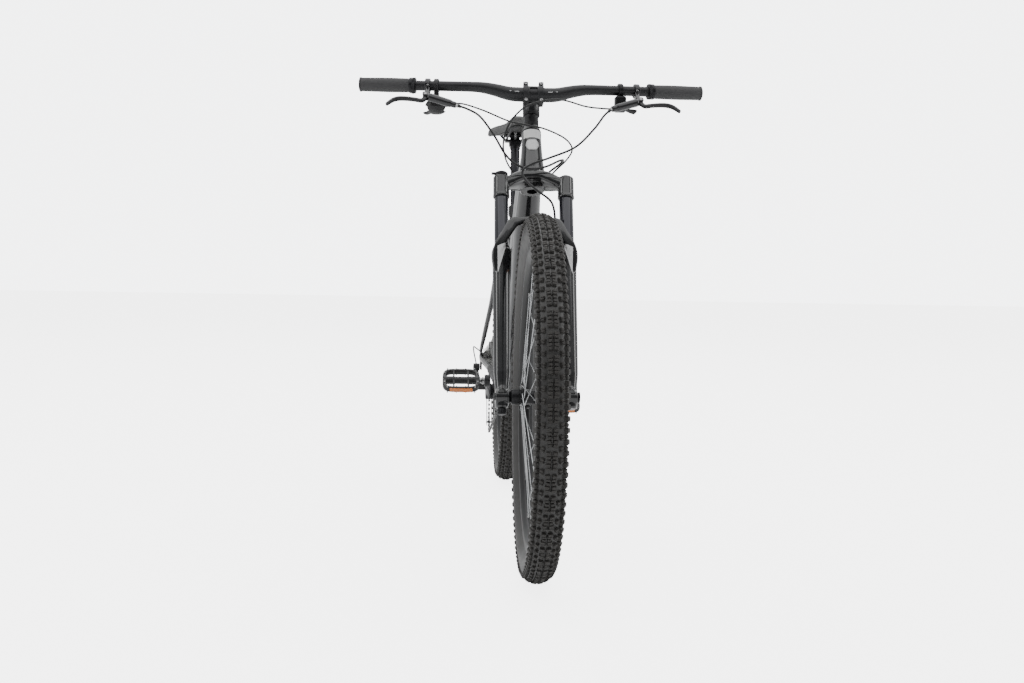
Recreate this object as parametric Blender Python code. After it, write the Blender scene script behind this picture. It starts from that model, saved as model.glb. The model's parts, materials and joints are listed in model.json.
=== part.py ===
"""A hardtail mountain bike with 29 inch wheels, one object for each piece that comes apart on a bench.

Metres, +Z up. The bike points along -Y, its left side is +X and its chain runs on the -X side. The origin is
on the ground, midway between the wheel axles. Every moving piece hangs from an empty on its joint's axis.
"""

import math

import bmesh
import bpy
from mathutils import Matrix, Vector

# Driving dimensions
GAP = 0.0003
WHEELBASE = 1.150
TYRE_RADIUS = 0.3725
HEAD_ANGLE = math.radians(68.0)
SEAT_ANGLE = math.radians(74.0)
FORK_OFFSET = 0.044
LEG_FORWARD = 0.040
LEG_SPACING = 0.140
CROWN_SEAT = 0.5065
STANCHION_RADIUS = 0.0150
HEAD_LOW = 0.5176
HEAD_HIGH = 0.6270
STEM_HEIGHT = 0.6896
STEM_REACH = 0.061
BAR_HALF = 0.385
BAR_RADIUS = 0.0159
GRIP_START = 0.260
BRAKE_CLAMP = 0.233
SHIFTER_CLAMP = 0.2137
REMOTE_CLAMP = 0.196
CHAINSTAY = 0.436
BB_HEIGHT = 0.310
SEAT_TUBE = 0.441
CRANK = 0.170
CRANK_RISE = math.radians(15.0)
PEDAL_TILT = math.radians(-24.0)
LEVER_TILT = math.radians(40.0)
CHAINLINE = 0.052
CHAIN_PITCH = 0.0127
RING_TEETH = 32
COG_TEETH = 21
GUIDE_TEETH = 12
TENSION_TEETH = 14
FRONT_HUB_HALF = 0.0547
REAR_HUB_HALF = 0.0740
ROTOR_RADIUS = 0.090
FRONT_ROTOR_X = 0.0375
REAR_ROTOR_X = 0.0505
ROTOR_THICKNESS = 0.0018
SPOKES_A_SIDE = 16
HOSE_SPACING = 0.030
TOOTH_DEPTH = 0.0052
RAIL_Y = 0.345
RAIL_Z = 1.0035

X = Vector((1, 0, 0))
Y = Vector((0, 1, 0))
Z = Vector((0, 0, 1))
FRONT_AXLE = Vector((0, -WHEELBASE / 2, TYRE_RADIUS))
REAR_AXLE = Vector((0, WHEELBASE / 2, TYRE_RADIUS))
STEER_UP = Vector((0, math.cos(HEAD_ANGLE), math.sin(HEAD_ANGLE)))
STEER_BACK = Vector((0, math.sin(HEAD_ANGLE), -math.cos(HEAD_ANGLE)))
STEER_FOOT = FRONT_AXLE + STEER_BACK * FORK_OFFSET
BOTTOM_BRACKET = Vector((0, WHEELBASE / 2 - CHAINSTAY, BB_HEIGHT))
SEAT_UP = Vector((0, math.cos(SEAT_ANGLE), math.sin(SEAT_ANGLE)))
BAR_CENTRE = STEER_FOOT + STEER_UP * STEM_HEIGHT - STEER_BACK * STEM_REACH
LEVER_OUT = Vector((0, -math.cos(LEVER_TILT), -math.sin(LEVER_TILT)))
LEVER_AXIS = X.cross(LEVER_OUT)
GUIDE_PULLEY = REAR_AXLE + Vector((0, 0.010, -0.097))
TENSION_PULLEY = REAR_AXLE + Vector((0, -0.040, -0.195))
CAGE_PIVOT = REAR_AXLE + Vector((0, 0.004, -0.089))

CONTROL_BASE = BAR_CENTRE + Vector((0, 0.020, 0.0168))
LEVER_PIVOTS = {side: CONTROL_BASE + X * side * 0.2375 + LEVER_OUT * 0.0450 for side in (-1, 1)}
SHIFTER_PIVOT = BAR_CENTRE + Vector((-SHIFTER_CLAMP, 0.0174, -0.0320))
REMOTE_PIVOT = BAR_CENTRE + Vector((REMOTE_CLAMP, 0.0165, -0.0215))

# The cassette's sprockets: teeth, and the plane of the outer face
COGS = ((12, -0.0703), (16, -0.0633), (21, -0.0563), (28, -0.0493), (39, -0.0423), (51, -0.0353))

# The saddle's cross sections: how far back, half width, and the heights of its top, its edge and its underside
SADDLE_STATIONS = (
    (0.1980, 0.0130, 1.0420, 1.0340, 1.0340),
    (0.2060, 0.0190, 1.0470, 1.0270, 1.0300),
    (0.2400, 0.0225, 1.0490, 1.0215, 1.0290),
    (0.2900, 0.0290, 1.0480, 1.0190, 1.0280),
    (0.3400, 0.0400, 1.0470, 1.0170, 1.0270),
    (0.3850, 0.0570, 1.0480, 1.0165, 1.0280),
    (0.4250, 0.0705, 1.0500, 1.0180, 1.0290),
    (0.4520, 0.0725, 1.0510, 1.0220, 1.0310),
    (0.4700, 0.0620, 1.0490, 1.0280, 1.0340),
    (0.4760, 0.0450, 1.0450, 1.0340, 1.0370),
)

# Half of the handlebar from its middle to its end: to the side, back, up, and its radius there
BAR_STATIONS = (
    (0, 0, 0, BAR_RADIUS),
    (0.036, 0, 0, BAR_RADIUS),
    (0.056, 0.001, 0.002, 0.0152),
    (0.082, 0.004, 0.0085, 0.0138),
    (0.108, 0.007, 0.0135, 0.0125),
    (0.135, 0.010, 0.0155, 0.0114),
    (0.200, 0.019, 0.0168, 0.0111),
    (BAR_HALF - 0.0040, 0.0444, 0.0199, 0.0111),
)


# Shapes


def fork_at(x, back, up):
    """A place to the left of the steering axis, behind it, and up along it from its foot."""
    return STEER_FOOT + X * x + STEER_BACK * back + STEER_UP * up


def seat_at(x, up):
    """A place to the left of the seat tube's axis and up along it from the bottom bracket."""
    return BOTTOM_BRACKET + X * x + SEAT_UP * up


def lever_at(x, out):
    """A place in the brake levers' plane, to the left of the bike's middle and out from the bar's line."""
    return CONTROL_BASE + X * x + LEVER_OUT * out


def bar_line(x):
    """A place on the handlebar's outer straight and the bar's direction there, away from the middle."""
    inner, outer = (Vector(station[:3]) for station in BAR_STATIONS[5:7])
    if abs(x) > outer.x:
        inner, outer = outer, Vector(BAR_STATIONS[7][:3])
    along = (outer - inner).normalized()
    place = inner + along * (abs(x) - inner.x) / along.x
    side = math.copysign(1, x)
    return BAR_CENTRE + Vector((place.x * side, place.y, place.z)), Vector((along.x * side, along.y, along.z))


def bore(radius, count):
    """The corner radius of a polygonal hole whose flats clear a round of this radius."""
    return (radius + GAP) / math.cos(math.pi / count)


def pitch_radius(teeth):
    """Where the chain's pins run on a sprocket."""
    return CHAIN_PITCH / (2 * math.sin(math.pi / teeth))


def ellipse(centre, across, up, half_width, half_height, count):
    """Points round an ellipse in the plane of two unit vectors."""
    angles = [2 * math.pi * i / count for i in range(count)]
    return [centre + across * half_width * math.cos(a) + up * half_height * math.sin(a) for a in angles]


def loft(rings, closed=False):
    """A solid skin through rings of equal point counts. A closed one joins its last ring to its first."""
    shape = bmesh.new()
    loops = [[shape.verts.new(point) for point in ring] for ring in rings]
    pairs = list(zip(loops, loops[1:]))
    if closed:
        pairs.append((loops[-1], loops[0]))
    else:
        shape.faces.new(loops[0])
        shape.faces.new(loops[-1])
    for first, second in pairs:
        for i in range(len(first)):
            j = (i + 1) % len(first)
            shape.faces.new((first[i], first[j], second[j], second[i]))
    bmesh.ops.recalc_face_normals(shape, faces=shape.faces)
    return shape


def turned(profile, origin, axis, count=16, hollow=False):
    """A solid of revolution from (radius, distance along the axis) pairs. A hollow outline closes on itself."""
    across = (Y - axis * axis.y if abs(axis.x) > 0.9 else axis.cross(X)).normalized()
    up = axis.cross(across)
    rings = [ellipse(origin + axis * along, across, up, radius, radius, count) for radius, along in profile]
    return loft(rings, closed=hollow)


def rod(start, end, radius, count=12):
    """A plain round bar between two places."""
    axis = end - start
    return turned([(radius, 0), (radius, axis.length)], start, axis.normalized(), count)


def sleeve(start, end, outer, inner, count=16):
    """A plain tube between two places."""
    length = (end - start).length
    outline = [(outer, 0), (outer, length), (inner, length), (inner, 0)]
    return turned(outline, start, (end - start).normalized(), count, hollow=True)


def sweep(route, sizes, side=X, count=10, closed=False, square=False):
    """A skin round a route. sizes holds a (half width, half height) pair for each place, widths along side."""
    rings = []
    last = len(route) - 1
    for i, place in enumerate(route):
        before = route[i - 1] if i or closed else place
        after = route[(i + 1) % len(route)] if i < last or closed else place
        along = (after - before).normalized()
        across = (side - along * side.dot(along)).normalized()
        up = along.cross(across)
        width, height = sizes[i]
        if square:
            corners = ((1, 1), (-1, 1), (-1, -1), (1, -1))
            rings.append([place + across * width * a + up * height * b for a, b in corners])
        else:
            rings.append(ellipse(place, across, up, width, height, count))
    return loft(rings, closed)


def block(centre, size, across=X, along=Y, bevel=0.0):
    """A box with its width along across and its depth along the second unit vector."""
    shape = bmesh.new()
    bmesh.ops.create_cube(shape, size=1.0)
    turn = Matrix((across, along, across.cross(along))).transposed().to_4x4()
    bmesh.ops.transform(shape, matrix=Matrix.Diagonal((*size, 1.0)), verts=shape.verts)
    if bevel:
        bmesh.ops.bevel(shape, geom=shape.edges, offset=bevel, segments=1, affect="EDGES")
    bmesh.ops.transform(shape, matrix=Matrix.Translation(centre) @ turn, verts=shape.verts)
    return shape


def plate(outline, x_low, x_high):
    """A flat plate across X from an outline of (y, z) places."""
    return loft([[Vector((x, y, z)) for y, z in outline] for x in (x_low, x_high)])


def smooth(route, steps):
    """More places along a smooth curve through the given ones."""
    ends = [route[0] * 2 - route[1], *route, route[-1] * 2 - route[-2]]
    places = []
    for i in range(len(route) - 1):
        a, b, c, d = ends[i : i + 4]
        for step in range(steps):
            t = step / steps
            places.append(
                (b * 2 + (c - a) * t + (a * 2 - b * 5 + c * 4 - d) * t**2 + (b * 3 - a - c * 3 + d) * t**3) / 2
            )
    return [*places, route[-1]]


def arc(centre, radius, start, end, count):
    """(y, z) places round part of a circle, angles in degrees from +Y towards +Z."""
    turns = [math.radians(start + (end - start) * i / count) for i in range(count + 1)]
    return [(centre.y + radius * math.cos(turn), centre.z + radius * math.sin(turn)) for turn in turns]


# Objects


def finish(name, colour, roughness, metallic=0.0):
    """A plain material."""
    made = bpy.data.materials.new(name)
    made.use_nodes = True
    shader = made.node_tree.nodes["Principled BSDF"]
    shader.inputs["Base Color"].default_value = (*colour, 1.0)
    shader.inputs["Roughness"].default_value = roughness
    shader.inputs["Metallic"].default_value = metallic
    return made


def joint(name, place, parent=None):
    """An empty on a joint's axis."""
    empty = bpy.data.objects.new(f"axis_{name}", None)
    empty.empty_display_size = 0.03
    empty.matrix_world = Matrix.Translation(place)
    bpy.context.scene.collection.objects.link(empty)
    if parent:
        empty.parent = parent
        empty.matrix_parent_inverse = Matrix.Translation(-parent.matrix_world.translation)
    bpy.context.view_layer.update()
    return empty


def mesh_object(name, shape, collection):
    """A linked object that holds a shape."""
    mesh = bpy.data.meshes.new(name)
    shape.to_mesh(mesh)
    shape.free()
    made = bpy.data.objects.new(name, mesh)
    collection.objects.link(made)
    return made


def combined(shapes, cuts):
    """One mesh from shapes that overlap, less the cuts."""
    scene = bpy.context.scene
    base = mesh_object("base", shapes[0], scene.collection)
    groups = []
    for operation, members in (("UNION", shapes[1:]), ("DIFFERENCE", cuts)):
        if not members:
            continue
        group = bpy.data.collections.new(operation)
        scene.collection.children.link(group)
        groups.append(group)
        for member in members:
            mesh_object("helper", member, group)
        modifier = base.modifiers.new(operation, "BOOLEAN")
        modifier.operation = operation
        modifier.operand_type = "COLLECTION"
        modifier.collection = group
        modifier.solver = "EXACT"
    graph = bpy.context.evaluated_depsgraph_get()
    mesh = bpy.data.meshes.new_from_object(base.evaluated_get(graph))
    for group in groups:
        for member in list(group.objects):
            bpy.data.objects.remove(member)
        bpy.data.collections.remove(group)
    bpy.data.objects.remove(base)
    return mesh


def piece(name, material, parent, shapes, cuts=()):
    """The named object made of the shapes, less the cuts, hanging from its joint's empty."""
    if len(shapes) == 1 and not cuts:
        mesh = bpy.data.meshes.new(name)
        shapes[0].to_mesh(mesh)
        shapes[0].free()
    else:
        mesh = combined(shapes, cuts)
        mesh.name = name
    mesh.materials.clear()
    mesh.materials.append(material)
    mesh.shade_smooth()
    mesh.set_sharp_from_angle(angle=math.radians(35))
    made = bpy.data.objects.new(name, mesh)
    bpy.context.scene.collection.objects.link(made)
    if parent:
        made.parent = parent
        made.matrix_parent_inverse = parent.matrix_world.inverted()
    return made


def hose(name, material, parent, route, radius):
    """A cable or hose along a smooth curve through its route."""
    fine = smooth([Vector(place) for place in route], 8)
    reach = [0.0]
    for before, after in zip(fine, fine[1:]):
        reach.append(reach[-1] + (after - before).length)
    count = math.ceil(reach[-1] / HOSE_SPACING)
    places = []
    for i in range(count + 1):
        nearest = min(range(len(fine)), key=lambda j: abs(reach[j] - reach[-1] * i / count))
        places.append(fine[nearest])
    curve = bpy.data.curves.new(name, "CURVE")
    curve.dimensions = "3D"
    curve.bevel_depth = radius
    curve.bevel_resolution = 2
    curve.use_fill_caps = True
    curve.resolution_u = 1
    spline = curve.splines.new("POLY")
    spline.points.add(len(places) - 1)
    for point, place in zip(spline.points, places):
        point.co = (*place, 1.0)
    curve.materials.append(material)
    made = bpy.data.objects.new(name, curve)
    bpy.context.scene.collection.objects.link(made)
    if parent:
        made.parent = parent
        made.matrix_parent_inverse = parent.matrix_world.inverted()
    return made


# The frame and what is fixed to it


def make_frame(paint, metal):
    """The frame, its bearings, the seat collar, the rear axle and the dropper post's outer tube."""
    head = turned(
        [(0.0285, 0), (0.0283, 0.014), (0.0240, 0.060), (0.0219, 0.085), (0.0221, HEAD_HIGH - HEAD_LOW)],
        fork_at(0, 0, HEAD_LOW), STEER_UP, 16,
    )
    down = sweep(
        smooth([fork_at(0, 0.002, 0.556), Vector((0, -0.200, 0.733)), Vector((0, -0.020, 0.513)),
                BOTTOM_BRACKET + Vector((0, -0.006, 0.006))], 2),
        [(0.0215, 0.024), (0.0260, 0.0255), (0.0290, 0.0260), (0.0295, 0.0265), (0.0295, 0.026),
         (0.0300, 0.024), (0.0310, 0.019)],
        count=12,
    )
    top = sweep(
        [fork_at(0, 0, 0.596), Vector((0, -0.100, 0.8395)), Vector((0, 0.100, 0.7570)), seat_at(0, 0.398)],
        [(0.0190, 0.0180), (0.0200, 0.0170), (0.0180, 0.0155), (0.0155, 0.0145)],
        count=12,
    )
    seat = turned([(0.0200, 0), (0.0200, 0.060), (0.0183, 0.120), (0.0180, SEAT_TUBE)], BOTTOM_BRACKET,
                  SEAT_UP, 16)
    shell = rod(BOTTOM_BRACKET - X * 0.0365, BOTTOM_BRACKET + X * 0.0365, 0.0240, 16)
    shapes = [head, down, top, seat, shell]
    chainstay = [(0.022, 0.151, 0.310), (0.0395, 0.205, 0.315), (0.0450, 0.300, 0.328), (0.0580, 0.430, 0.350),
                 (0.0775, 0.540, 0.3660), (0.0790, 0.570, 0.3700)]
    seatstay = [(0.012, 0.244, 0.684), (0.0300, 0.268, 0.662), (0.0460, 0.305, 0.628), (0.0560, 0.400, 0.540),
                (0.0700, 0.490, 0.452), (0.0785, 0.545, 0.400), (0.0790, 0.568, 0.379)]
    for side in (-1, 1):
        shapes.append(sweep(
            [Vector((side * x, y, z)) for x, y, z in chainstay],
            [(0.0100, 0.0160), (0.0060, 0.0165), (0.0075, 0.0140), (0.0080, 0.0110), (0.0055, 0.0100),
             (0.0042, 0.0090)],
            count=8,
        ))
        shapes.append(sweep(
            [Vector((side * x, y, z)) for x, y, z in seatstay],
            [(0.0090, 0.0100), (0.0085, 0.0090), (0.0080, 0.0085), (0.0075, 0.0080), (0.0072, 0.0078),
             (0.0055, 0.0075), (0.0042, 0.0070)],
            count=8,
        ))
        shapes.append(rod(REAR_AXLE + X * side * 0.0743, REAR_AXLE + X * side * 0.0823, 0.0185, 14))
    shapes.append(block(REAR_AXLE + Vector((-0.0783, 0.008, -0.022)), (0.0070, 0.018, 0.040), bevel=0.002))
    cuts = [
        turned([(0.0225, -0.02), (0.0222, 0.020), (0.0168, 0.060), (0.0166, 0.14)],
               fork_at(0, 0, HEAD_LOW), STEER_UP, 14),
        rod(seat_at(0, 0.100), seat_at(0, SEAT_TUBE + 0.01), bore(0.0156, 16), 16),
        rod(BOTTOM_BRACKET - X * 0.05, BOTTOM_BRACKET + X * 0.05, bore(0.0188, 16), 16),
        rod(REAR_AXLE - X * 0.1, REAR_AXLE + X * 0.1, bore(0.0060, 12), 12),
    ]
    piece("frame", paint, None, shapes, cuts)

    cup_ends = (fork_at(0, 0, CROWN_SEAT + 0.0004), fork_at(0, 0, HEAD_LOW - 0.0014))
    piece("headset_lower_cup", metal, None, [sleeve(*cup_ends, 0.0275, bore(0.0197, 16), 16)])
    cover = [(0.0218, HEAD_HIGH + GAP), (0.0215, HEAD_HIGH + 0.004), (0.0170, HEAD_HIGH + 0.015),
             (bore(0.0143, 16), HEAD_HIGH + 0.015), (bore(0.0143, 16), HEAD_HIGH + GAP)]
    piece("headset_upper_cover", metal, None, [turned(cover, STEER_FOOT, STEER_UP, 16, hollow=True)])
    inner = bore(0.0145, 16)
    cups = [(0.0188, -0.0362), (0.0188, 0.0362), (0.0188, 0.0368), (0.0215, 0.0368), (0.0215, 0.0450),
            (inner, 0.0450), (inner, -0.0450), (0.0215, -0.0450), (0.0215, -0.0368), (0.0188, -0.0368)]
    piece("bottom_bracket", metal, None, [turned(cups, BOTTOM_BRACKET, X, 16, hollow=True)])
    piece("seat_collar", metal, None,
          [sleeve(seat_at(0, 0.424), seat_at(0, 0.4395), 0.0222, bore(0.0181, 20), 20)])
    axle = [(0.0060, -0.0840), (0.0060, 0.0836), (0.0095, 0.0836), (0.0095, 0.0875)]
    piece("rear_axle", metal, None, [turned(axle, REAR_AXLE, X, 12)])
    outer = [(0.0156, 0.140), (0.0156, 0.490), (0.0180, 0.494), (0.0180, 0.520),
             (bore(0.0125, 16), 0.520), (bore(0.0125, 16), 0.140)]
    piece("dropper_outer_tube", metal, None, [turned(outer, BOTTOM_BRACKET, SEAT_UP, 16, hollow=True)])


def make_rear_fittings(metal, plastic):
    """The rear brake caliper and the derailleur's fixed knuckles and link."""
    centre = REAR_AXLE + Vector((0, -0.0760, 0.0250))
    along = (centre - REAR_AXLE).normalized()
    caliper = block(centre + X * 0.0508, (0.0230, 0.030, 0.046), along=along, bevel=0.004)
    slot = block(centre - along * 0.004 + X * (REAR_ROTOR_X + ROTOR_THICKNESS / 2), (0.0042, 0.040, 0.060),
                 along=along)
    bridge = block(centre + along * 0.0175 + X * 0.0508, (0.0180, 0.008, 0.036), along=along, bevel=0.002)
    piece("rear_brake_caliper", metal, None, [caliper, bridge], [slot])

    hanger = REAR_AXLE + Vector((0, 0.011, -0.033))
    knuckle = rod(hanger - X * 0.1010, hanger - X * 0.0822, 0.0115, 14)
    lower = rod(CAGE_PIVOT - X * 0.0860, CAGE_PIVOT - X * 0.0606, 0.0135, 14)
    link = sweep(
        [hanger - X * 0.0930, (hanger + CAGE_PIVOT) / 2 - X * 0.0880, CAGE_PIVOT - X * 0.0760],
        [(0.0060, 0.0115), (0.0065, 0.0130), (0.0060, 0.0105)], square=True,
    )
    arm = sweep(
        [hanger + Vector((-0.0900, 0.002, 0)), hanger + Vector((-0.0900, 0.026, -0.006))],
        [(0.0035, 0.0075), (0.0030, 0.0050)], count=8,
    )
    piece("derailleur_body", plastic, None, [knuckle, link, lower, arm])


# The steering: fork, stem, bar and controls


def make_crown(paint, metal, parent):
    """The fork's crown with its steerer, the two stanchions and the lockout knob."""
    shapes = [
        turned([(0.0250, 0.4825), (0.0290, 0.487), (0.0290, 0.4990), (0.0262, 0.5035), (0.0262, CROWN_SEAT)],
               STEER_FOOT, STEER_UP, 16),
        turned([(0.0197, 0.495), (0.0197, 0.516), (0.0143, 0.546), (0.0143, 0.708)], STEER_FOOT, STEER_UP, 16),
    ]
    cuts = [rod(fork_at(0, 0, 0.470), fork_at(0, 0, 0.600), 0.0115, 16)]
    clamp = [(0.0182, 0.4470), (0.0182, 0.4515), (0.0176, 0.4535), (0.0176, 0.4935), (0.0168, 0.4960)]
    for side in (-1, 1):
        foot = fork_at(side * LEG_SPACING / 2, -LEG_FORWARD, 0)
        shapes.append(turned(clamp, foot, STEER_UP, 14))
        shapes.append(sweep(
            [fork_at(0, -0.0375, 0.5030), fork_at(side * 0.020, -0.0380, 0.5020),
             fork_at(side * 0.034, -0.0395, 0.4960), fork_at(side * 0.048, -0.040, 0.4880),
             fork_at(side * 0.060, -0.040, 0.4815)],
            [(0.0100, 0.0110), (0.0105, 0.0118), (0.0115, 0.0125), (0.0125, 0.0125), (0.0120, 0.0130)],
            side=STEER_BACK,
        ))
        shapes.append(sweep(
            [fork_at(0, -0.010, 0.4925), fork_at(side * 0.026, -0.018, 0.4905),
             fork_at(side * 0.048, -0.034, 0.4820), fork_at(side * 0.060, -0.039, 0.4760)],
            [(0.0260, 0.0090), (0.0220, 0.0085), (0.0150, 0.0090), (0.0120, 0.0100)], side=STEER_BACK,
        ))
        cuts.append(rod(foot + STEER_UP * 0.440, foot + STEER_UP * 0.510, bore(STANCHION_RADIUS, 14), 14))
    piece("fork_crown", paint, parent, shapes, cuts)
    for side, name in ((-1, "stanchion_right"), (1, "stanchion_left")):
        profile = [(0.0130, 0.4860), (0.0130, 0.200), (STANCHION_RADIUS, 0.200), (STANCHION_RADIUS, 0.4945)]
        foot = fork_at(side * LEG_SPACING / 2, -LEG_FORWARD, 0)
        piece(name, metal, parent, [turned(profile, foot, STEER_UP, 14)])


def make_lockout(metal, parent):
    """The lockout knob on the right leg, with its small lever."""
    foot = fork_at(-LEG_SPACING / 2, -LEG_FORWARD, 0)
    knob = turned([(0.0125, 0.4965), (0.0145, 0.4990), (0.0145, 0.5040), (0.0115, 0.5070)], foot, STEER_UP, 14)
    lever = block(foot + STEER_UP * 0.5045 - X * 0.0140, (0.0150, 0.0090, 0.0055), along=STEER_BACK)
    piece("lockout_knob", metal, parent, [knob, lever])


def make_cockpit(satin, metal, rubber, parent):
    """Stem, faceplate, spacers, cap, handlebar and grips."""
    steerer = bore(0.0143, 16)
    piece("steerer_spacers", satin, parent,
          [sleeve(fork_at(0, 0, HEAD_HIGH + 0.0155), fork_at(0, 0, 0.6695), 0.0163, steerer)])
    clamp = rod(fork_at(0, 0, 0.6700), fork_at(0, 0, 0.7100), 0.0192, 18)
    body = sweep(
        [fork_at(0, -0.006, STEM_HEIGHT), fork_at(0, -0.030, STEM_HEIGHT), fork_at(0, -0.052, STEM_HEIGHT)],
        [(0.0165, 0.0175), (0.0155, 0.0165), (0.0195, 0.0185)], count=14,
    )
    cradle = rod(BAR_CENTRE - X * 0.0220, BAR_CENTRE + X * 0.0220, 0.0205, 16)
    ears = [block(BAR_CENTRE + STEER_BACK * 0.006 + STEER_UP * 0.0205 * s, (0.0400, 0.010, 0.0090),
                  along=STEER_BACK, bevel=0.002) for s in (-1, 1)]
    front = block(BAR_CENTRE - STEER_BACK * 0.0285, (0.080, 0.060, 0.080), along=STEER_BACK)
    bar_bore = [rod(BAR_CENTRE - X * 0.03, BAR_CENTRE + X * 0.03, bore(BAR_RADIUS, 14), 14) for _ in range(2)]
    piece("stem", satin, parent, [clamp, body, cradle, *ears],
          [rod(fork_at(0, 0, 0.65), fork_at(0, 0, 0.73), steerer), bar_bore[0], front])
    bands = []
    for side in (-1, 1):
        middle = BAR_CENTRE + X * side * 0.0165
        bands.append(rod(middle - X * 0.0055, middle + X * 0.0055, 0.0212, 16))
        for end in (-1, 1):
            bands.append(block(middle - STEER_BACK * 0.0070 + STEER_UP * 0.0205 * end, (0.0110, 0.012, 0.0090),
                               along=STEER_BACK, bevel=0.002))
    bands.append(rod(BAR_CENTRE - X * 0.0150, BAR_CENTRE + X * 0.0150, 0.0190, 14))
    rear = block(BAR_CENTRE + STEER_BACK * 0.0290, (0.080, 0.060, 0.080), along=STEER_BACK)
    piece("stem_faceplate", satin, parent, bands, [rear, bar_bore[1]])
    cap = [(0.0178, 0.7103), (0.0178, 0.7135), (0.0160, 0.7155)]
    piece("stem_top_cap", satin, parent, [turned(cap, STEER_FOOT, STEER_UP, 16)])

    stations = [(-x, y, z, r) for x, y, z, r in reversed(BAR_STATIONS[1:])] + list(BAR_STATIONS)
    route = [BAR_CENTRE + Vector((x, y, z)) for x, y, z, _ in stations]
    piece("handlebar", satin, parent, [sweep(route, [(r, r) for *_, r in stations], side=Y, count=14)])
    for side, name in ((-1, "grip_right"), (1, "grip_left")):
        end, axis = bar_line(side * (BAR_HALF - 0.0030))
        inward = (GRIP_START - BAR_HALF) / abs(axis.x)
        hole = bore(0.0112, 14)
        profile = [(0.0150, 0.0030), (0.0160, 0.0), (0.0158, inward + 0.018), (0.0176, inward + 0.014),
                   (0.0176, inward), (hole, inward), (hole, -0.0004)]
        piece(name, rubber, parent, [turned(profile, end, axis, 14)])


def make_brake_controls(metal, joints):
    """The two brake master cylinders on their bar clamps, and their levers."""
    blade = [(0.2375, 0.0520), (0.2450, 0.0620), (0.2600, 0.0590), (0.2780, 0.0560), (0.2950, 0.0565),
             (0.3080, 0.0640), (0.3200, 0.0805)]
    widths = [(0.0042, 0.0052), (0.0042, 0.0055), (0.0045, 0.0048), (0.0050, 0.0044), (0.0052, 0.0044),
              (0.0050, 0.0040), (0.0040, 0.0034)]
    for side, name in ((-1, "right"), (1, "left")):
        ring, axis = bar_line(side * BRAKE_CLAMP)
        clamp = rod(ring - axis * 0.0055, ring + axis * 0.0055, 0.0162, 14)
        strut = block(ring + LEVER_OUT * 0.0240, (0.0100, 0.032, 0.0120), along=LEVER_OUT)
        outer = lever_at(side * 0.2330, 0.0450)
        along = lever_at(side * 0.1700, 0.0780) - outer
        profile = [(0.0070, 0), (0.0092, 0.006), (0.0086, 0.055), (0.0065, along.length)]
        cylinder = turned(profile, outer, along.normalized(), 12)
        fork_end = block(lever_at(side * 0.2365, 0.0430), (0.0160, 0.018, 0.0160), along=LEVER_OUT, bevel=0.003)
        slot = block(lever_at(side * 0.2450, 0.0510), (0.0260, 0.036, 0.0116), along=LEVER_OUT)
        hole = rod(ring - axis * 0.02, ring + axis * 0.02, bore(0.0113, 14), 14)
        piece(f"brake_master_{name}", metal, joints["steering"], [clamp, strut, cylinder, fork_end],
              [slot, hole])
        route = [lever_at(side * x, out) for x, out in blade]
        piece(f"brake_lever_{name}", metal, joints[f"brake_lever_{name}"],
              [sweep(route, widths, side=LEVER_AXIS, count=8)])


def make_shift_controls(plastic, metal, joints):
    """The gear shifter and its two paddles on the right, the dropper post's remote on the left."""
    ring, axis = bar_line(-SHIFTER_CLAMP)
    clamp = rod(ring - axis * 0.0050, ring + axis * 0.0050, 0.0158, 14)
    strut = block(ring - Z * 0.0230, (0.0120, 0.016, 0.0200))
    bowl = [(0.0100, -0.0135), (0.0165, -0.0110), (0.0220, -0.0065), (0.0243, 0.0010), (0.0243, 0.0080),
            (0.0200, 0.0150), (0.0120, 0.0190)]
    pod = turned(bowl, SHIFTER_PIVOT, Z, 16)
    slot = block(SHIFTER_PIVOT + Vector((0, 0.0125, -0.0010)), (0.060, 0.050, 0.0124))
    piece("shifter_body", plastic, joints["steering"], [clamp, strut, pod],
          [rod(ring - axis * 0.02, ring + axis * 0.02, bore(0.0113, 14), 14), slot])
    push = SHIFTER_PIVOT - Z * 0.0040
    piece("shifter_push_paddle", plastic, joints["push_paddle"], [
        rod(push - Z * 0.0025, push + Z * 0.0025, 0.0105, 12),
        sweep([push, push + Vector((-0.010, 0.026, -0.0005)), push + Vector((-0.024, 0.042, -0.0025))],
              [(0.0060, 0.0020), (0.0065, 0.0022), (0.0080, 0.0030)], count=8)])
    release = SHIFTER_PIVOT + Z * 0.0020
    piece("shifter_release_paddle", plastic, joints["release_paddle"], [
        rod(release - Z * 0.0025, release + Z * 0.0025, 0.0100, 12),
        sweep([release, release + Vector((-0.004, 0.022, 0.0002)), release + Vector((-0.012, 0.036, 0.0012))],
              [(0.0055, 0.0020), (0.0055, 0.0020), (0.0070, 0.0024)], count=8)])

    ring, axis = bar_line(REMOTE_CLAMP)
    clamp = rod(ring - axis * 0.0050, ring + axis * 0.0050, 0.0160, 14)
    housing = block(ring + Vector((0, -0.006, -0.0310)), (0.0250, 0.024, 0.0350), bevel=0.005)
    slot = block(REMOTE_PIVOT + Y * 0.0125, (0.060, 0.050, 0.0068))
    piece("dropper_remote_body", metal, joints["steering"], [clamp, housing],
          [rod(ring - axis * 0.03, ring + axis * 0.03, bore(0.0113, 14), 14), slot])
    hub = REMOTE_PIVOT
    piece("dropper_remote_lever", metal, joints["remote_lever"], [
        rod(hub - Z * 0.0030, hub + Z * 0.0030, 0.0085, 12),
        sweep([hub, hub + Vector((0.016, 0.022, -0.0004)), hub + Vector((0.040, 0.032, -0.0040))],
              [(0.0055, 0.0022), (0.0055, 0.0024), (0.0085, 0.0035)], count=8)])


# The fork's lower legs


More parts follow.
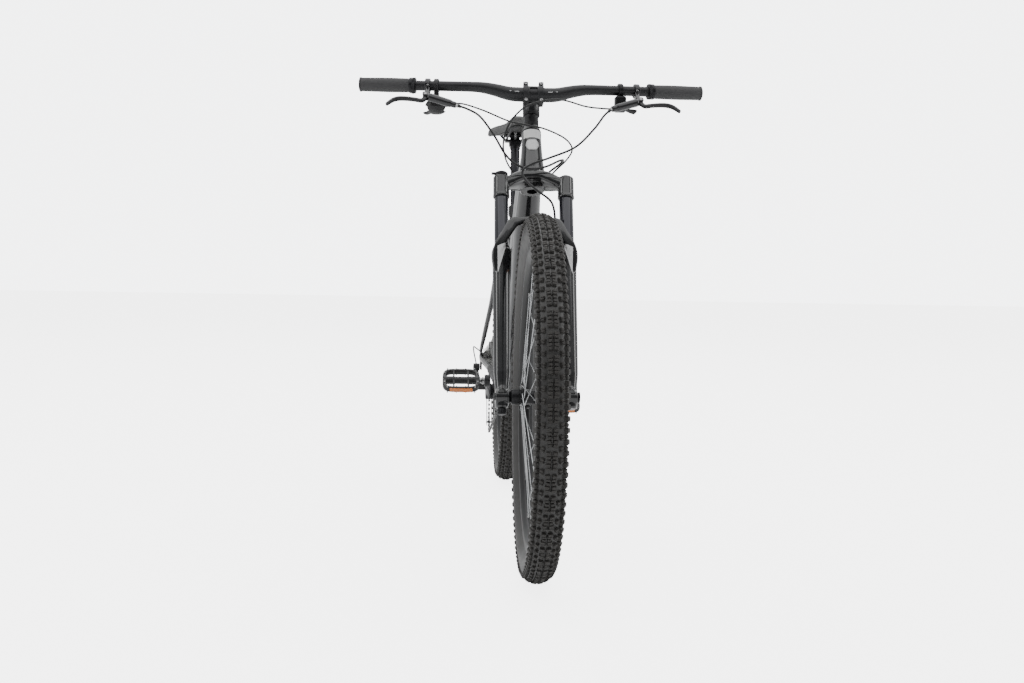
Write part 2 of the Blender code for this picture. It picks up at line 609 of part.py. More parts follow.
def make_lowers(paint, metal, joints):
    """The lower legs with their arch, the front caliper, the front axle and the rebound knob."""
    shapes = []
    cuts = []
    for side in (-1, 1):
        foot = fork_at(side * LEG_SPACING / 2, -LEG_FORWARD, 0)
        leg = [(0.0100, -0.024), (0.0142, -0.014), (0.0145, 0.028), (0.0168, 0.048), (0.0180, 0.180),
               (0.0190, 0.280), (0.0213, 0.304), (0.0213, 0.318), (0.0190, 0.326)]
        shapes.append(turned(leg, foot, STEER_UP, 14))
        shapes.append(rod(FRONT_AXLE + X * side * 0.0552, FRONT_AXLE + X * side * 0.0832, 0.0155, 12))
        cuts.append(rod(foot + STEER_UP * 0.094, foot + STEER_UP * 0.340, bore(STANCHION_RADIUS, 14), 14))
    half = [
        (0.0720, -0.0430, 0.2640, 0.0100, 0.0120), (0.0775, -0.0490, 0.2860, 0.0090, 0.0115),
        (0.0800, -0.0560, 0.3080, 0.0080, 0.0108), (0.0740, -0.0640, 0.3290, 0.0060, 0.0105),
        (0.0600, -0.0665, 0.3530, 0.0055, 0.0106), (0.0465, -0.0670, 0.3750, 0.0055, 0.0120),
        (0.0340, -0.0675, 0.3795, 0.0056, 0.0092), (0.0200, -0.0680, 0.3830, 0.0060, 0.0066),
        (0, -0.0680, 0.3850, 0.0060, 0.0055),
    ]
    stations = half + [(-x, *rest) for x, *rest in reversed(half[:-1])]
    shapes.append(sweep([fork_at(*station[:3]) for station in stations], [station[3:] for station in stations],
                        side=STEER_BACK, count=8))
    post = fork_at(LEG_SPACING / 2 - 0.010, -0.0155, 0.070)
    shapes.append(block(post, (0.0140, 0.0190, 0.046), along=STEER_BACK, bevel=0.002))
    cuts.append(rod(FRONT_AXLE - X * 0.1, FRONT_AXLE + X * 0.1, bore(0.0075, 12), 12))
    piece("fork_lowers", paint, joints["fork_travel"], shapes, cuts)

    middle = fork_at(0, 0.0130, 0.070)
    caliper = block(middle + X * 0.0470, (0.0330, 0.036, 0.052), along=STEER_BACK, bevel=0.005)
    slot = block(fork_at(FRONT_ROTOR_X + ROTOR_THICKNESS / 2, 0.0035, 0.052), (0.0042, 0.077, 0.064),
                 along=STEER_BACK)
    piece("front_brake_caliper", metal, joints["fork_travel"], [caliper], [slot])
    axle = [(0.0075, -0.0860), (0.0075, 0.0848), (0.0110, 0.0848), (0.0110, 0.0890)]
    piece("front_axle", metal, joints["fork_travel"], [turned(axle, FRONT_AXLE, X, 12)])
    knob = [(0.0080, -0.0243), (0.0095, -0.0270), (0.0095, -0.0350), (0.0075, -0.0370)]
    piece("rebound_knob", metal, joints["rebound"],
          [turned(knob, fork_at(-LEG_SPACING / 2, -LEG_FORWARD, 0), STEER_UP, 12)])


# Wheels


def make_wheel(prefix, axle, hub_outline, flanges, rotor_x, rotor_inner, finishes, parent):
    """Tyre, rim, spokes on their hub shell, and brake rotor."""
    rubber, rim_finish, hub_finish, steel = finishes
    half = [(0.3168, 0.0158), (0.3400, 0.0292), (0.3620, 0.0275), (TYRE_RADIUS, 0.0090)]
    inner = [(0.3168, 0.0126), (0.3420, 0.0255), (0.3650, 0.0130)]
    outline = half + [(r, -x) for r, x in reversed(half)] + [(r, -x) for r, x in inner]
    outline += [(r, x) for r, x in reversed(inner)]
    piece(f"{prefix}_tyre", rubber, parent, [turned(outline, axle, X, 36, hollow=True)])
    half = [(0.2930, 0.0070), (0.3040, 0.0168), (0.3164, 0.0168), (0.3085, 0.0135)]
    outline = half + [(r, -x) for r, x in reversed(half)]
    piece(f"{prefix}_rim", rim_finish, parent, [turned(outline, axle, X, 36, hollow=True)])

    shapes = [turned(hub_outline, axle, X, 12, hollow=True)]
    step = 2 * math.pi / SPOKES_A_SIDE
    for side, flange in enumerate(flanges):
        for i in range(SPOKES_A_SIDE):
            start = step * (i + side / 2)
            end = start + (3 * step if i % 2 else -3 * step)
            inset = 0.0014 if i % 2 else -0.0014
            hole = axle + Vector((flange + inset, 0.0262 * math.cos(start), 0.0262 * math.sin(start)))
            lean = math.copysign(0.0030, flange)
            seat = axle + Vector((lean, 0.2912 * math.cos(end), 0.2912 * math.sin(end)))
            shapes.append(rod(hole, seat, 0.0012, 3))
    piece(f"{prefix}_spokes_and_hub", hub_finish, parent, shapes)
    rotor = [(ROTOR_RADIUS, rotor_x), (ROTOR_RADIUS, rotor_x + ROTOR_THICKNESS),
             (rotor_inner, rotor_x + ROTOR_THICKNESS), (rotor_inner, rotor_x)]
    piece(f"{prefix}_rotor", steel, parent, [turned(rotor, axle, X, 24, hollow=True)])


def make_wheels(finishes, joints):
    """The front and rear wheels."""
    hole = bore(0.0075, 12)
    half = FRONT_HUB_HALF
    front = [(0.0105, -half), (0.0165, -0.0450), (0.0165, -0.0305), (0.0290, -0.0302), (0.0290, -0.0268),
             (0.0150, -0.0220), (0.0150, 0.0220), (0.0290, 0.0268), (0.0290, 0.0302), (0.0225, 0.0306),
             (0.0225, FRONT_ROTOR_X - GAP), (0.0172, FRONT_ROTOR_X - GAP), (0.0172, 0.0460), (0.0105, half),
             (hole, half), (hole, -half)]
    make_wheel("front", FRONT_AXLE, front, (-0.0285, 0.0285), FRONT_ROTOR_X, 0.0182, finishes,
               joints["front_wheel"])
    hole = bore(0.0060, 12)
    rear = [(0.0230, -0.0290), (0.0290, -0.0230), (0.0290, -0.0196), (0.0170, -0.0150), (0.0170, 0.0280),
            (0.0290, 0.0318), (0.0290, 0.0352), (0.0235, 0.0356), (0.0225, REAR_ROTOR_X - GAP),
            (0.0172, REAR_ROTOR_X - GAP), (0.0172, 0.0640), (0.0100, REAR_HUB_HALF), (hole, REAR_HUB_HALF),
            (hole, -0.0290)]
    make_wheel("rear", REAR_AXLE, rear, (-0.0213, 0.0335), REAR_ROTOR_X, 0.0182, finishes, joints["rear_wheel"])


# The drive train


def belt_route(circles, spacing):
    """Places along a belt round circles of (centre, radius, sense), sense +1 where it turns from +Y to +Z."""
    touches = []
    for i, (centre, radius, sense) in enumerate(circles):
        other, other_radius, other_sense = circles[(i + 1) % len(circles)]
        across = other - centre
        angle = math.atan2(across.z, across.y)
        angle -= math.asin((other_sense * other_radius - sense * radius) / math.hypot(across.y, across.z))
        touches.append(angle)
    places = []
    for i, (centre, radius, sense) in enumerate(circles):
        start = touches[i - 1] - sense * math.pi / 2
        end = touches[i] - sense * math.pi / 2
        while sense * (end - start) < 0:
            end += sense * 2 * math.pi
        count = max(2, math.ceil(abs(end - start) / spacing))
        for j in range(count + 1):
            turn = start + (end - start) * j / count
            places.append(centre + Y * radius * math.cos(turn) + Z * radius * math.sin(turn))
    return places


def make_drive(satin, metal, steel, plastic, joints):
    """Cranks, chainring, cassette, chain, derailleur cage, its pulleys and the pedals."""
    line = Vector((-CHAINLINE, 0, 0))
    out = -Y * math.cos(CRANK_RISE) + Z * math.sin(CRANK_RISE)
    for side, name in ((-1, "right"), (1, "left")):
        reach = out if side < 0 else -out
        end = BOTTOM_BRACKET + reach * CRANK
        mid = BOTTOM_BRACKET + reach * CRANK * 0.5
        arm = sweep(
            [BOTTOM_BRACKET + X * side * 0.0690, mid + X * side * 0.0735, end + X * side * 0.0805],
            [(0.0085, 0.0180), (0.0065, 0.0135), (0.0065, 0.0140)], count=12,
        )
        eye = rod(end + X * side * 0.0740, end + X * side * 0.0872, 0.0155, 16)
        pin = rod(end + X * side * 0.0800, end + X * side * 0.1850, 0.0055, 10)
        inner = 0.0545 if side < 0 else 0.0460
        boss = rod(BOTTOM_BRACKET + X * side * inner, BOTTOM_BRACKET + X * side * 0.0790, 0.0205, 18)
        shapes = [boss, arm, eye, pin]
        cuts = []
        if side < 0:
            shapes.append(rod(BOTTOM_BRACKET - X * 0.0600, BOTTOM_BRACKET + X * 0.0700, 0.0145, 16))
        else:
            cuts.append(rod(BOTTOM_BRACKET + X * 0.0400, BOTTOM_BRACKET + X * 0.0720, bore(0.0145, 16), 16))
        piece(f"crank_arm_{name}", satin, joints["crank"], shapes, cuts)

        ahead = -Y * math.cos(PEDAL_TILT) + Z * math.sin(PEDAL_TILT)
        centre = end + X * side * 0.1460
        body = block(centre, (0.0930, 0.1000, 0.0160), along=ahead, bevel=0.003)
        barrel = rod(centre - X * 0.0465, centre + X * 0.0465, 0.0105, 14)
        windows = [block(centre + ahead * s * 0.0270, (0.0700, 0.0280, 0.0300), along=ahead) for s in (-1, 1)]
        hole = rod(end + X * side * 0.0900, end + X * side * 0.1862, bore(0.0055, 12), 12)
        piece(f"pedal_{name}", plastic, joints[f"pedal_{name}"], [body, barrel], [*windows, hole])
    ring_radius = pitch_radius(RING_TEETH) - TOOTH_DEPTH
    piece("chainring", metal, joints["crank"],
          [sleeve(BOTTOM_BRACKET - X * 0.0503, BOTTOM_BRACKET - X * 0.0538, ring_radius, bore(0.0147, 24), 24)])

    outline = []
    for i, (teeth, x) in enumerate(COGS):
        inward = COGS[i + 1][1] if i + 1 < len(COGS) else -0.0305
        radius = pitch_radius(teeth) - TOOTH_DEPTH
        outline += [(radius, x), (radius, inward)]
    hole = bore(0.0060, 12)
    outline = [(0.0105, -REAR_HUB_HALF), (0.0125, -0.0710), *outline, (0.0225, -0.0295), (hole, -0.0295),
               (hole, -REAR_HUB_HALF)]
    piece("cassette", steel, joints["cassette"], [turned(outline, REAR_AXLE, X, 16, hollow=True)])

    circles = [
        (BOTTOM_BRACKET, pitch_radius(RING_TEETH), 1),
        (TENSION_PULLEY, pitch_radius(TENSION_TEETH), 1),
        (GUIDE_PULLEY, pitch_radius(GUIDE_TEETH), -1),
        (REAR_AXLE, pitch_radius(COG_TEETH), 1),
    ]
    route = [place + line for place in belt_route(circles, math.radians(17))]
    piece("chain", steel, None, [sweep(route, [(0.0022, 0.0037)] * len(route), closed=True, square=True)])

    pulleys = ((GUIDE_PULLEY, GUIDE_TEETH, "guide"), (TENSION_PULLEY, TENSION_TEETH, "tension"))
    shapes = []
    along = TENSION_PULLEY - GUIDE_PULLEY
    angle = math.degrees(math.atan2(along.z, along.y))
    outline = arc(GUIDE_PULLEY, 0.0125, angle + 90, angle + 270, 6)
    outline += arc(TENSION_PULLEY, 0.0110, angle - 90, angle + 90, 6)
    for x_low, x_high in ((-0.0600, -0.0578), (-0.0462, -0.0440)):
        shapes.append(plate(outline, x_low, x_high))
    for place, _, _ in pulleys:
        shapes.append(rod(place - X * 0.0590, place - X * 0.0450, 0.0030, 10))
    shapes.append(rod(CAGE_PIVOT - X * 0.0602, CAGE_PIVOT - X * 0.0582, 0.0110, 12))
    piece("derailleur_cage", metal, joints["cage"], shapes)
    for place, teeth, name in pulleys:
        radius = pitch_radius(teeth) - TOOTH_DEPTH
        piece(f"{name}_pulley", plastic, joints[f"{name}_pulley"],
              [sleeve(place - X * 0.0533, place - X * 0.0507, radius, bore(0.0031, 14), 14)])


# The saddle


def make_saddle(cover, metal, parent):
    """The dropper post's inner tube, the clamp, the rails and the padded saddle."""
    piece("dropper_inner_tube", metal, parent, [rod(seat_at(0, 0.310), seat_at(0, 0.6880), 0.0125, 16)])
    head = seat_at(0, 0.7050)
    base = block(head, (0.0340, 0.034, 0.0200), bevel=0.004)
    neck = rod(seat_at(0, 0.6883), seat_at(0, 0.7010), 0.0145, 14)
    web = block(Vector((0, RAIL_Y, RAIL_Z)), (0.0260, 0.030, 0.0340))
    lower = block(Vector((0, RAIL_Y, RAIL_Z - 0.0076)), (0.0560, 0.038, 0.0070), bevel=0.0015)
    upper = block(Vector((0, RAIL_Y, RAIL_Z + 0.0076)), (0.0560, 0.034, 0.0070), bevel=0.0015)
    piece("saddle_clamp", metal, parent, [neck, base, web, lower, upper])
    half = [(0.0340, 0.448, 0.0200), (0.0260, 0.420, 0.0060), (0.0220, 0.395, 0), (0.0220, 0.310, 0),
            (0.0190, 0.275, 0.0040), (0.0100, 0.235, 0.0180), (0, 0.226, 0.0205)]
    stations = half + [(-x, y, z) for x, y, z in reversed(half[:-1])]
    route = [Vector((x, y, RAIL_Z + z)) for x, y, z in stations]
    piece("saddle_rails", metal, parent, [sweep(route, [(0.0035, 0.0035)] * len(route), side=Z, count=8)])
    rings = []
    for y, half_width, top, edge, under in SADDLE_STATIONS:
        section = [(0, top), (0.45, top - 0.0010), (0.80, top - 0.0080), (1.0, (top * 0.45 + edge * 0.55)),
                   (0.97, edge), (0.60, under), (0, under)]
        section = [(a * half_width, z) for a, z in section]
        section += [(-x, z) for x, z in reversed(section[1:-1])]
        rings.append([Vector((x, y, z)) for x, z in section])
    piece("saddle", cover, parent, [loft(rings)])


# Hoses and cable housings


def make_hoses(black, joints):
    """The brake hoses and cable housings, each along its real route."""
    hose("rear_brake_hose", black, joints["steering"], [
        (-0.1685, -0.3728, 0.9845), (-0.146, -0.3840, 0.9760), (-0.118, -0.3980, 0.9580), (-0.088, -0.4120, 0.9170),
        (-0.064, -0.4150, 0.8780), (-0.038, -0.4100, 0.8560), (-0.005, -0.4030, 0.8490), (0.026, -0.3950, 0.8550),
        (0.056, -0.3750, 0.8700), (0.068, -0.3480, 0.8740), (0.060, -0.3240, 0.8660), (0.044, -0.3020, 0.8540),
        (0.0325, -0.2860, 0.8430)], 0.0025)
    hose("shift_housing", black, joints["steering"], [
        (-0.1865, -0.3200, 0.9930), (-0.158, -0.3440, 0.9930), (-0.112, -0.4100, 0.9700), (-0.060, -0.4280, 0.9470),
        (-0.020, -0.4280, 0.9390), (0.020, -0.4180, 0.9330), (0.066, -0.3920, 0.9170), (0.086, -0.3600, 0.8980),
        (0.078, -0.3250, 0.8780), (0.056, -0.2930, 0.8560), (0.0325, -0.2680, 0.8290)], 0.0020)
    hose("dropper_housing", black, joints["steering"], [
        (0.1815, -0.3300, 0.9920), (0.150, -0.3480, 0.9900), (0.110, -0.3850, 0.9880), (0.058, -0.4180, 0.9950),
        (0.015, -0.4280, 0.9910), (-0.026, -0.4200, 0.9760), (-0.055, -0.3980, 0.9450), (-0.066, -0.3720, 0.9080),
        (-0.060, -0.3420, 0.8780), (-0.046, -0.3130, 0.8560), (-0.0325, -0.2880, 0.8440)], 0.0020)
    hose("front_brake_hose", black, joints["steering"], [
        (0.1685, -0.3728, 0.9845), (0.152, -0.3850, 0.9690), (0.128, -0.4050, 0.9370), (0.086, -0.4280, 0.8950),
        (0.030, -0.4330, 0.8700), (-0.008, -0.4320, 0.8560), (-0.027, -0.4320, 0.8410), (-0.020, -0.4390, 0.8210),
        (0.004, -0.4500, 0.7990), (0.034, -0.4480, 0.7760), (0.0440, -0.4340, 0.7440), (0.0440, -0.4240, 0.7050),
        (0.0470, -0.4220, 0.6650), (0.0560, -0.4330, 0.6250), (0.0600, -0.4700, 0.5480), (0.0570, -0.4960, 0.4840),
        (0.0490, -0.4900, 0.4560)], 0.0025)
    hose("rear_shift_housing", black, None, [
        (-0.0640, 0.4800, 0.3800), (-0.0760, 0.5000, 0.3880), (-0.0930, 0.5350, 0.3990), (-0.1010, 0.5850, 0.4010),
        (-0.0990, 0.6260, 0.3820), (-0.0930, 0.6380, 0.3550), (-0.0900, 0.6290, 0.3360)], 0.0020)


def main():
    """Clears the scene and builds the bike."""
    for existing in list(bpy.data.objects):
        bpy.data.objects.remove(existing)

    paint = finish("gloss_black_paint", (0.012, 0.013, 0.015), 0.12)
    fork_paint = finish("gloss_black_fork", (0.010, 0.011, 0.013), 0.18)
    satin = finish("satin_black_alloy", (0.030, 0.030, 0.032), 0.38, 0.6)
    metal = finish("black_anodised", (0.020, 0.020, 0.022), 0.30, 0.7)
    stanchion = finish("stanchion_black", (0.015, 0.015, 0.022), 0.08, 0.9)
    steel = finish("bright_steel", (0.50, 0.49, 0.47), 0.28, 1.0)
    silver = finish("silver_spokes", (0.60, 0.60, 0.61), 0.25, 1.0)
    rubber = finish("tyre_rubber", (0.028, 0.026, 0.024), 0.75)
    rim_finish = finish("rim_black", (0.020, 0.020, 0.021), 0.35, 0.5)
    grip_rubber = finish("grip_rubber", (0.060, 0.060, 0.062), 0.70)
    plastic = finish("black_plastic", (0.020, 0.020, 0.021), 0.45)
    cover = finish("saddle_cover", (0.085, 0.085, 0.088), 0.60)

    joints = {"steering": joint("steering", STEER_FOOT)}
    steering = joints["steering"]
    joints["lockout"] = joint("lockout", fork_at(-LEG_SPACING / 2, -LEG_FORWARD, 0.5), steering)
    joints["brake_lever_right"] = joint("brake_lever_right", LEVER_PIVOTS[-1], steering)
    joints["brake_lever_left"] = joint("brake_lever_left", LEVER_PIVOTS[1], steering)
    joints["push_paddle"] = joint("push_paddle", SHIFTER_PIVOT, steering)
    joints["release_paddle"] = joint("release_paddle", SHIFTER_PIVOT, steering)
    joints["remote_lever"] = joint("remote_lever", REMOTE_PIVOT, steering)
    joints["fork_travel"] = joint("fork_travel", STEER_FOOT, steering)
    joints["rebound"] = joint("rebound", fork_at(-LEG_SPACING / 2, -LEG_FORWARD, 0), joints["fork_travel"])
    joints["front_wheel"] = joint("front_wheel", FRONT_AXLE, joints["fork_travel"])
    joints["rear_wheel"] = joint("rear_wheel", REAR_AXLE)
    joints["cassette"] = joint("cassette_axis", REAR_AXLE)
    joints["crank"] = joint("crank", BOTTOM_BRACKET)
    out = -Y * math.cos(CRANK_RISE) + Z * math.sin(CRANK_RISE)
    joints["pedal_right"] = joint("pedal_axis_right", BOTTOM_BRACKET + out * CRANK, joints["crank"])
    joints["pedal_left"] = joint("pedal_axis_left", BOTTOM_BRACKET - out * CRANK, joints["crank"])
    joints["cage"] = joint("cage", CAGE_PIVOT)
    joints["guide_pulley"] = joint("guide_axis", GUIDE_PULLEY, joints["cage"])
    joints["tension_pulley"] = joint("tension_axis", TENSION_PULLEY, joints["cage"])
    joints["saddle"] = joint("dropper", BOTTOM_BRACKET)

    make_frame(paint, metal)
    make_rear_fittings(metal, plastic)
    make_crown(fork_paint, stanchion, steering)
    make_lockout(metal, joints["lockout"])
    make_cockpit(satin, metal, grip_rubber, steering)
    make_brake_controls(metal, joints)
    make_shift_controls(plastic, metal, joints)
    make_lowers(fork_paint, metal, joints)
    make_wheels((rubber, rim_finish, silver, steel), joints)
    make_drive(satin, metal, steel, plastic, joints)
    make_saddle(cover, metal, joints["saddle"])
    make_hoses(plastic, joints)


main()
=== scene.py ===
"""The looks of a hardtail mountain bike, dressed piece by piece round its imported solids.

Metres, +Z up. The bike points along -Y, its left side is +X and its chain runs on the -X side. Every place
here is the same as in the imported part, so a piece goes where the part says and rides on the body that
carries it.
"""

import json
import logging
import math
from dataclasses import dataclass, field
from enum import Enum
from typing import Iterable, Sequence

import bmesh
import bpy
from mathutils import Matrix, Vector
from mathutils.bvhtree import BVHTree

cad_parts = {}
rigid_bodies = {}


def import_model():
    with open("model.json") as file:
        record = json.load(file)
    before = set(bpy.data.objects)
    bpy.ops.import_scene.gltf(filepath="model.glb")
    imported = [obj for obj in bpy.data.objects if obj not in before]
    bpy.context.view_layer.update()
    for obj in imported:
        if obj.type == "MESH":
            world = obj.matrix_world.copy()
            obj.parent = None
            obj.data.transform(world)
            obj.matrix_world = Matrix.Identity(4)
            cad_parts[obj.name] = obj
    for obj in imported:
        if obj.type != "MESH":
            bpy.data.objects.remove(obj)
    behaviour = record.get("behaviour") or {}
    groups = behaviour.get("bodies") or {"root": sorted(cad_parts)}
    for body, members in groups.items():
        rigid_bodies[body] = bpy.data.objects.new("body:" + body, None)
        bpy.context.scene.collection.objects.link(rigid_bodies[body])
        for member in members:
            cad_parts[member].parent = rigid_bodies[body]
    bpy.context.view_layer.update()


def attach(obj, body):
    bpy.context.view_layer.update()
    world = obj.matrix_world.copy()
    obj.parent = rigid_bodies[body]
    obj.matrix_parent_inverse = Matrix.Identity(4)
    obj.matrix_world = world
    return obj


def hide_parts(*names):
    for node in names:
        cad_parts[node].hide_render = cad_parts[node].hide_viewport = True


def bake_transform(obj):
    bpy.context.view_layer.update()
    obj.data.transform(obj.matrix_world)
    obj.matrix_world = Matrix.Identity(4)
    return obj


LOG = logging.getLogger("mountain_bike")

Colour = tuple[float, float, float]
Row = Sequence[float]

X = Vector((1, 0, 0))
Y = Vector((0, 1, 0))
Z = Vector((0, 0, 1))

TYRE_RADIUS = 0.3725
WHEELBASE = 1.150
HEAD_ANGLE = math.radians(68.0)
SEAT_ANGLE = math.radians(74.0)
FRONT_AXLE = Vector((0, -WHEELBASE / 2, TYRE_RADIUS))
REAR_AXLE = Vector((0, WHEELBASE / 2, TYRE_RADIUS))
BOTTOM_BRACKET = Vector((0, 0.139, 0.310))
STEER_UP = Vector((0, math.cos(HEAD_ANGLE), math.sin(HEAD_ANGLE)))
STEER_BACK = Vector((0, math.sin(HEAD_ANGLE), -math.cos(HEAD_ANGLE)))
STEER_FOOT = FRONT_AXLE + STEER_BACK * 0.044
SEAT_UP = Vector((0, math.cos(SEAT_ANGLE), math.sin(SEAT_ANGLE)))
BAR_CENTRE = STEER_FOOT + STEER_UP * 0.6896 - STEER_BACK * 0.061
LEVER_TILT = math.radians(40.0)
LEVER_OUT = Vector((0, -math.cos(LEVER_TILT), -math.sin(LEVER_TILT)))
LEVER_AXIS = X.cross(LEVER_OUT)
CONTROL_BASE = BAR_CENTRE + Vector((0, 0.020, 0.0168))
LEG_X = 0.070
LEG_BACK = -0.040
CHAIN_PITCH = 0.0127
CHAINLINE = -0.052
SADDLE_RAIL = Vector((0, 0.345, 1.0035))


class Side(Enum):
    """The bike's two sides, and the sign of X on each."""

    RIGHT = -1
    LEFT = 1

    @property
    def word(self) -> str:
        """The side's name as pieces carry it."""
        return self.name.lower()


def fork_at(x: float, back: float, up: float) -> Vector:
    """A place to the left of the steering axis, behind it, and up along it from its foot."""
    return STEER_FOOT + X * x + STEER_BACK * back + STEER_UP * up


def seat_at(x: float, up: float) -> Vector:
    """A place to the left of the seat tube's axis and up along it from the bottom bracket."""
    return BOTTOM_BRACKET + X * x + SEAT_UP * up


def radial(angle: float) -> Vector:
    """The direction across a wheel at an angle from +Y towards +Z."""
    return Vector((0, math.cos(angle), math.sin(angle)))


def blend_rows(rows: Sequence[Row], steps: int) -> list[list[float]]:
    """Rows of numbers with more rows between them, on a smooth curve through all of them.

    Args:
        rows: Rows of equal length, such as x, y, z and a radius.
        steps: How many rows each given one becomes.

    Returns:
        The finer rows, the given ones among them.
    """
    first = [2 * a - b for a, b in zip(rows[0], rows[1])]
    last = [2 * a - b for a, b in zip(rows[-1], rows[-2])]
    padded = [first, *rows, last]
    finer = []
    for i in range(len(rows) - 1):
        a, b, c, d = padded[i : i + 4]
        for step in range(steps):
            t = step / steps
            finer.append(
                [
                    (
                        2 * q + (r - p) * t + (2 * p - 5 * q + 4 * r - s) * t**2
                        + (3 * q - p - 3 * r + s) * t**3
                    ) / 2
                    for p, q, r, s in zip(a, b, c, d)
                ]
            )
    return [*finer, list(rows[-1])]


def mirrored(rows: Sequence[Row]) -> list[list[float]]:
    """Rows that end on the bike's middle plane, followed by their mirror images across it."""
    return [list(row) for row in rows] + [[-row[0], *row[1:]] for row in reversed(rows[:-1])]


def loft(rings: Sequence[Sequence[Vector]], closed: bool = False) -> bmesh.types.BMesh:
    """A skin through rings of equal point counts.

    Args:
        rings: The rings, in order.
        closed: Whether the last ring joins the first, instead of both ends having a face.

    Returns:
        The closed shape.
    """
    shape = bmesh.new()
    loops = [[shape.verts.new(point) for point in ring] for ring in rings]
    pairs = list(zip(loops, loops[1:]))
    if closed:
        pairs.append((loops[-1], loops[0]))
    else:
        shape.faces.new(loops[0])
        shape.faces.new(loops[-1])
    for near, far in pairs:
        for i in range(len(near)):
            j = (i + 1) % len(near)
            shape.faces.new((near[i], near[j], far[j], far[i]))
    bmesh.ops.recalc_face_normals(shape, faces=shape.faces)
    return shape


def turned(
    profile: Sequence[tuple[
        float, float
    ]], origin: Vector, axis: Vector, count: int = 48, hollow: bool = False
) -> bmesh.types.BMesh:
    """A solid of revolution.

    Args:
        profile: (radius, distance along the axis) pairs.
        origin: Where distances start.
        axis: The unit direction of the axis.
        count: How many flats the round has.
        hollow: Whether the outline closes on itself and leaves a hole.

    Returns:
        The closed shape.
    """
    across = (Y - axis * axis.y if abs(axis.x) > 0.9 else axis.cross(X)).normalized()
    up = axis.cross(across)
    angles = [2 * math.pi * i / count for i in range(count)]
    ring = [across * math.cos(a) + up * math.sin(a) for a in angles]
    return loft([[origin + axis * along + out * radius for out in ring] for radius, along in profile], hollow)


def rod(start: Vector, end: Vector, radius: float, count: int = 24) -> bmesh.types.BMesh:
    """A plain round bar between two places."""
    axis = end - start
    return turned([(radius, 0), (radius, axis.length)], start, axis.normalized(), count)


def sleeve(start: Vector, end: Vector, outer: float, inner: float, count: int = 48) -> bmesh.types.BMesh:
    """A round tube between two places, with its outer edges eased."""
    length = (end - start).length
    ease = min(0.0005, length / 6)
    outline = [
        (outer - ease, 0), (outer, ease), (outer, length - ease), (outer - ease, length), (inner, length),
        (inner, 0)
    ]
    return turned(outline, start, (end - start).normalized(), count, hollow=True)


def sweep(
    rows: Sequence[Row], side: Vector = X, count: int = 24, closed: bool = False, squareness: float = 2.0
) -> bmesh.types.BMesh:
    """A skin round a route.

    Args:
        rows: x, y, z, half width and half height at each place. Widths lie along side.
        side: The direction that widths follow.
        count: Points round each section.
        closed: Whether the route joins itself.
        squareness: 2 makes ellipses, and more makes them squarer.

    Returns:
        The closed shape.
    """
    turns = [2 * math.pi * (i + 0.5) / count for i in range(count)]
    power = 2.0 / squareness
    outline = [
        (
            math.copysign(abs(math.cos(t)) ** power, math.cos(t)),
            math.copysign(abs(math.sin(t)) ** power, math.sin(t))
        )
        for t in turns
    ]
    places = [Vector(row[:3]) for row in rows]
    rings = []
    last = len(rows) - 1
    for i, (place, row) in enumerate(zip(places, rows)):
        before = places[i - 1] if i or closed else place
        after = places[(i + 1) % len(places)] if i < last or closed else place
        along = (after - before).normalized()
        across = (side - along * side.dot(along)).normalized()
        up = along.cross(across)
        rings.append([place + across * row[3] * a + up * row[4] * b for a, b in outline])
    return loft(rings, closed)


def block(
    centre: Vector, size: Row, across: Vector = X, along: Vector = Y, bevel: float = 0.0006
) -> bmesh.types.BMesh:
    """A box with rounded edges, its width along across and its depth along the second unit vector."""
    shape = bmesh.new()
    bmesh.ops.create_cube(shape, size=1.0)
    bmesh.ops.transform(shape, matrix=Matrix.Diagonal((*size, 1.0)), verts=shape.verts)
    bmesh.ops.bevel(shape, geom=shape.edges, offset=bevel, segments=3, profile=0.5, affect="EDGES")
    turn = Matrix((across, along, across.cross(along))).transposed().to_4x4()
    bmesh.ops.transform(shape, matrix=Matrix.Translation(centre) @ turn, verts=shape.verts)
    return shape


def prism(outline: Sequence[Vector], depth: Vector) -> bmesh.types.BMesh:
    """A flat shape made thick along a vector."""
    return loft([list(outline), [place + depth for place in outline]])


def merged(shapes: Iterable[bmesh.types.BMesh]) -> bmesh.types.BMesh:
    """One shape that holds all the given ones, which are used up."""
    whole = bmesh.new()
    for shape in shapes:
        mesh = bpy.data.meshes.new("part")
        shape.to_mesh(mesh)
        shape.free()
        whole.from_mesh(mesh)
        bpy.data.meshes.remove(mesh)
    return whole


def repeated(shape: bmesh.types.BMesh, placements: Sequence[Matrix]) -> bmesh.types.BMesh:
    """Copies of a shape at each placement, as one shape. The given one is used up."""
    shape.verts.index_update()
    corners = [vertex.co.copy() for vertex in shape.verts]
    faces = [[vertex.index for vertex in face.verts] for face in shape.faces]
    shape.free()
    mesh = bpy.data.meshes.new("copies")
    places = [placement @ corner for placement in placements for corner in corners]
    corners_each = len(corners)
    loops = [[i + k * corners_each for i in face] for k in range(len(placements)) for face in faces]
    mesh.from_pydata(places, [], loops)
    whole = bmesh.new()
    whole.from_mesh(mesh)
    bpy.data.meshes.remove(mesh)
    return whole


def placement(place: Vector, across: Vector, along: Vector, out: Vector) -> Matrix:
    """The matrix that takes X, Y and Z to three directions and the origin to a place."""
    return Matrix.Translation(place) @ Matrix((across, along, out)).transposed().to_4x4()


def socket_bolt(
    place: Vector, axis: Vector, radius: float = 0.0035, height: float = 0.003
) -> bmesh.types.BMesh:
    """A cap screw's head with its hexagon socket, standing up along an axis."""
    head = [(radius * 0.96, 0), (radius, height * 0.15), (radius, height * 0.8), (radius * 0.85, height)]
    socket = [(radius * 0.56, height), (radius * 0.50, height * 0.25), (0.00005, height * 0.2)]
    return turned(head + socket, place, axis, 18)


def pitch_radius(teeth: int) -> float:
    """Where the chain's pins run on a sprocket."""
    return CHAIN_PITCH / (2 * math.sin(math.pi / teeth))


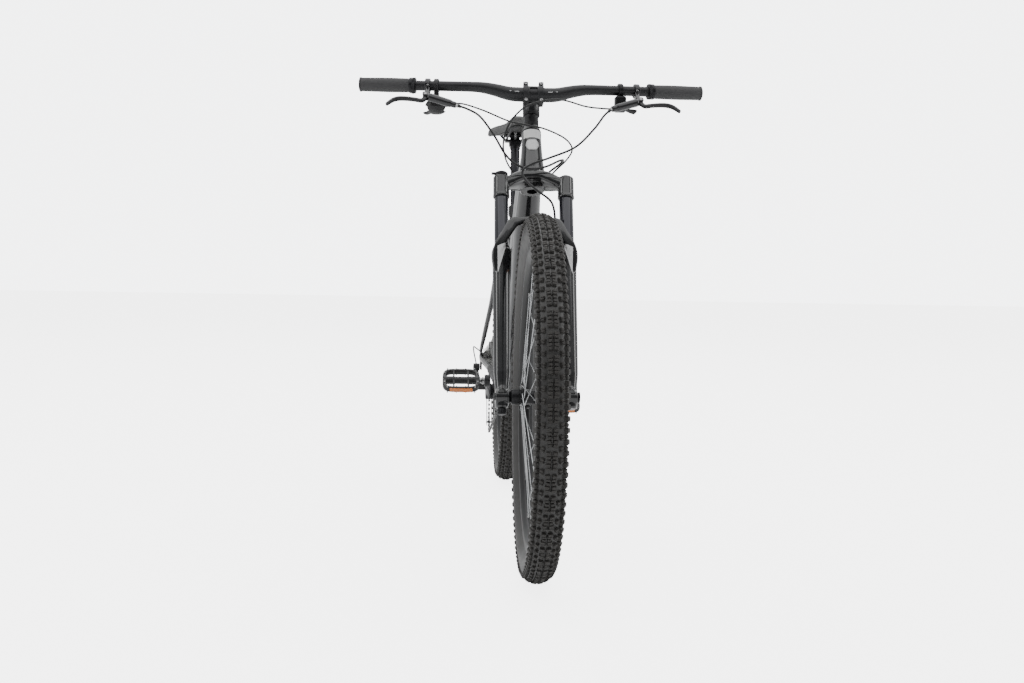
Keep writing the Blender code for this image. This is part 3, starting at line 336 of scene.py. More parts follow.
def sprocket(
    centre: Vector, teeth: int, thickness: float, inner: float, tip: float = 0.0030, depth: float = 0.0036
) -> bmesh.types.BMesh:
    """A toothed ring across the X axis.

    Args:
        centre: The middle of the ring.
        teeth: How many teeth it has.
        thickness: How thick it is along X.
        inner: The radius of its hole.
        tip: How far the teeth stand outside the chain's pins.
        depth: How far the roots lie inside them.

    Returns:
        The closed shape.
    """
    pitch = pitch_radius(teeth)
    shares = (
        (0.0, -depth), (0.16, -depth), (0.30, -0.2 * depth), (0.43, tip), (0.57, tip), (0.70, -0.2 * depth),
        (0.84, -depth)
    )
    outer = [
        (
            2 * math.pi * (tooth + share) / teeth, pitch + rise
        ) for tooth in range(teeth) for share, rise in shares
    ]
    rings = [
        [centre + X * x + radial(turn) * (radius - ease) for turn, radius in outer]
        for x, ease in (
            (-thickness / 2, 0.0005), (-thickness * 0.25, 0), (thickness * 0.25, 0), (thickness / 2, 0.0005)
        )
    ]
    for x in (thickness / 2, -thickness / 2):
        rings.append([centre + X * x + radial(turn) * inner for turn, _ in outer])
    return loft(rings, closed=True)


def belt(circles: Sequence[tuple[Vector, float, int]], spacing: float) -> list[Vector]:
    """Places along a belt round circles in the plane of Y and Z.

    Args:
        circles: (centre, radius, sense) for each, in the order that the belt reaches them. Sense is +1 where
            the belt turns from +Y to +Z.
        spacing: The angle between places on an arc.

    Returns:
        The places, in order, of the closed loop.
    """
    touches = []
    for i, (centre, radius, sense) in enumerate(circles):
        other, other_radius, other_sense = circles[(i + 1) % len(circles)]
        across = other - centre
        lean = math.asin((other_sense * other_radius - sense * radius) / math.hypot(across.y, across.z))
        touches.append(math.atan2(across.z, across.y) - lean)
    places = []
    for i, (centre, radius, sense) in enumerate(circles):
        start = touches[i - 1] - sense * math.pi / 2
        end = touches[i] - sense * math.pi / 2
        while sense * (end - start) < 0:
            end += sense * 2 * math.pi
        count = max(2, math.ceil(abs(end - start) / spacing))
        places += [centre + radial(start + (end - start) * j / count) * radius for j in range(count + 1)]
    return places


def even_places(route: Sequence[Vector], count: int) -> list[Vector]:
    """Equally spaced places round a closed route."""
    ends = [*route, route[0]]
    reach = [0.0]
    for before, after in zip(ends, ends[1:]):
        reach.append(reach[-1] + (after - before).length)
    places = []
    index = 0
    for i in range(count):
        wanted = reach[-1] * i / count
        while reach[index + 1] < wanted:
            index += 1
        share = (wanted - reach[index]) / (reach[index + 1] - reach[index])
        places.append(ends[index].lerp(ends[index + 1], share))
    return places


# Shader groups that several finishes share


class Tree:
    """A short way to add and join nodes in one node tree."""

    def __init__(self, tree: bpy.types.NodeTree) -> None:
        """Keeps the tree."""
        self.tree = tree

    def add(self, kind: str, settings: dict | None = None, **values: object) -> bpy.types.Node:
        """A new node.

        Args:
            kind: The node's type, such as ShaderNodeMix.
            settings: Properties of the node itself.
            values: What goes into its inputs, by name with underscores for spaces. A socket is linked.

        Returns:
            The node.
        """
        node = self.tree.nodes.new(kind)
        for key, value in (settings or {}).items():
            setattr(node, key, value)
        for key, value in values.items():
            self.feed(node.inputs[key.replace("_", " ")], value)
        return node

    def feed(self, socket: bpy.types.NodeSocket, value: object) -> None:
        """Links a socket to another one, or sets its value."""
        if isinstance(value, bpy.types.NodeSocket):
            self.tree.links.new(value, socket)
        else:
            socket.default_value = value

    def math(self, operation: str, first: object, second: object = 0.0) -> bpy.types.NodeSocket:
        """The result of a Math node."""
        node = self.tree.nodes.new("ShaderNodeMath")
        node.operation = operation
        self.feed(node.inputs[0], first)
        self.feed(node.inputs[1], second)
        return node.outputs[0]

    def remap(
        self, value: object, low: object, high: object, to_low: object = 0.0, to_high: object = 1.0
    ) -> bpy.types.NodeSocket:
        """A value taken from one range to another, and clamped there."""
        node = self.add("ShaderNodeMapRange", {"clamp": True})
        for name, given in (
            ("Value", value), ("From Min", low), ("From Max", high), ("To Min", to_low), ("To Max", to_high)
        ):
            self.feed(node.inputs[name], given)
        return node.outputs["Result"]

    def mix(self, share: object, first: object, second: object) -> bpy.types.NodeSocket:
        """One colour turning into another by a share."""
        node = self.tree.nodes.new("ShaderNodeMix")
        node.data_type = "RGBA"
        self.feed(node.inputs[0], share)
        self.feed(node.inputs[6], first)
        self.feed(node.inputs[7], second)
        return node.outputs[2]


class Effect(Enum):
    """The surface effects that finishes share, each a shader group."""

    GRAIN = "surface_grain"
    WEAR = "edge_wear"
    DUST = "settled_dust"
    BRUSHED = "brushed_streaks"
    HIDE = "pressed_hide"


class EffectShelf:
    """Builds each shader group once and hands it out."""

    def __init__(self) -> None:
        """Starts with nothing built."""
        self.built: dict[Effect, bpy.types.NodeTree] = {}

    def get(self, effect: Effect) -> bpy.types.NodeTree:
        """The group for an effect, built on first use."""
        if effect not in self.built:
            makers = {
                Effect.GRAIN: self.grain,
                Effect.WEAR: self.wear,
                Effect.DUST: self.dust,
                Effect.BRUSHED: self.brushed,
                Effect.HIDE: self.hide,
            }
            self.built[effect] = makers[effect]()
        return self.built[effect]

    @staticmethod
    def blank(effect: Effect, inputs: Sequence[tuple[str, float]], outputs: Sequence[str]) -> tuple:
        """A new group with float sockets.

        Args:
            effect: Which effect it is for.
            inputs: (name, value) of each input.
            outputs: The names of the outputs.

        Returns:
            The group's tree, its input node and its output node.
        """
        group = bpy.data.node_groups.new(effect.value, "ShaderNodeTree")
        for name, value in inputs:
            socket = group.interface.new_socket(name=name, in_out="INPUT", socket_type="NodeSocketFloat")
            socket.default_value = value
        for name in outputs:
            group.interface.new_socket(name=name, in_out="OUTPUT", socket_type="NodeSocketFloat")
        tree = Tree(group)
        return tree, tree.add("NodeGroupInput"), tree.add("NodeGroupOutput")

    def grain(self) -> bpy.types.NodeTree:
        """Broad cloudy tone with a fine moulded grain over it."""
        tree, given, made = self.blank(
            Effect.GRAIN, [("Scale", 900.0), ("Cloud Scale", 14.0)], ["Tone", "Height"]
        )
        place = tree.add("ShaderNodeTexCoord").outputs["Object"]
        cloud = tree.add(
            "ShaderNodeTexNoise", Vector=place, Scale=given.outputs["Cloud Scale"], Detail=4.0, Roughness=0.6
        )
        fine = tree.add(
            "ShaderNodeTexNoise", Vector=place, Scale=given.outputs["Scale"], Detail=2.0, Roughness=0.55
        )
        tone = tree.math(
            "ADD", tree.math("MULTIPLY", cloud.outputs["Fac"], 0.7),
            tree.math("MULTIPLY", fine.outputs["Fac"], 0.3)
        )
        tree.feed(made.inputs["Tone"], tree.remap(tone, 0.3, 0.7))
        tree.feed(made.inputs["Height"], fine.outputs["Fac"])
        return tree.tree

    def wear(self) -> bpy.types.NodeTree:
        """A broken mask along outward edges."""
        tree, given, made = self.blank(
            Effect.WEAR, [("Start", 0.55), ("Softness", 0.08), ("Breakup Scale", 160.0)], ["Mask"]
        )
        place = tree.add("ShaderNodeTexCoord").outputs["Object"]
        edge = tree.add("ShaderNodeNewGeometry").outputs["Pointiness"]
        breakup = tree.add(
            "ShaderNodeTexNoise", Vector=place, Scale=given.outputs["Breakup Scale"], Detail=5.0,
            Roughness=0.7
        )
        stop = tree.math("ADD", given.outputs["Start"], given.outputs["Softness"])
        mask = tree.remap(edge, given.outputs["Start"], stop)
        tree.feed(
            made.inputs["Mask"], tree.math("MULTIPLY", mask, tree.remap(breakup.outputs["Fac"], 0.42, 0.62))
        )
        return tree.tree

    def dust(self) -> bpy.types.NodeTree:
        """A patchy mask that is strongest on faces that look up."""
        tree, given, made = self.blank(Effect.DUST, [("Scale", 45.0), ("Reach", 0.2)], ["Mask"])
        coordinates = tree.add("ShaderNodeTexCoord")
        up = tree.add("ShaderNodeSeparateXYZ", Vector=coordinates.outputs["Normal"]).outputs["Z"]
        patch = tree.add(
            "ShaderNodeTexNoise", Vector=coordinates.outputs["Object"], Scale=given.outputs["Scale"],
            Detail=6.0, Roughness=0.75
        )
        facing = tree.remap(up, given.outputs["Reach"], 1.0, 0.25, 1.0)
        tree.feed(
            made.inputs["Mask"], tree.math("MULTIPLY", facing, tree.remap(patch.outputs["Fac"], 0.45, 0.75))
        )
        return tree.tree

    def brushed(self) -> bpy.types.NodeTree:
        """Fine streaks that run along X."""
        tree, given, made = self.blank(
            Effect.BRUSHED, [("Scale", 500.0), ("Stretch", 0.04)], ["Tone", "Height"]
        )
        place = tree.add("ShaderNodeTexCoord").outputs["Object"]
        parts = tree.add("ShaderNodeSeparateXYZ", Vector=place)
        squeezed = tree.add(
            "ShaderNodeCombineXYZ", X=tree.math("MULTIPLY", parts.outputs["X"], given.outputs["Stretch"]),
            Y=parts.outputs["Y"], Z=parts.outputs["Z"]
        )
        streak = tree.add(
            "ShaderNodeTexNoise", Vector=squeezed.outputs[0], Scale=given.outputs["Scale"], Detail=3.0,
            Roughness=0.6
        )
        tree.feed(made.inputs["Tone"], tree.remap(streak.outputs["Fac"], 0.3, 0.7))
        tree.feed(made.inputs["Height"], streak.outputs["Fac"])
        return tree.tree

    def hide(self) -> bpy.types.NodeTree:
        """Small pressed cells like those of a synthetic leather."""
        tree, given, made = self.blank(
            Effect.HIDE, [("Scale", 900.0), ("Cloud Scale", 20.0)], ["Tone", "Height"]
        )
        place = tree.add("ShaderNodeTexCoord").outputs["Object"]
        bend = tree.add("ShaderNodeTexNoise", Vector=place, Scale=260.0, Detail=2.0)
        shift = tree.add(
            "ShaderNodeVectorMath", {"operation": "SCALE"}, Vector=bend.outputs["Color"], Scale=0.0016
        )
        moved = tree.add("ShaderNodeVectorMath", {"operation": "ADD"})
        tree.feed(moved.inputs[0], place)
        tree.feed(moved.inputs[1], shift.outputs[0])
        cells = tree.add(
            "ShaderNodeTexVoronoi", {"feature": "DISTANCE_TO_EDGE"}, Vector=moved.outputs[0],
            Scale=given.outputs["Scale"]
        )
        cloud = tree.add("ShaderNodeTexNoise", Vector=place, Scale=given.outputs["Cloud Scale"], Detail=5.0)
        height = tree.remap(cells.outputs["Distance"], 0.0, 0.12)
        tree.feed(made.inputs["Height"], height)
        tone = tree.math(
            "ADD", tree.math("MULTIPLY", height, 0.35), tree.math("MULTIPLY", cloud.outputs["Fac"], 0.65)
        )
        tree.feed(made.inputs["Tone"], tree.remap(tone, 0.25, 0.85))
        return tree.tree


SHELF = EffectShelf()


@dataclass(frozen=True)
class Finish:
    """What one surface is made of, and how the years show on it."""

    name: str
    colour: Colour
    roughness: float
    metallic: float = 0.0
    coat: float = 0.0
    coat_roughness: float = 0.03
    sheen: float = 0.0
    effect: Effect = Effect.GRAIN
    scale: float = 900.0
    cloud: float = 14.0
    spread: float = 0.20
    roughness_spread: float = 0.08
    bump: float = 0.0
    wear: float = 0.0
    wear_colour: Colour = (0.30, 0.30, 0.30)
    dust: float = 0.0
    dust_colour: Colour = (0.30, 0.28, 0.25)

    def build(self) -> bpy.types.Material:
        """The material, made on first use and shared after that."""
        found = bpy.data.materials.get(self.name)
        if found:
            return found
        material = bpy.data.materials.new(self.name)
        material.use_nodes = True
        tree = Tree(material.node_tree)
        shader = material.node_tree.nodes["Principled BSDF"]
        effect = self.place(tree, self.effect, {"Scale": self.scale} | self.cloud_setting())
        tone = effect.outputs["Tone"]
        dark = (*(c * (1 - self.spread) for c in self.colour), 1.0)
        light = (*(min(1.0, c * (1 + self.spread)) for c in self.colour), 1.0)
        colour = tree.mix(tone, dark, light)
        low = max(0.02, self.roughness - self.roughness_spread)
        roughness = tree.remap(tone, 0.0, 1.0, low, min(1.0, self.roughness + self.roughness_spread))
        if self.wear:
            mask = self.place(tree, Effect.WEAR, {}).outputs["Mask"]
            mask = tree.math("MULTIPLY", mask, self.wear)
            colour = tree.mix(mask, colour, (*self.wear_colour, 1.0))
            roughness = tree.math("ADD", roughness, tree.math("MULTIPLY", mask, 0.12))
        if self.dust:
            mask = tree.math("MULTIPLY", self.place(tree, Effect.DUST, {}).outputs["Mask"], self.dust)
            colour = tree.mix(mask, colour, (*self.dust_colour, 1.0))
            roughness = tree.math("ADD", roughness, tree.math("MULTIPLY", mask, 0.45))
        tree.feed(shader.inputs["Base Color"], colour)
        tree.feed(shader.inputs["Roughness"], roughness)
        shader.inputs["Metallic"].default_value = self.metallic
        shader.inputs["Coat Weight"].default_value = self.coat
        shader.inputs["Coat Roughness"].default_value = self.coat_roughness
        shader.inputs["Sheen Weight"].default_value = self.sheen
        shader.inputs["Sheen Roughness"].default_value = 0.5
        if self.bump:
            bump = tree.add(
                "ShaderNodeBump", Strength=1.0, Distance=self.bump, Height=effect.outputs["Height"]
            )
            tree.feed(shader.inputs["Normal"], bump.outputs["Normal"])
        return material

    def cloud_setting(self) -> dict[str, float]:
        """The broad tone's scale, for the effects that have one."""
        return {} if self.effect is Effect.BRUSHED else {"Cloud Scale": self.cloud}

    @staticmethod
    def place(tree: Tree, effect: Effect, values: dict[str, float]) -> bpy.types.Node:
        """Puts a shader group in a material with its own values."""
        node = tree.add("ShaderNodeGroup", {"node_tree": SHELF.get(effect)})
        for name, value in values.items():
            node.inputs[name].default_value = value
        return node


FRAME_PAINT = Finish(
    "gloss_black_frame", (0.0075, 0.0078, 0.0090), 0.16, coat=1.0, scale=2600.0, cloud=9.0, bump=0.000004,
    dust=0.05
)
FORK_PAINT = Finish(
    "gloss_black_fork", (0.0065, 0.0068, 0.0078), 0.20, coat=0.9, scale=2600.0, cloud=11.0, bump=0.000004,
    dust=0.05
)
SATIN = Finish(
    "satin_black_alloy", (0.022, 0.022, 0.024), 0.38, metallic=0.25, scale=2200.0, cloud=30.0, bump=0.000012,
    wear=0.35
)
ANODISED = Finish(
    "black_anodised", (0.018, 0.018, 0.020), 0.30, metallic=0.5, scale=2400.0, cloud=24.0, bump=0.000008,
    wear=0.5
)
STANCHION = Finish(
    "black_stanchion", (0.012, 0.012, 0.020), 0.13, metallic=0.35, coat=0.6, effect=Effect.BRUSHED,
    scale=900.0, spread=0.08, roughness_spread=0.03
)
POST = Finish(
    "polished_black_post", (0.030, 0.030, 0.034), 0.16, metallic=0.85, effect=Effect.BRUSHED, scale=900.0,
    spread=0.08, roughness_spread=0.03
)
SPOKE = Finish("stainless_spoke", (0.52, 0.53, 0.54), 0.22, metallic=1.0, scale=1800.0, spread=0.10)
STEEL = Finish(
    "bright_steel", (0.46, 0.46, 0.45), 0.28, metallic=1.0, effect=Effect.BRUSHED, scale=1100.0, spread=0.16,
    bump=0.000008
)
DARK_STEEL = Finish(
    "dark_chain_steel", (0.20, 0.20, 0.20), 0.32, metallic=1.0, scale=1400.0, spread=0.25, dust=0.15
)
BOLT = Finish("steel_bolt", (0.36, 0.36, 0.36), 0.25, metallic=1.0, scale=1500.0, spread=0.12)
RUBBER = Finish(
    "tyre_rubber", (0.030, 0.028, 0.026), 0.66, sheen=0.05, scale=1500.0, cloud=16.0, spread=0.28,
    bump=0.00008, dust=0.22, dust_colour=(0.15, 0.13, 0.11)
)
SIDEWALL = Finish(
    "tyre_sidewall", (0.036, 0.035, 0.034), 0.40, scale=1900.0, cloud=20.0, spread=0.22, bump=0.00003,
    dust=0.10
)
RIM = Finish("black_rim", (0.017, 0.017, 0.018), 0.34, metallic=0.3, scale=1700.0, bump=0.000010, wear=0.3)
GRIP = Finish(
    "grip_rubber", (0.050, 0.050, 0.052), 0.68, sheen=0.10, scale=1600.0, spread=0.20, bump=0.00006, dust=0.12
)
PLASTIC = Finish(
    "moulded_black_plastic", (0.020, 0.020, 0.021), 0.44, scale=1500.0, spread=0.22, bump=0.00003, wear=0.2
)
HOSE = Finish("hose_sheath", (0.014, 0.014, 0.015), 0.34, scale=1500.0, spread=0.16, bump=0.00001)
COVER = Finish(
    "saddle_cover", (0.095, 0.095, 0.098), 0.52, sheen=0.20, effect=Effect.HIDE, scale=1150.0, cloud=18.0,
    spread=0.16, bump=0.00010, dust=0.10
)
THREAD = Finish("grey_thread", (0.16, 0.16, 0.165), 0.70, scale=2500.0, spread=0.3, bump=0.00005)
LABEL = Finish("blank_label", (0.80, 0.80, 0.79), 0.30, coat=0.6, scale=1200.0, spread=0.03)
BADGE = Finish(
    "badge_metal", (0.50, 0.50, 0.50), 0.30, metallic=0.8, effect=Effect.BRUSHED, scale=900.0, spread=0.12
)
REFLECTOR = Finish(
    "amber_reflector", (0.80, 0.22, 0.03), 0.18, coat=1.0, scale=700.0, spread=0.25, bump=0.00015
)
ORANGE = Finish("orange_sticker", (0.75, 0.22, 0.04), 0.35, coat=0.5, scale=900.0, spread=0.06)
MARKING = Finish("pale_marking", (0.62, 0.62, 0.62), 0.40, scale=1500.0, spread=0.10)
FLOOR = Finish("pale_floor", (0.90, 0.90, 0.90), 0.70, scale=60.0, cloud=2.0, spread=0.01)
# Painted reflection: a white colour for the wedges on the fork legs, which stand in for bright light reflected
# in the gloss paint.
PAINTED_REFLECTION = Finish("white_fork_flash", (0.80, 0.80, 0.80), 0.25, coat=0.8, scale=1200.0, spread=0.02)
MASTER = Finish(
    "polished_black_cylinder", (0.030, 0.030, 0.032), 0.16, metallic=0.7, coat=0.6, scale=2400.0, cloud=24.0,
    spread=0.10
)


def cut_away(blank: bpy.types.Object, cuts: Sequence[bmesh.types.BMesh]) -> bpy.types.Mesh:
    """Cuts shapes out of an object with crisp edges, and clears the object away.

    Args:
        blank: The object, with any modifiers that come before the cuts. It is used up.
        cuts: What is cut away. They are used up.

    Returns:
        The finished mesh.
    """
    helpers = [blank]
    for cut in cuts:
        cutter_mesh = bpy.data.meshes.new("cutter")
        cut.to_mesh(cutter_mesh)
        cut.free()
        cutter = bpy.data.objects.new("cutter", cutter_mesh)
        bpy.context.scene.collection.objects.link(cutter)
        helpers.append(cutter)
        slit = blank.modifiers.new("slit", "BOOLEAN")
        slit.operation = "DIFFERENCE"
        slit.object = cutter
        slit.solver = "EXACT"
    made = bpy.data.meshes.new_from_object(blank.evaluated_get(bpy.context.evaluated_depsgraph_get()))
    for helper in helpers:
        bpy.data.objects.remove(helper)
    return made


class Bench:
    """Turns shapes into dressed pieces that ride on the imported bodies."""

    def __init__(self) -> None:
        """Starts with an empty list of pieces."""
        self.made: list[bpy.types.Object] = []

    def piece(
        self,
        name: str,
        shape: bmesh.types.BMesh | bpy.types.Mesh,
        finish: Finish,
        body: str,
        stands_for: Sequence[str] = (),
        sharp: float = 32.0,
        bevel: float = 0.0,
    ) -> bpy.types.Object:
        """Makes a piece from a shape.

        Args:
            name: The piece's name.
            shape: Its shape, which is used up, or its finished mesh.
            finish: What it is made of.
            body: The body that carries it.
            stands_for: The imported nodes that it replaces.
            sharp: The angle in degrees from which an edge looks sharp.
            bevel: The width of the rounding on its sharp edges.

        Returns:
            The object.
        """
        if isinstance(shape, bmesh.types.BMesh):
            mesh = bpy.data.meshes.new(name)
            shape.to_mesh(mesh)
            shape.free()
        else:
            mesh = shape
            mesh.name = name
        mesh.materials.clear()
        mesh.materials.append(finish.build())
        mesh.shade_smooth()
        mesh.set_sharp_from_angle(angle=math.radians(sharp))
        made = bpy.data.objects.new(name, mesh)
        bpy.context.scene.collection.objects.link(made)
        if bevel:
            rounding = made.modifiers.new("rounding", "BEVEL")
            rounding.width = bevel
            rounding.segments = 2
            rounding.limit_method = "ANGLE"
            rounding.angle_limit = math.radians(sharp)
            rounding.harden_normals = True
        if body:
            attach(made, body)
        if stands_for:
            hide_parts(*stands_for)
        self.made.append(made)
        LOG.info("%s: %d faces on %s", name, len(mesh.polygons), body or "two bodies")
        return made

    @staticmethod
    def cast(
        shapes: Iterable[bmesh.types.BMesh],
        cuts: Sequence[bmesh.types.BMesh] = (),
        voxel: float = 0.0015,
        passes: int = 8,
    ) -> bpy.types.Mesh:
        """Melts overlapping shapes into one skin with soft joins, as a casting or a filed weld has.

        Args:
            shapes: What is joined. They are used up.
            cuts: What is cut away after that, with crisp edges. They are used up.
            voxel: The size of the grid that the skin is made on.
            passes: How many times the skin is smoothed.

        Returns:
            The finished mesh.
        """
        mesh = bpy.data.meshes.new("cast")
        whole = merged(shapes)
        whole.to_mesh(mesh)
        whole.free()
        rough = bpy.data.objects.new("cast", mesh)
        bpy.context.scene.collection.objects.link(rough)
        melt = rough.modifiers.new("melt", "REMESH")
        melt.mode = "VOXEL"
        melt.voxel_size = voxel
        soften = rough.modifiers.new("soften", "SMOOTH")
        soften.factor = 0.5
        soften.iterations = passes
        return cut_away(rough, cuts)


# Wheels


@dataclass
class Tyre:
    """A knobbly tyre: a casing with smooth sidewalls, and its rows of tread blocks."""

    axle: Vector
    prefix: str
    body: str
    middle: float = 0.3423
    half_width: float = 0.0284
    rise: float = 0.0245
    repeats: int = 110

    def casing_at(self, lean: float, above: float = 0.0) -> tuple[float, float]:
        """(radius, side) of the casing at an angle from straight out, and a height above it."""
        out = Vector((self.rise * math.cos(lean), self.half_width * math.sin(lean)))
        normal = Vector((math.cos(lean), math.sin(lean)))
        return self.middle + out.x + normal.x * above, out.y + normal.y * above

    def casing(self) -> bmesh.types.BMesh:
        """The carcass from bead to bead, with a raised rim line and two thin moulded lines on each side."""
        outer = []
        for i in range(57):
            lean = math.radians(-122 + 244 * i / 56)
            line = 0.0004 if min(i, 56 - i) in (4, 6, 9, 12) else 0.0
            outer.append(self.casing_at(lean, line))
        bead = [(0.3205, -0.0186), (0.3185, -0.0166), (0.3165, -0.0150)]
        start = [(radius, side) for radius, side in bead]
        end = [(radius, -side) for radius, side in reversed(bead)]
        inner = [(self.middle + (r - self.middle) * 0.9, x * 0.9) for r, x in reversed(outer[4:-4:3])]
        outline = start[::-1] + outer + end[::-1] + inner
        return turned(outline, self.axle, X, 192, hollow=True)

    @staticmethod
    def tread_block(
        length: float, width: float, height: float, ramp: float, slits: int = 0
    ) -> bmesh.types.BMesh:
        """One block of tread, its root below the origin.

        Args:
            length: Its length round the wheel.
            width: Its width across.
            height: How far it stands up.
            ramp: How much its leading face leans.
            slits: How many thin cuts divide its top.

        Returns:
            The closed shape.
        """
        parts = []
        share = length / (slits + 1)
        for i in range(slits + 1):
            low = -length / 2 + share * i + (0.0004 if i else 0.0)
            high = -length / 2 + share * (i + 1) - (0.0004 if i < slits else 0.0)
            lead = ramp if i == slits else 0.0
            rings = []
            for level, grow in (
                (-0.0022, 0.0010), (height * 0.2, 0.0003), (height * 0.86, 0.0), (height, -0.0006)
            ):
                front = high + grow - lead * max(0.0, level) / height
                back = low - grow
                side = width / 2 + grow
                corner = min(side, front - back) * 0.22
                rings.append(
                    [
                        Vector((x, y, level))
                        for x, y in (
                            (side, back + corner),
                            (side, front - corner),
                            (side - corner, front),
                            (corner - side, front),
                            (-side, front - corner),
                            (-side, back + corner),
                            (corner - side, back),
                            (side - corner, back),
                        )
                    ]
                )
            parts.append(loft(rings))
        parts.append(loft([[
            Vector((x * width / 2, y * length / 2, z)) for x, y in ((1, 1), (-1, 1), (-1, -1), (1, -1))
        ] for z in (-0.002, height * 0.45)]))
        return merged(parts)

    def place(self, turn: float, lean: float, twist: float = 0.0) -> Matrix:
        """Where a block stands: its turn round the wheel, its lean to the side and its twist on the spot."""
        radius, side = self.casing_at(lean)
        out_flat = radial(turn)
        tangent = X.cross(out_flat)
        out = (out_flat * math.cos(lean) + X * math.sin(lean)).normalized()
        across = tangent.cross(out)
        spun_across = across * math.cos(twist) + tangent * math.sin(twist)
        spun_along = tangent * math.cos(twist) - across * math.sin(twist)
        return placement(self.axle + out_flat * radius + X * side, spun_across, spun_along, out)

    def tread(self) -> bmesh.types.BMesh:
        """The middle pairs, the rows beside them and the square side knobs."""
        step = 2 * math.pi / self.repeats
        turns = [step * i for i in range(self.repeats)]

        def row(lean: float, twist: float, shift: float, every: int = 1) -> list[Matrix]:
            """Where one row's blocks stand on both sides, in degrees and in shares of a step."""
            return [
                self.place(turn + step * shift, math.radians(lean * s), math.radians(twist * s))
                for turn in turns[::every]
                for s in (-1, 1)
            ]

        return merged(
            [
                repeated(self.tread_block(0.0125, 0.0080, 0.0054, 0.0016, 1), row(10.5, -6, 0.0)),
                repeated(self.tread_block(0.0060, 0.0062, 0.0050, 0.0008), row(9.0, 0, 0.5, 2)),
                repeated(self.tread_block(0.0092, 0.0066, 0.0052, 0.0012, 1), row(33, 12, 0.5)),
                repeated(self.tread_block(0.0098, 0.0098, 0.0054, 0.0006), row(61, 3, 0.0)),
                repeated(self.tread_block(0.0064, 0.0070, 0.0050, 0.0006), row(55, -4, 0.5)),
            ]
        )

    def build(self, bench: Bench) -> None:
        """Makes the casing and the tread."""
        bench.piece(
            f"{self.prefix}_tyre_casing", self.casing(), SIDEWALL, self.body, [f"{self.prefix}_tyre"],
            50
        )
        bench.piece(f"{self.prefix}_tyre_tread", self.tread(), RUBBER, self.body, sharp=28)


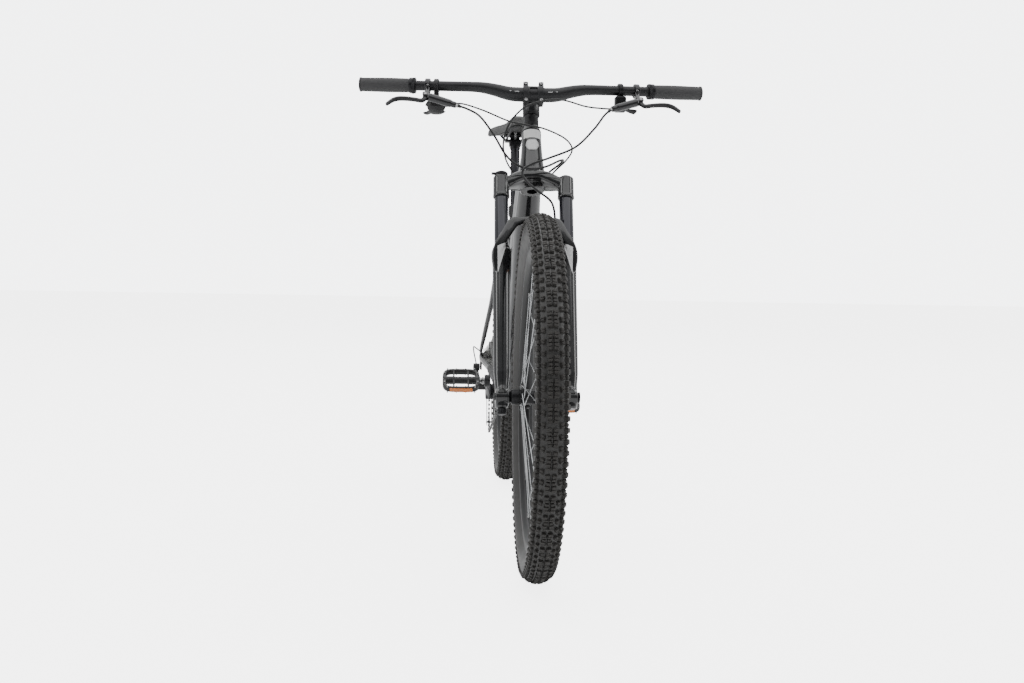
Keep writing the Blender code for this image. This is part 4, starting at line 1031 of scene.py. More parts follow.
@dataclass
class Wheel:
    """A wheel: tyre, rim, spokes, nipples, hub and brake rotor."""

    axle: Vector
    prefix: str
    body: str
    flanges: tuple[float, float]
    hub_profile: list[tuple[float, float]]
    rotor_x: float
    rotor_thickness: float = 0.0018
    spokes_a_side: int = 16
    hole_radius: float = 0.0262
    seat_radius: float = 0.2915
    valve_turn: float = math.radians(118.0)
    has_sticker: bool = False

    def rim(self) -> bmesh.types.BMesh:
        """A double wall rim with hooked edges."""
        half = [
            (0.2932, 0.0040), (0.2940, 0.0066), (0.2962, 0.0092), (0.3000, 0.0126), (0.3032, 0.0152),
            (0.3052, 0.0162),
            (0.3070, 0.0164), (0.3140, 0.0167), (0.3158, 0.0168), (0.3165, 0.0160), (0.3160, 0.0146),
            (0.3138, 0.0138),
            (0.3085, 0.0134), (0.3070, 0.0110),
        ]
        outline = half + [(radius, -side) for radius, side in reversed(half)]
        return turned(outline, self.axle, X, 160, hollow=True)

    def spoke_ends(self) -> list[tuple[Vector, Vector, float]]:
        """(hole, seat, outward side of the flange) of each spoke, crossing three others on its side."""
        ends = []
        step = 2 * math.pi / self.spokes_a_side
        for row, flange in enumerate(self.flanges):
            for i in range(self.spokes_a_side):
                start = step * (i + row / 2)
                end = start + (3 * step if i % 2 else -3 * step)
                outward = math.copysign(1, flange) * (1 if i % 2 else -1)
                hole = self.axle + X * (flange + 0.0020 * outward) + radial(start) * self.hole_radius
                seat = self.axle + X * math.copysign(0.0030, flange) + radial(end) * self.seat_radius
                ends.append((hole, seat, outward))
        return ends

    def spokes(self) -> bmesh.types.BMesh:
        """Round butted spokes, with their elbows and heads in the flanges."""
        shapes = []
        for hole, seat, outward in self.spoke_ends():
            along = (seat - hole).normalized()
            reach = (seat - hole).length
            rows = [
                [*(hole - X * 0.0046 * outward), 0.0010, 0.0010],
                [*(hole - X * 0.0008 * outward), 0.0011, 0.0011],
                [*(hole + along * 0.0016), 0.0011, 0.0011],
                [*(hole + along * 0.0250), 0.0010, 0.0010],
                [*(hole + along * 0.0450), 0.00085, 0.00085],
                [*(hole + along * (reach - 0.045)), 0.00085, 0.00085],
                [*(hole + along * (reach - 0.020)), 0.0010, 0.0010],
                [*seat, 0.0010, 0.0010],
            ]
            shapes.append(sweep(rows, radial(0.3), 8))
            head = hole - X * 0.0052 * outward
            shapes.append(turned(
                [(0.0008, -0.0008), (0.0019, 0), (0.0017, 0.0007), (0.0010, 0.0012)], head, X * outward, 10
            ))
        return merged(shapes)

    def nipples(self) -> bmesh.types.BMesh:
        """The spokes' threaded nipples where they leave the rim."""
        outline = [(0.0011, 0), (0.0017, 0.0008), (0.0017, 0.0070), (0.0022, 0.0078), (0.0024, 0.0105)]
        return merged(
            turned(outline, seat - (seat - hole).normalized() * 0.0085, (seat - hole).normalized(), 8)
            for hole, seat, _ in self.spoke_ends()
        )

    def valve(self) -> bmesh.types.BMesh:
        """The valve with its lock ring and cap, standing in from the rim."""
        inward = -radial(self.valve_turn)
        outline = [
            (0.0055, -0.001), (0.0055, 0.0022), (0.0030, 0.0026), (0.0030, 0.0240), (0.0036, 0.0245),
            (0.0036, 0.0340),
            (0.0024, 0.0375), (0.0008, 0.0380),
        ]
        return turned(outline, self.axle + radial(self.valve_turn) * 0.2935, inward, 16)

    def rotor(self) -> bmesh.types.BMesh:
        """A vented brake disc: a wavy track with slots, on six raked arms."""
        low, high = self.rotor_x, self.rotor_x + self.rotor_thickness
        count = 180
        shapes = []

        def ring(inner: float, outer: float, wave: float) -> bmesh.types.BMesh:
            """A flat ring whose outer edge waves twelve times."""
            turns = [2 * math.pi * i / count for i in range(count)]
            outside = [outer - wave + wave * math.cos(12 * t) for t in turns]
            rings = []
            for x, radii in (
                (low, outside), (high, outside), (high, [inner] * count), (low, [inner] * count)
            ):
                rings.append([self.axle + X * x + radial(t) * r for t, r in zip(turns, radii)])
            return loft(rings, closed=True)

        def strut(turn: float, rake: float, inner: float, outer: float, width: float) -> bmesh.types.BMesh:
            """A flat bar that leans from an inner to an outer radius."""
            start, end = radial(turn) * inner, radial(turn + rake) * outer
            across = X.cross((end - start).normalized()) * width / 2
            corners = [start + across, end + across, end - across, start - across]
            return prism([self.axle + X * low + corner for corner in corners], X * (high - low))

        shapes.append(ring(0.0845, 0.0900, 0.0007))
        shapes.append(ring(0.0735, 0.0775, 0.0003))
        shapes += [strut(2 * math.pi * i / 36, 0.045, 0.0765, 0.0855, 0.0068) for i in range(36)]
        shapes += [strut(2 * math.pi * i / 6, 0.42, 0.0235, 0.0750, 0.0062) for i in range(6)]
        shapes += [strut(2 * math.pi * i / 6 + 0.30, 0.36, 0.0300, 0.0750, 0.0042) for i in range(6)]
        shapes.append(ring(0.0184, 0.0275, 0.0020))
        shapes += [strut(2 * math.pi * i / 6, 0.34, 0.0255, 0.0330, 0.0050) for i in range(6)]
        return merged(shapes)

    def rotor_bolts(self) -> bmesh.types.BMesh:
        """The six bolts that hold the rotor."""
        places = [
            self.axle + X * (self.rotor_x + self.rotor_thickness) + radial(2 * math.pi * i / 6 + 0.25) * 0.0222
            for i in range(6)
        ]
        return merged(socket_bolt(place, X, 0.0033, 0.0016) for place in places)

    def sticker(self) -> bmesh.types.BMesh:
        """A small plain sticker on the rim's inner face."""
        rings = []
        for i in range(9):
            out = radial(math.radians(67.5 + 7.0 * i / 8))
            rings.append([
                self.axle + X * x + out * radius for x,
                radius in ((-0.0036, 0.2929), (0.0036, 0.2929), (0.0036, 0.2940), (-0.0036, 0.2940))
            ])
        return loft(rings)

    def build(self, bench: Bench) -> None:
        """Makes the wheel's pieces."""
        Tyre(self.axle, self.prefix, self.body).build(bench)
        bench.piece(f"{self.prefix}_rim_ring", self.rim(), RIM, self.body, [f"{self.prefix}_rim"], 24)
        bench.piece(
            f"{self.prefix}_spoke_set", self.spokes(), SPOKE, self.body, [f"{self.prefix}_spokes_and_hub"],
            50
        )
        bench.piece(f"{self.prefix}_nipples", self.nipples(), BOLT, self.body)
        hub = turned(self.hub_profile, self.axle, X, 56, hollow=True)
        bench.piece(f"{self.prefix}_hub_shell", hub, ANODISED, self.body, bevel=0.0004)
        bench.piece(f"{self.prefix}_valve", self.valve(), BOLT, self.body)
        bench.piece(
            f"{self.prefix}_brake_disc", self.rotor(), STEEL, self.body, [f"{self.prefix}_rotor"]
        )
        bench.piece(f"{self.prefix}_disc_bolts", self.rotor_bolts(), BOLT, self.body)
        if self.has_sticker:
            bench.piece(f"{self.prefix}_rim_sticker", self.sticker(), ORANGE, self.body)


def front_wheel() -> Wheel:
    """The front wheel, on its through axle."""
    half, hole = 0.0547, 0.0079
    profile = [
        (0.0105, -half), (0.0130, -0.0520), (0.0160, -0.0505), (0.0165, -0.0450), (0.0165, -0.0330),
        (0.0200, -0.0312),
        (0.0290, -0.0302), (0.0290, -0.0268), (0.0235, -0.0262), (0.0185, -0.0245), (0.0158, -0.0200),
        (0.0146, -0.0120),
        (0.0144, 0.0), (0.0146, 0.0120), (0.0158, 0.0200), (0.0185, 0.0245), (0.0235, 0.0262),
        (0.0290, 0.0268),
        (0.0290, 0.0302), (0.0235, 0.0306), (0.0225, 0.0320), (0.0225, 0.0372), (0.0174, 0.0372),
        (0.0172, 0.0460),
        (0.0140, 0.0500), (0.0105, half), (hole, half), (hole, -half),
    ]
    return Wheel(FRONT_AXLE, "front", "front_wheel", (-0.0285, 0.0285), profile, 0.0375, has_sticker=True)


def rear_wheel() -> Wheel:
    """The rear wheel, on its through axle."""
    half, hole = 0.0740, 0.0064
    profile = [
        (0.0220, -0.0290), (0.0226, -0.0245), (0.0290, -0.0230), (0.0290, -0.0196), (0.0230, -0.0188),
        (0.0190, -0.0160),
        (0.0174, -0.0100), (0.0170, 0.0050), (0.0172, 0.0220), (0.0190, 0.0280), (0.0230, 0.0308),
        (0.0290, 0.0318),
        (0.0290, 0.0352), (0.0240, 0.0356), (0.0228, 0.0370), (0.0225, 0.0500), (0.0174, 0.0502),
        (0.0172, 0.0640),
        (0.0120, 0.0700), (0.0100, half), (hole, half), (hole, -0.0290),
    ]
    return Wheel(
        REAR_AXLE, "rear", "rear_wheel", (-0.0213, 0.0335), profile, 0.0505, valve_turn=math.radians(64.0)
    )


# The frame


@dataclass
class FrameSet:
    """The welded frame and what is fixed to it for good."""

    voxel: float = 0.0021
    head_low: float = 0.5176
    head_high: float = 0.6270
    seat_top: float = 0.441

    def tubes(self) -> list[bmesh.types.BMesh]:
        """The tubes, stays and dropouts, overlapping where they are joined."""
        head = turned(
            [
                (0.0270, 0), (0.0284, 0.0012), (0.0285, 0.0100), (0.0276, 0.0180), (0.0262, 0.0310),
                (0.0246, 0.0480),
                (0.0234, 0.0640), (0.0225, 0.0800), (0.0219, 0.0900), (0.0219, 0.1000), (0.0222, 0.1030),
                (0.0222, self.head_high - self.head_low),
            ],
            fork_at(0, 0, self.head_low), STEER_UP, 64,
        )
        start, port = fork_at(0, 0.002, 0.556), Vector((0, -0.200, 0.733))
        bend, end = Vector((0, -0.020, 0.513)), BOTTOM_BRACKET + Vector((0, -0.006, 0.006))
        down = sweep(
            blend_rows(
                [
                    [*start, 0.0215, 0.0240],
                    [*(start.lerp(port, 0.5)), 0.0260, 0.0255],
                    [*port, 0.0290, 0.0260],
                    [*(port.lerp(bend, 0.5) + Vector((0, 0.0015, 0.0015))), 0.0295, 0.0265],
                    [*bend, 0.0295, 0.0260],
                    [*bend.lerp(end, 0.55), 0.0300, 0.0240],
                    [*end, 0.0312, 0.0190],
                ],
                8,
            ),
            X, 48, squareness=2.5,
        )
        top = sweep(
            blend_rows(
                [
                    [*fork_at(0, 0, 0.596), 0.0190, 0.0180],
                    [0, -0.1000, 0.8395, 0.0200, 0.0170],
                    [0, 0.1000, 0.7570, 0.0180, 0.0155],
                    [*seat_at(0, 0.398), 0.0155, 0.0145],
                ],
                14,
            ),
            X, 48, squareness=2.4,
        )
        seat = turned(
            [
                (0.0200, 0), (0.0200, 0.060), (0.0195, 0.085), (0.0183, 0.120), (0.0180, 0.260),
                (0.0180, self.seat_top - 0.001), (0.0176, self.seat_top)
            ],
            seat_at(0, 0), SEAT_UP, 56,
        )
        shell = turned(
            [(0.0232, -0.0365), (0.0240, -0.0358), (0.0240, 0.0358), (0.0232, 0.0365)], BOTTOM_BRACKET, X, 56
        )
        shapes = [head, down, top, seat, shell]
        for side in Side:
            s = side.value
            chainstay = [
                [0.0220 * s, 0.151, 0.3100, 0.0100, 0.0160], [0.0395 * s, 0.205, 0.3150, 0.0060, 0.0165],
                [0.0450 * s, 0.300, 0.3280, 0.0075, 0.0140], [0.0580 * s, 0.430, 0.3500, 0.0080, 0.0110],
                [0.0775 * s, 0.540, 0.3660, 0.0055, 0.0100], [0.0790 * s, 0.570, 0.3700, 0.0042, 0.0090],
            ]
            seatstay = [
                [0.0120 * s, 0.244, 0.684, 0.0090, 0.0100], [0.0300 * s, 0.268, 0.662, 0.0085, 0.0090],
                [0.0460 * s, 0.305, 0.628, 0.0080, 0.0085], [0.0560 * s, 0.400, 0.540, 0.0075, 0.0080],
                [0.0700 * s, 0.490, 0.452, 0.0072, 0.0078], [0.0785 * s, 0.545, 0.400, 0.0055, 0.0075],
                [0.0790 * s, 0.568, 0.379, 0.0042, 0.0070],
            ]
            shapes.append(sweep(blend_rows(chainstay, 8), X, 28, squareness=2.3))
            shapes.append(sweep(blend_rows(seatstay, 8), X, 28))
            shapes.append(rod(REAR_AXLE + X * s * 0.0743, REAR_AXLE + X * s * 0.0823, 0.0185, 48))
            shapes.append(sweep(
                [[0.0200 * s, 0.1745, 0.318, 0.004, 0.0100], [0.0020 * s, 0.1700, 0.318, 0.010, 0.0100]], Y,
                16
            ))
        shapes.append(block(
            REAR_AXLE + Vector((-0.0783, 0.008, -0.022)), (0.0070, 0.018, 0.040), bevel=0.002
        ))
        shapes.append(sweep(
            [[*fork_at(0, 0.030, 0.590), 0.0030, 0.0160], [*fork_at(0, 0.052, 0.570), 0.0026, 0.0110]], X, 16
        ))
        return shapes

    def cuts(self) -> list[bmesh.types.BMesh]:
        """The bores for the steerer, the seat post, the cranks' axle and the rear axle."""
        return [
            turned(
                [(0.0224, -0.02), (0.0222, 0.020), (0.0170, 0.060), (0.0168, 0.14)],
                fork_at(0, 0, self.head_low), STEER_UP, 48
            ),
            rod(seat_at(0, 0.100), seat_at(0, self.seat_top + 0.01), 0.0162, 48),
            rod(BOTTOM_BRACKET - X * 0.05, BOTTOM_BRACKET + X * 0.05, 0.0195, 48),
            rod(REAR_AXLE - X * 0.1, REAR_AXLE + X * 0.1, 0.0066, 32),
        ]

    def label(self, low: float, high: float, half_turn: float, lift: float) -> bmesh.types.BMesh:
        """A plain patch that wraps the front of the head tube.

        Args:
            low: Its lower edge along the steering axis.
            high: Its upper edge.
            half_turn: Half its wrap, in degrees.
            lift: How far it stands off the tube.

        Returns:
            The closed shape.
        """
        rings = []
        for i in range(13):
            up = low + (high - low) * i / 12
            at = min(1.0, max(0.0, (up - self.head_low) / 0.090))
            radius = 0.0285 - 0.0066 * at**0.8 + lift
            edge = half_turn * (0.97 if i in (0, 12) else 1.0)
            turns = [math.radians(-edge + 2 * edge * j / 24) for j in range(25)]
            outer = [fork_at(radius * math.sin(t), -radius * math.cos(t), up) for t in turns]
            inner = [fork_at(
                (radius - 0.003) * math.sin(t), (0.003 - radius) * math.cos(t), up
            ) for t in reversed(turns)]
            rings.append(outer + inner)
        return loft(rings)

    def badge(self) -> bmesh.types.BMesh:
        """A plain raised shield, its lower edge drawn to a blunt point."""
        rings = []
        for lift, grow in (
            (-0.004, 0.0), (0.0006, 0.0), (0.0012, -0.0008), (0.0013, -0.0016), (0.0013, -0.0050),
            (0.0013, -0.0090), (0.0013, -0.0132)
        ):
            ring = []
            for i in range(48):
                turn = 2 * math.pi * i / 48
                wide = (0.0150 + grow) * math.copysign(abs(math.sin(turn)) ** 0.75, math.sin(turn))
                tall = (0.0140 + grow) * math.copysign(abs(math.cos(turn)) ** 0.85, math.cos(turn))
                narrow = 1.0 - 0.30 * max(0.0, -tall / 0.0140)
                angle = wide * narrow / 0.0226
                up = 0.5865 + tall
                radius = 0.0228 + (0.6000 - up) * 0.050 + lift
                ring.append(fork_at(radius * math.sin(angle), -radius * math.cos(angle), up))
            rings.append(ring)
        return loft(rings)

    def small_parts(self, bench: Bench) -> None:
        """Headset, bottom bracket, seat collar, axle, cable ports and bosses."""
        cup = [
            (0.0198, 0.5069), (0.0268, 0.5069), (0.0275, 0.5078), (0.0275, 0.5154), (0.0268, 0.5162),
            (0.0198, 0.5162)
        ]
        bench.piece(
            "lower_headset_ring", turned(cup, STEER_FOOT, STEER_UP, 56, hollow=True), ANODISED, "frame",
            ["headset_lower_cup"]
        )
        cover = [
            (0.0146, 0.6273), (0.0212, 0.6273), (0.0218, 0.6279), (0.0218, 0.6296), (0.0210, 0.6312),
            (0.0192, 0.6350),
            (0.0177, 0.6392), (0.0170, 0.6414), (0.0164, 0.6420), (0.0146, 0.6420),
        ]
        bench.piece(
            "headset_cone", turned(cover, STEER_FOOT, STEER_UP, 64, hollow=True), ANODISED, "frame",
            ["headset_upper_cover"], bevel=0.0003
        )
        cups = [
            (0.0147, -0.0450), (0.0205, -0.0450), (0.0215, -0.0440), (0.0215, -0.0372), (0.0188, -0.0370),
            (0.0188, 0.0370),
            (0.0215, 0.0372), (0.0215, 0.0440), (0.0205, 0.0450), (0.0147, 0.0450),
        ]
        splines = [
            block(
                BOTTOM_BRACKET + X * s * 0.0406 + radial(2 * math.pi * i / 16) * 0.0214,
                (0.0058, 0.0026, 0.0024), X, X.cross(radial(2 * math.pi * i / 16)), 0.0003
            )
            for i in range(16) for s in (-1, 1)
        ]
        bench.piece(
            "bottom_bracket_cups", merged([turned(cups, BOTTOM_BRACKET, X, 56, hollow=True), *splines]),
            ANODISED, "frame", ["bottom_bracket"]
        )
        low, high = seat_at(0, 0.424), seat_at(0, 0.4395)
        back = Vector((0, SEAT_UP.z, -SEAT_UP.y))
        ears = [block(
            (low + high) / 2 + back * 0.0235 + X * s * 0.0050, (0.0062, 0.0100, 0.0120), X, back, 0.0012
        ) for s in (-1, 1)]
        bolt = rod(
            (low + high) / 2 + back * 0.0245 - X * 0.0105, (low + high) / 2 + back * 0.0245 + X * 0.0105,
            0.0026, 20
        )
        bench.piece(
            "seat_tube_collar", merged([sleeve(low, high, 0.0222, 0.0184, 56), *ears]), ANODISED, "frame",
            ["seat_collar"], bevel=0.0004
        )
        bench.piece("seat_collar_bolt", bolt, BOLT, "frame")
        axle = [
            (0.0060, -0.0840), (0.0060, 0.0836), (0.0092, 0.0836), (0.0095, 0.0842), (0.0095, 0.0868),
            (0.0088, 0.0875), (0.0040, 0.0875), (0.0040, 0.0845), (0.0001, 0.0845)
        ]
        bench.piece(
            "rear_through_axle", turned(axle, REAR_AXLE, X, 40), ANODISED, "frame", ["rear_axle"],
            bevel=0.0003
        )
        ports = []
        for place, along in (
            (Vector((0.0300, -0.2830, 0.8420)), Vector((-0.05, 0.52, -0.60))),
            (Vector((0.0300, -0.2655, 0.8275)), Vector((-0.05, 0.52, -0.60))),
            (Vector((-0.0300, -0.2850, 0.8430)), Vector((0.05, 0.52, -0.60))),
        ):
            along.normalize()
            rows = [
                [*(place + along * t), r, r] for t,
                r in ((-0.0075, 0.0034), (-0.0065, 0.0042), (0.0, 0.0050), (0.0100, 0.0058), (0.0180, 0.0040))
            ]
            ports.append(sweep(blend_rows(rows, 4), X, 20))
        bench.piece("cable_port_grommets", merged(ports), PLASTIC, "frame")
        bosses = []
        for up in (0.205, 0.270):
            bosses.append(socket_bolt(
                seat_at(0, up) - Vector((0, SEAT_UP.z, -SEAT_UP.y)) * 0.0176,
                -Vector((0, SEAT_UP.z, -SEAT_UP.y)), 0.0042, 0.0022
            ))
        along = (Vector((0, -0.020, 0.513)) - Vector((0, -0.200, 0.733))).normalized()
        above = Vector((0, -along.z, along.y))
        for share in (0.10, 0.32):
            place = Vector((0, -0.200, 0.733)) + along * 0.284 * (share + 0.35) + above * 0.0262
            bosses.append(socket_bolt(place, above, 0.0042, 0.0024))
        bench.piece("bottle_boss_bolts", merged(bosses), BOLT, "frame")
        guard = sweep(
            blend_rows(
                [
                    [-0.0450, 0.262, 0.3226, 0.0087, 0.0154], [-0.0482, 0.330, 0.3326, 0.0088, 0.0146],
                    [-0.0560, 0.412, 0.3470, 0.0092, 0.0128]
                ], 10
            ),
            X, 28, squareness=2.4,
        )
        bench.piece("chainstay_guard", guard, GRIP, "frame")

    def build(self, bench: Bench) -> None:
        """Makes the frame's pieces."""
        skin = bench.cast(self.tubes(), self.cuts(), self.voxel, 6)
        bench.piece("frame_weldment", skin, FRAME_PAINT, "frame", ["frame"], 55)
        bench.piece(
            "head_tube_label", self.label(0.6055, 0.6262, 56, 0.0005), LABEL, "frame"
        )
        bench.piece("head_badge", self.badge(), BADGE, "frame")
        self.small_parts(bench)


# The fork


@dataclass
class Fork:
    """The suspension fork: crown and steerer, stanchions, lower legs with their arch, and its knobs."""

    crown_seat: float = 0.5065

    def crown_shapes(self) -> list[bmesh.types.BMesh]:
        """The crown's front boss, its sloping arms and leg clamps, and the tapered steerer."""
        boss = [
            (0.0250, 0.4825), (0.0290, 0.4870), (0.0290, 0.4990), (0.0262, 0.5035), (0.0262, self.crown_seat)
        ]
        shapes = [
            turned(boss, STEER_FOOT, STEER_UP, 64),
            turned(
                [(0.0195, 0.495), (0.0195, 0.516), (0.0143, 0.546), (0.0143, 0.708)], STEER_FOOT, STEER_UP, 48
            ),
        ]
        arm = (
            (0, -0.0375, 0.5030, 0.0100, 0.0110), (0.020, -0.0380, 0.5020, 0.0105, 0.0118),
            (0.034, -0.0395, 0.4960, 0.0115, 0.0125),
            (0.048, -0.0400, 0.4880, 0.0125, 0.0125), (0.060, -0.0400, 0.4815, 0.0120, 0.0130),
        )
        web = (
            (0, -0.010, 0.4925, 0.0260, 0.0090), (0.026, -0.018, 0.4905, 0.0220, 0.0085),
            (0.048, -0.034, 0.4820, 0.0150, 0.0090), (0.060, -0.039, 0.4760, 0.0120, 0.0100),
        )
        clamp = [(0.0182, 0.4470), (0.0182, 0.4515), (0.0176, 0.4535), (0.0176, 0.4935), (0.0168, 0.4960)]
        for side in Side:
            for spine in (arm, web):
                rows = [
                    [*fork_at(side.value * x, back, up), width, height] for x, back, up, width,
                    height in spine
                ]
                shapes.append(sweep(blend_rows(rows, 6), STEER_BACK, 32, squareness=2.6))
            shapes.append(turned(clamp, fork_at(side.value * LEG_X, LEG_BACK, 0), STEER_UP, 56))
        return shapes

    def crown_cuts(self) -> list[bmesh.types.BMesh]:
        """The leg bores and the steerer's open foot."""
        cuts = [rod(STEER_FOOT + STEER_UP * 0.470, STEER_FOOT + STEER_UP * 0.600, 0.0115, 40)]
        for side in Side:
            foot = fork_at(side.value * LEG_X, LEG_BACK, 0)
            cuts.append(rod(foot + STEER_UP * 0.440, foot + STEER_UP * 0.510, 0.0153, 48))
        return cuts

    def leg(self, side: Side) -> bmesh.types.BMesh:
        """One lower leg, from its foot to the seal's seat."""
        profile = [
            (0.0098, -0.0240), (0.0125, -0.0215), (0.0140, -0.0150), (0.0143, 0.0000), (0.0145, 0.0280),
            (0.0158, 0.0400),
            (0.0168, 0.0500), (0.0174, 0.1000), (0.0181, 0.1900), (0.0187, 0.2600), (0.0191, 0.2840),
            (0.0203, 0.2960),
            (0.0212, 0.3030), (0.0213, 0.3100), (0.0213, 0.3180), (0.0205, 0.3225), (0.0192, 0.3250),
            (0.0186, 0.3260),
        ]
        return turned(profile, fork_at(side.value * LEG_X, LEG_BACK, 0), STEER_UP, 64)

    def arch(self) -> bmesh.types.BMesh:
        """The brace between the legs: one broad flat panel with angled shoulders."""
        spine = mirrored(
            [
                [0.0720, -0.0430, 0.2640, 0.0100, 0.0120], [0.0775, -0.0490, 0.2860, 0.0090, 0.0115],
                [0.0800, -0.0560, 0.3080, 0.0080, 0.0108],
                [0.0740, -0.0640, 0.3290, 0.0060, 0.0105], [0.0600, -0.0665, 0.3530, 0.0055, 0.0106],
                [0.0465, -0.0670, 0.3750, 0.0055, 0.0120],
                [0.0340, -0.0675, 0.3795, 0.0056, 0.0092], [0.0200, -0.0680, 0.3830, 0.0060, 0.0066],
                [0, -0.0680, 0.3850, 0.0060, 0.0055],
            ]
        )
        rows = [[*fork_at(x, back, up), width, height] for x, back, up, width, height in spine]
        return sweep(blend_rows(rows, 5), STEER_BACK, 32, squareness=3.6)

    def lower_shapes(self) -> list[bmesh.types.BMesh]:
        """The whole lower casting, before its bores are cut."""
        shapes = [self.arch()]
        for side in Side:
            s = side.value
            shapes.append(self.leg(side))
            boss = [(0.0140, 0.0552), (0.0155, 0.0562), (0.0155, 0.0822), (0.0145, 0.0832)]
            shapes.append(turned([(r, x) for r, x in boss], FRONT_AXLE, X * s, 48))
            web = [
                [*fork_at(s * LEG_X, LEG_BACK + 0.004, 0.0180), 0.0085, 0.0120],
                [*(FRONT_AXLE + X * s * 0.0695 + STEER_UP * 0.003 - STEER_BACK * 0.014), 0.0085, 0.0120],
            ]
            shapes.append(sweep(web, X, 24))
        for up in (0.052, 0.088):
            rows = [
                [*fork_at(LEG_X - 0.006, -0.0260, up), 0.0068, 0.0080],
                [*fork_at(LEG_X - 0.010, -0.0085, up), 0.0068, 0.0060],
            ]
            shapes.append(sweep(blend_rows(rows, 4), X, 24, squareness=3.0))
        for side in Side:
            rib = [[
                *fork_at(side.value * LEG_X, LEG_BACK + 0.0168, up), 0.0030, 0.0016
            ] for up in (0.110, 0.200, 0.280)]
            shapes.append(sweep(rib, X, 12))
        return shapes

    def lower_cuts(self) -> list[bmesh.types.BMesh]:
        """The bores for the stanchions and the axle."""
        cuts = [rod(FRONT_AXLE - X * 0.1, FRONT_AXLE + X * 0.1, 0.0080, 40)]
        for side in Side:
            foot = fork_at(side.value * LEG_X, LEG_BACK, 0)
            cuts.append(rod(foot + STEER_UP * 0.094, foot + STEER_UP * 0.340, 0.0154, 48))
        return cuts

    @staticmethod
    def painted_reflection(lowers: bpy.types.Mesh) -> bmesh.types.BMesh:
        """A plain white wedge on the front of each leg, laid on the casting's own surface: a painted
        reflection of bright light on the gloss paint.
        """
        tree = BVHTree.FromPolygons(
            [vertex.co for vertex in lowers.vertices], [face.vertices[:] for face in lowers.polygons]
        )
        top, outer, low = Vector((0.0600, 0.330)), Vector((0.0795, 0.322)), Vector((0.0785, 0.266))
        sheets = []
        count = 16
        for side in Side:
            sheet = bmesh.new()
            grid = {}
            for i in range(count + 1):
                for j in range(count + 1 - i):
                    spot = top + (outer - top) * (i / count) + (low - top) * (j / count)
                    hit = tree.ray_cast(fork_at(side.value * spot.x, -0.2, spot.y), STEER_BACK)[0]
                    if hit is not None:
                        grid[i, j] = sheet.verts.new(hit - STEER_BACK * 0.0006)
            for i in range(count):
                for j in range(count - i):
                    for corners in (
                        ((i, j), (i + 1, j), (i, j + 1)), ((i + 1, j), (i + 1, j + 1), (i, j + 1))
                    ):
                        if all(corner in grid for corner in corners):
                            sheet.faces.new([grid[corner] for corner in corners])
            made = bmesh.ops.extrude_face_region(sheet, geom=sheet.faces[:])
            moved = [item for item in made["geom"] if isinstance(item, bmesh.types.BMVert)]
            bmesh.ops.translate(sheet, verts=moved, vec=STEER_BACK * 0.0012)
            bmesh.ops.recalc_face_normals(sheet, faces=sheet.faces)
            sheets.append(sheet)
        return merged(sheets)

    def seal(self, side: Side) -> bmesh.types.BMesh:
        """The rubber wiper at the top of a leg, with its two lips."""
        profile = [
            (0.0153, 0.3200), (0.0186, 0.3200), (0.0190, 0.3262), (0.0188, 0.3275), (0.0174, 0.3280),
            (0.0170, 0.3292),
            (0.0175, 0.3298), (0.0173, 0.3312), (0.0161, 0.3326), (0.0153, 0.3330),
        ]
        return turned(profile, fork_at(side.value * LEG_X, LEG_BACK, 0), STEER_UP, 56, hollow=True)

    def stanchion_tube(self, side: Side) -> bmesh.types.BMesh:
        """One upper tube."""
        profile = [
            (0.0130, 0.4943), (0.0130, 0.2010), (0.0140, 0.2000), (0.0150, 0.2015), (0.0150, 0.4935),
            (0.0145, 0.4945)
        ]
        return turned(profile, fork_at(side.value * LEG_X, LEG_BACK, 0), STEER_UP, 64, hollow=True)

    def air_cap(self) -> bmesh.types.BMesh:
        """The low domed cap over the air valve on the left leg."""
        profile = [
            (0.0129, 0.4925), (0.0129, 0.4945), (0.0148, 0.4947), (0.0148, 0.4966), (0.0140, 0.4976),
            (0.0112, 0.4980), (0.0108, 0.4996),
            (0.0088, 0.5008), (0.0045, 0.5014), (0.0002, 0.5015),
        ]
        return turned(profile, fork_at(LEG_X, LEG_BACK, 0), STEER_UP, 48)

    def right_cap(self) -> bmesh.types.BMesh:
        """The damper's top ring on the right leg, under the lockout knob."""
        profile = [
            (0.0129, 0.4930), (0.0129, 0.4946), (0.0148, 0.4947), (0.0148, 0.4958), (0.0142, 0.4962),
            (0.0100, 0.4963)
        ]
        return turned(profile, fork_at(-LEG_X, LEG_BACK, 0), STEER_UP, 48)

    def lockout(self) -> bmesh.types.BMesh:
        """The lockout knob with its finger lever."""
        foot = fork_at(-LEG_X, LEG_BACK, 0)
        knob = [
            (0.0100, 0.4966), (0.0125, 0.4967), (0.0138, 0.4978), (0.0145, 0.4992), (0.0145, 0.5038),
            (0.0136, 0.5054),
            (0.0115, 0.5066), (0.0060, 0.5070), (0.0002, 0.5070),
        ]
        rows = [
            [*(foot + STEER_UP * 0.5045 - X * 0.0060), 0.0045, 0.0027],
            [*(foot + STEER_UP * 0.5045 - X * 0.0150), 0.0042, 0.0026],
            [*(foot + STEER_UP * 0.5045 - X * 0.0213), 0.0036, 0.0022],
        ]
        return merged([
            turned(knob, foot, STEER_UP, 48), sweep(blend_rows(rows, 5), STEER_BACK, 20, squareness=2.6)
        ])

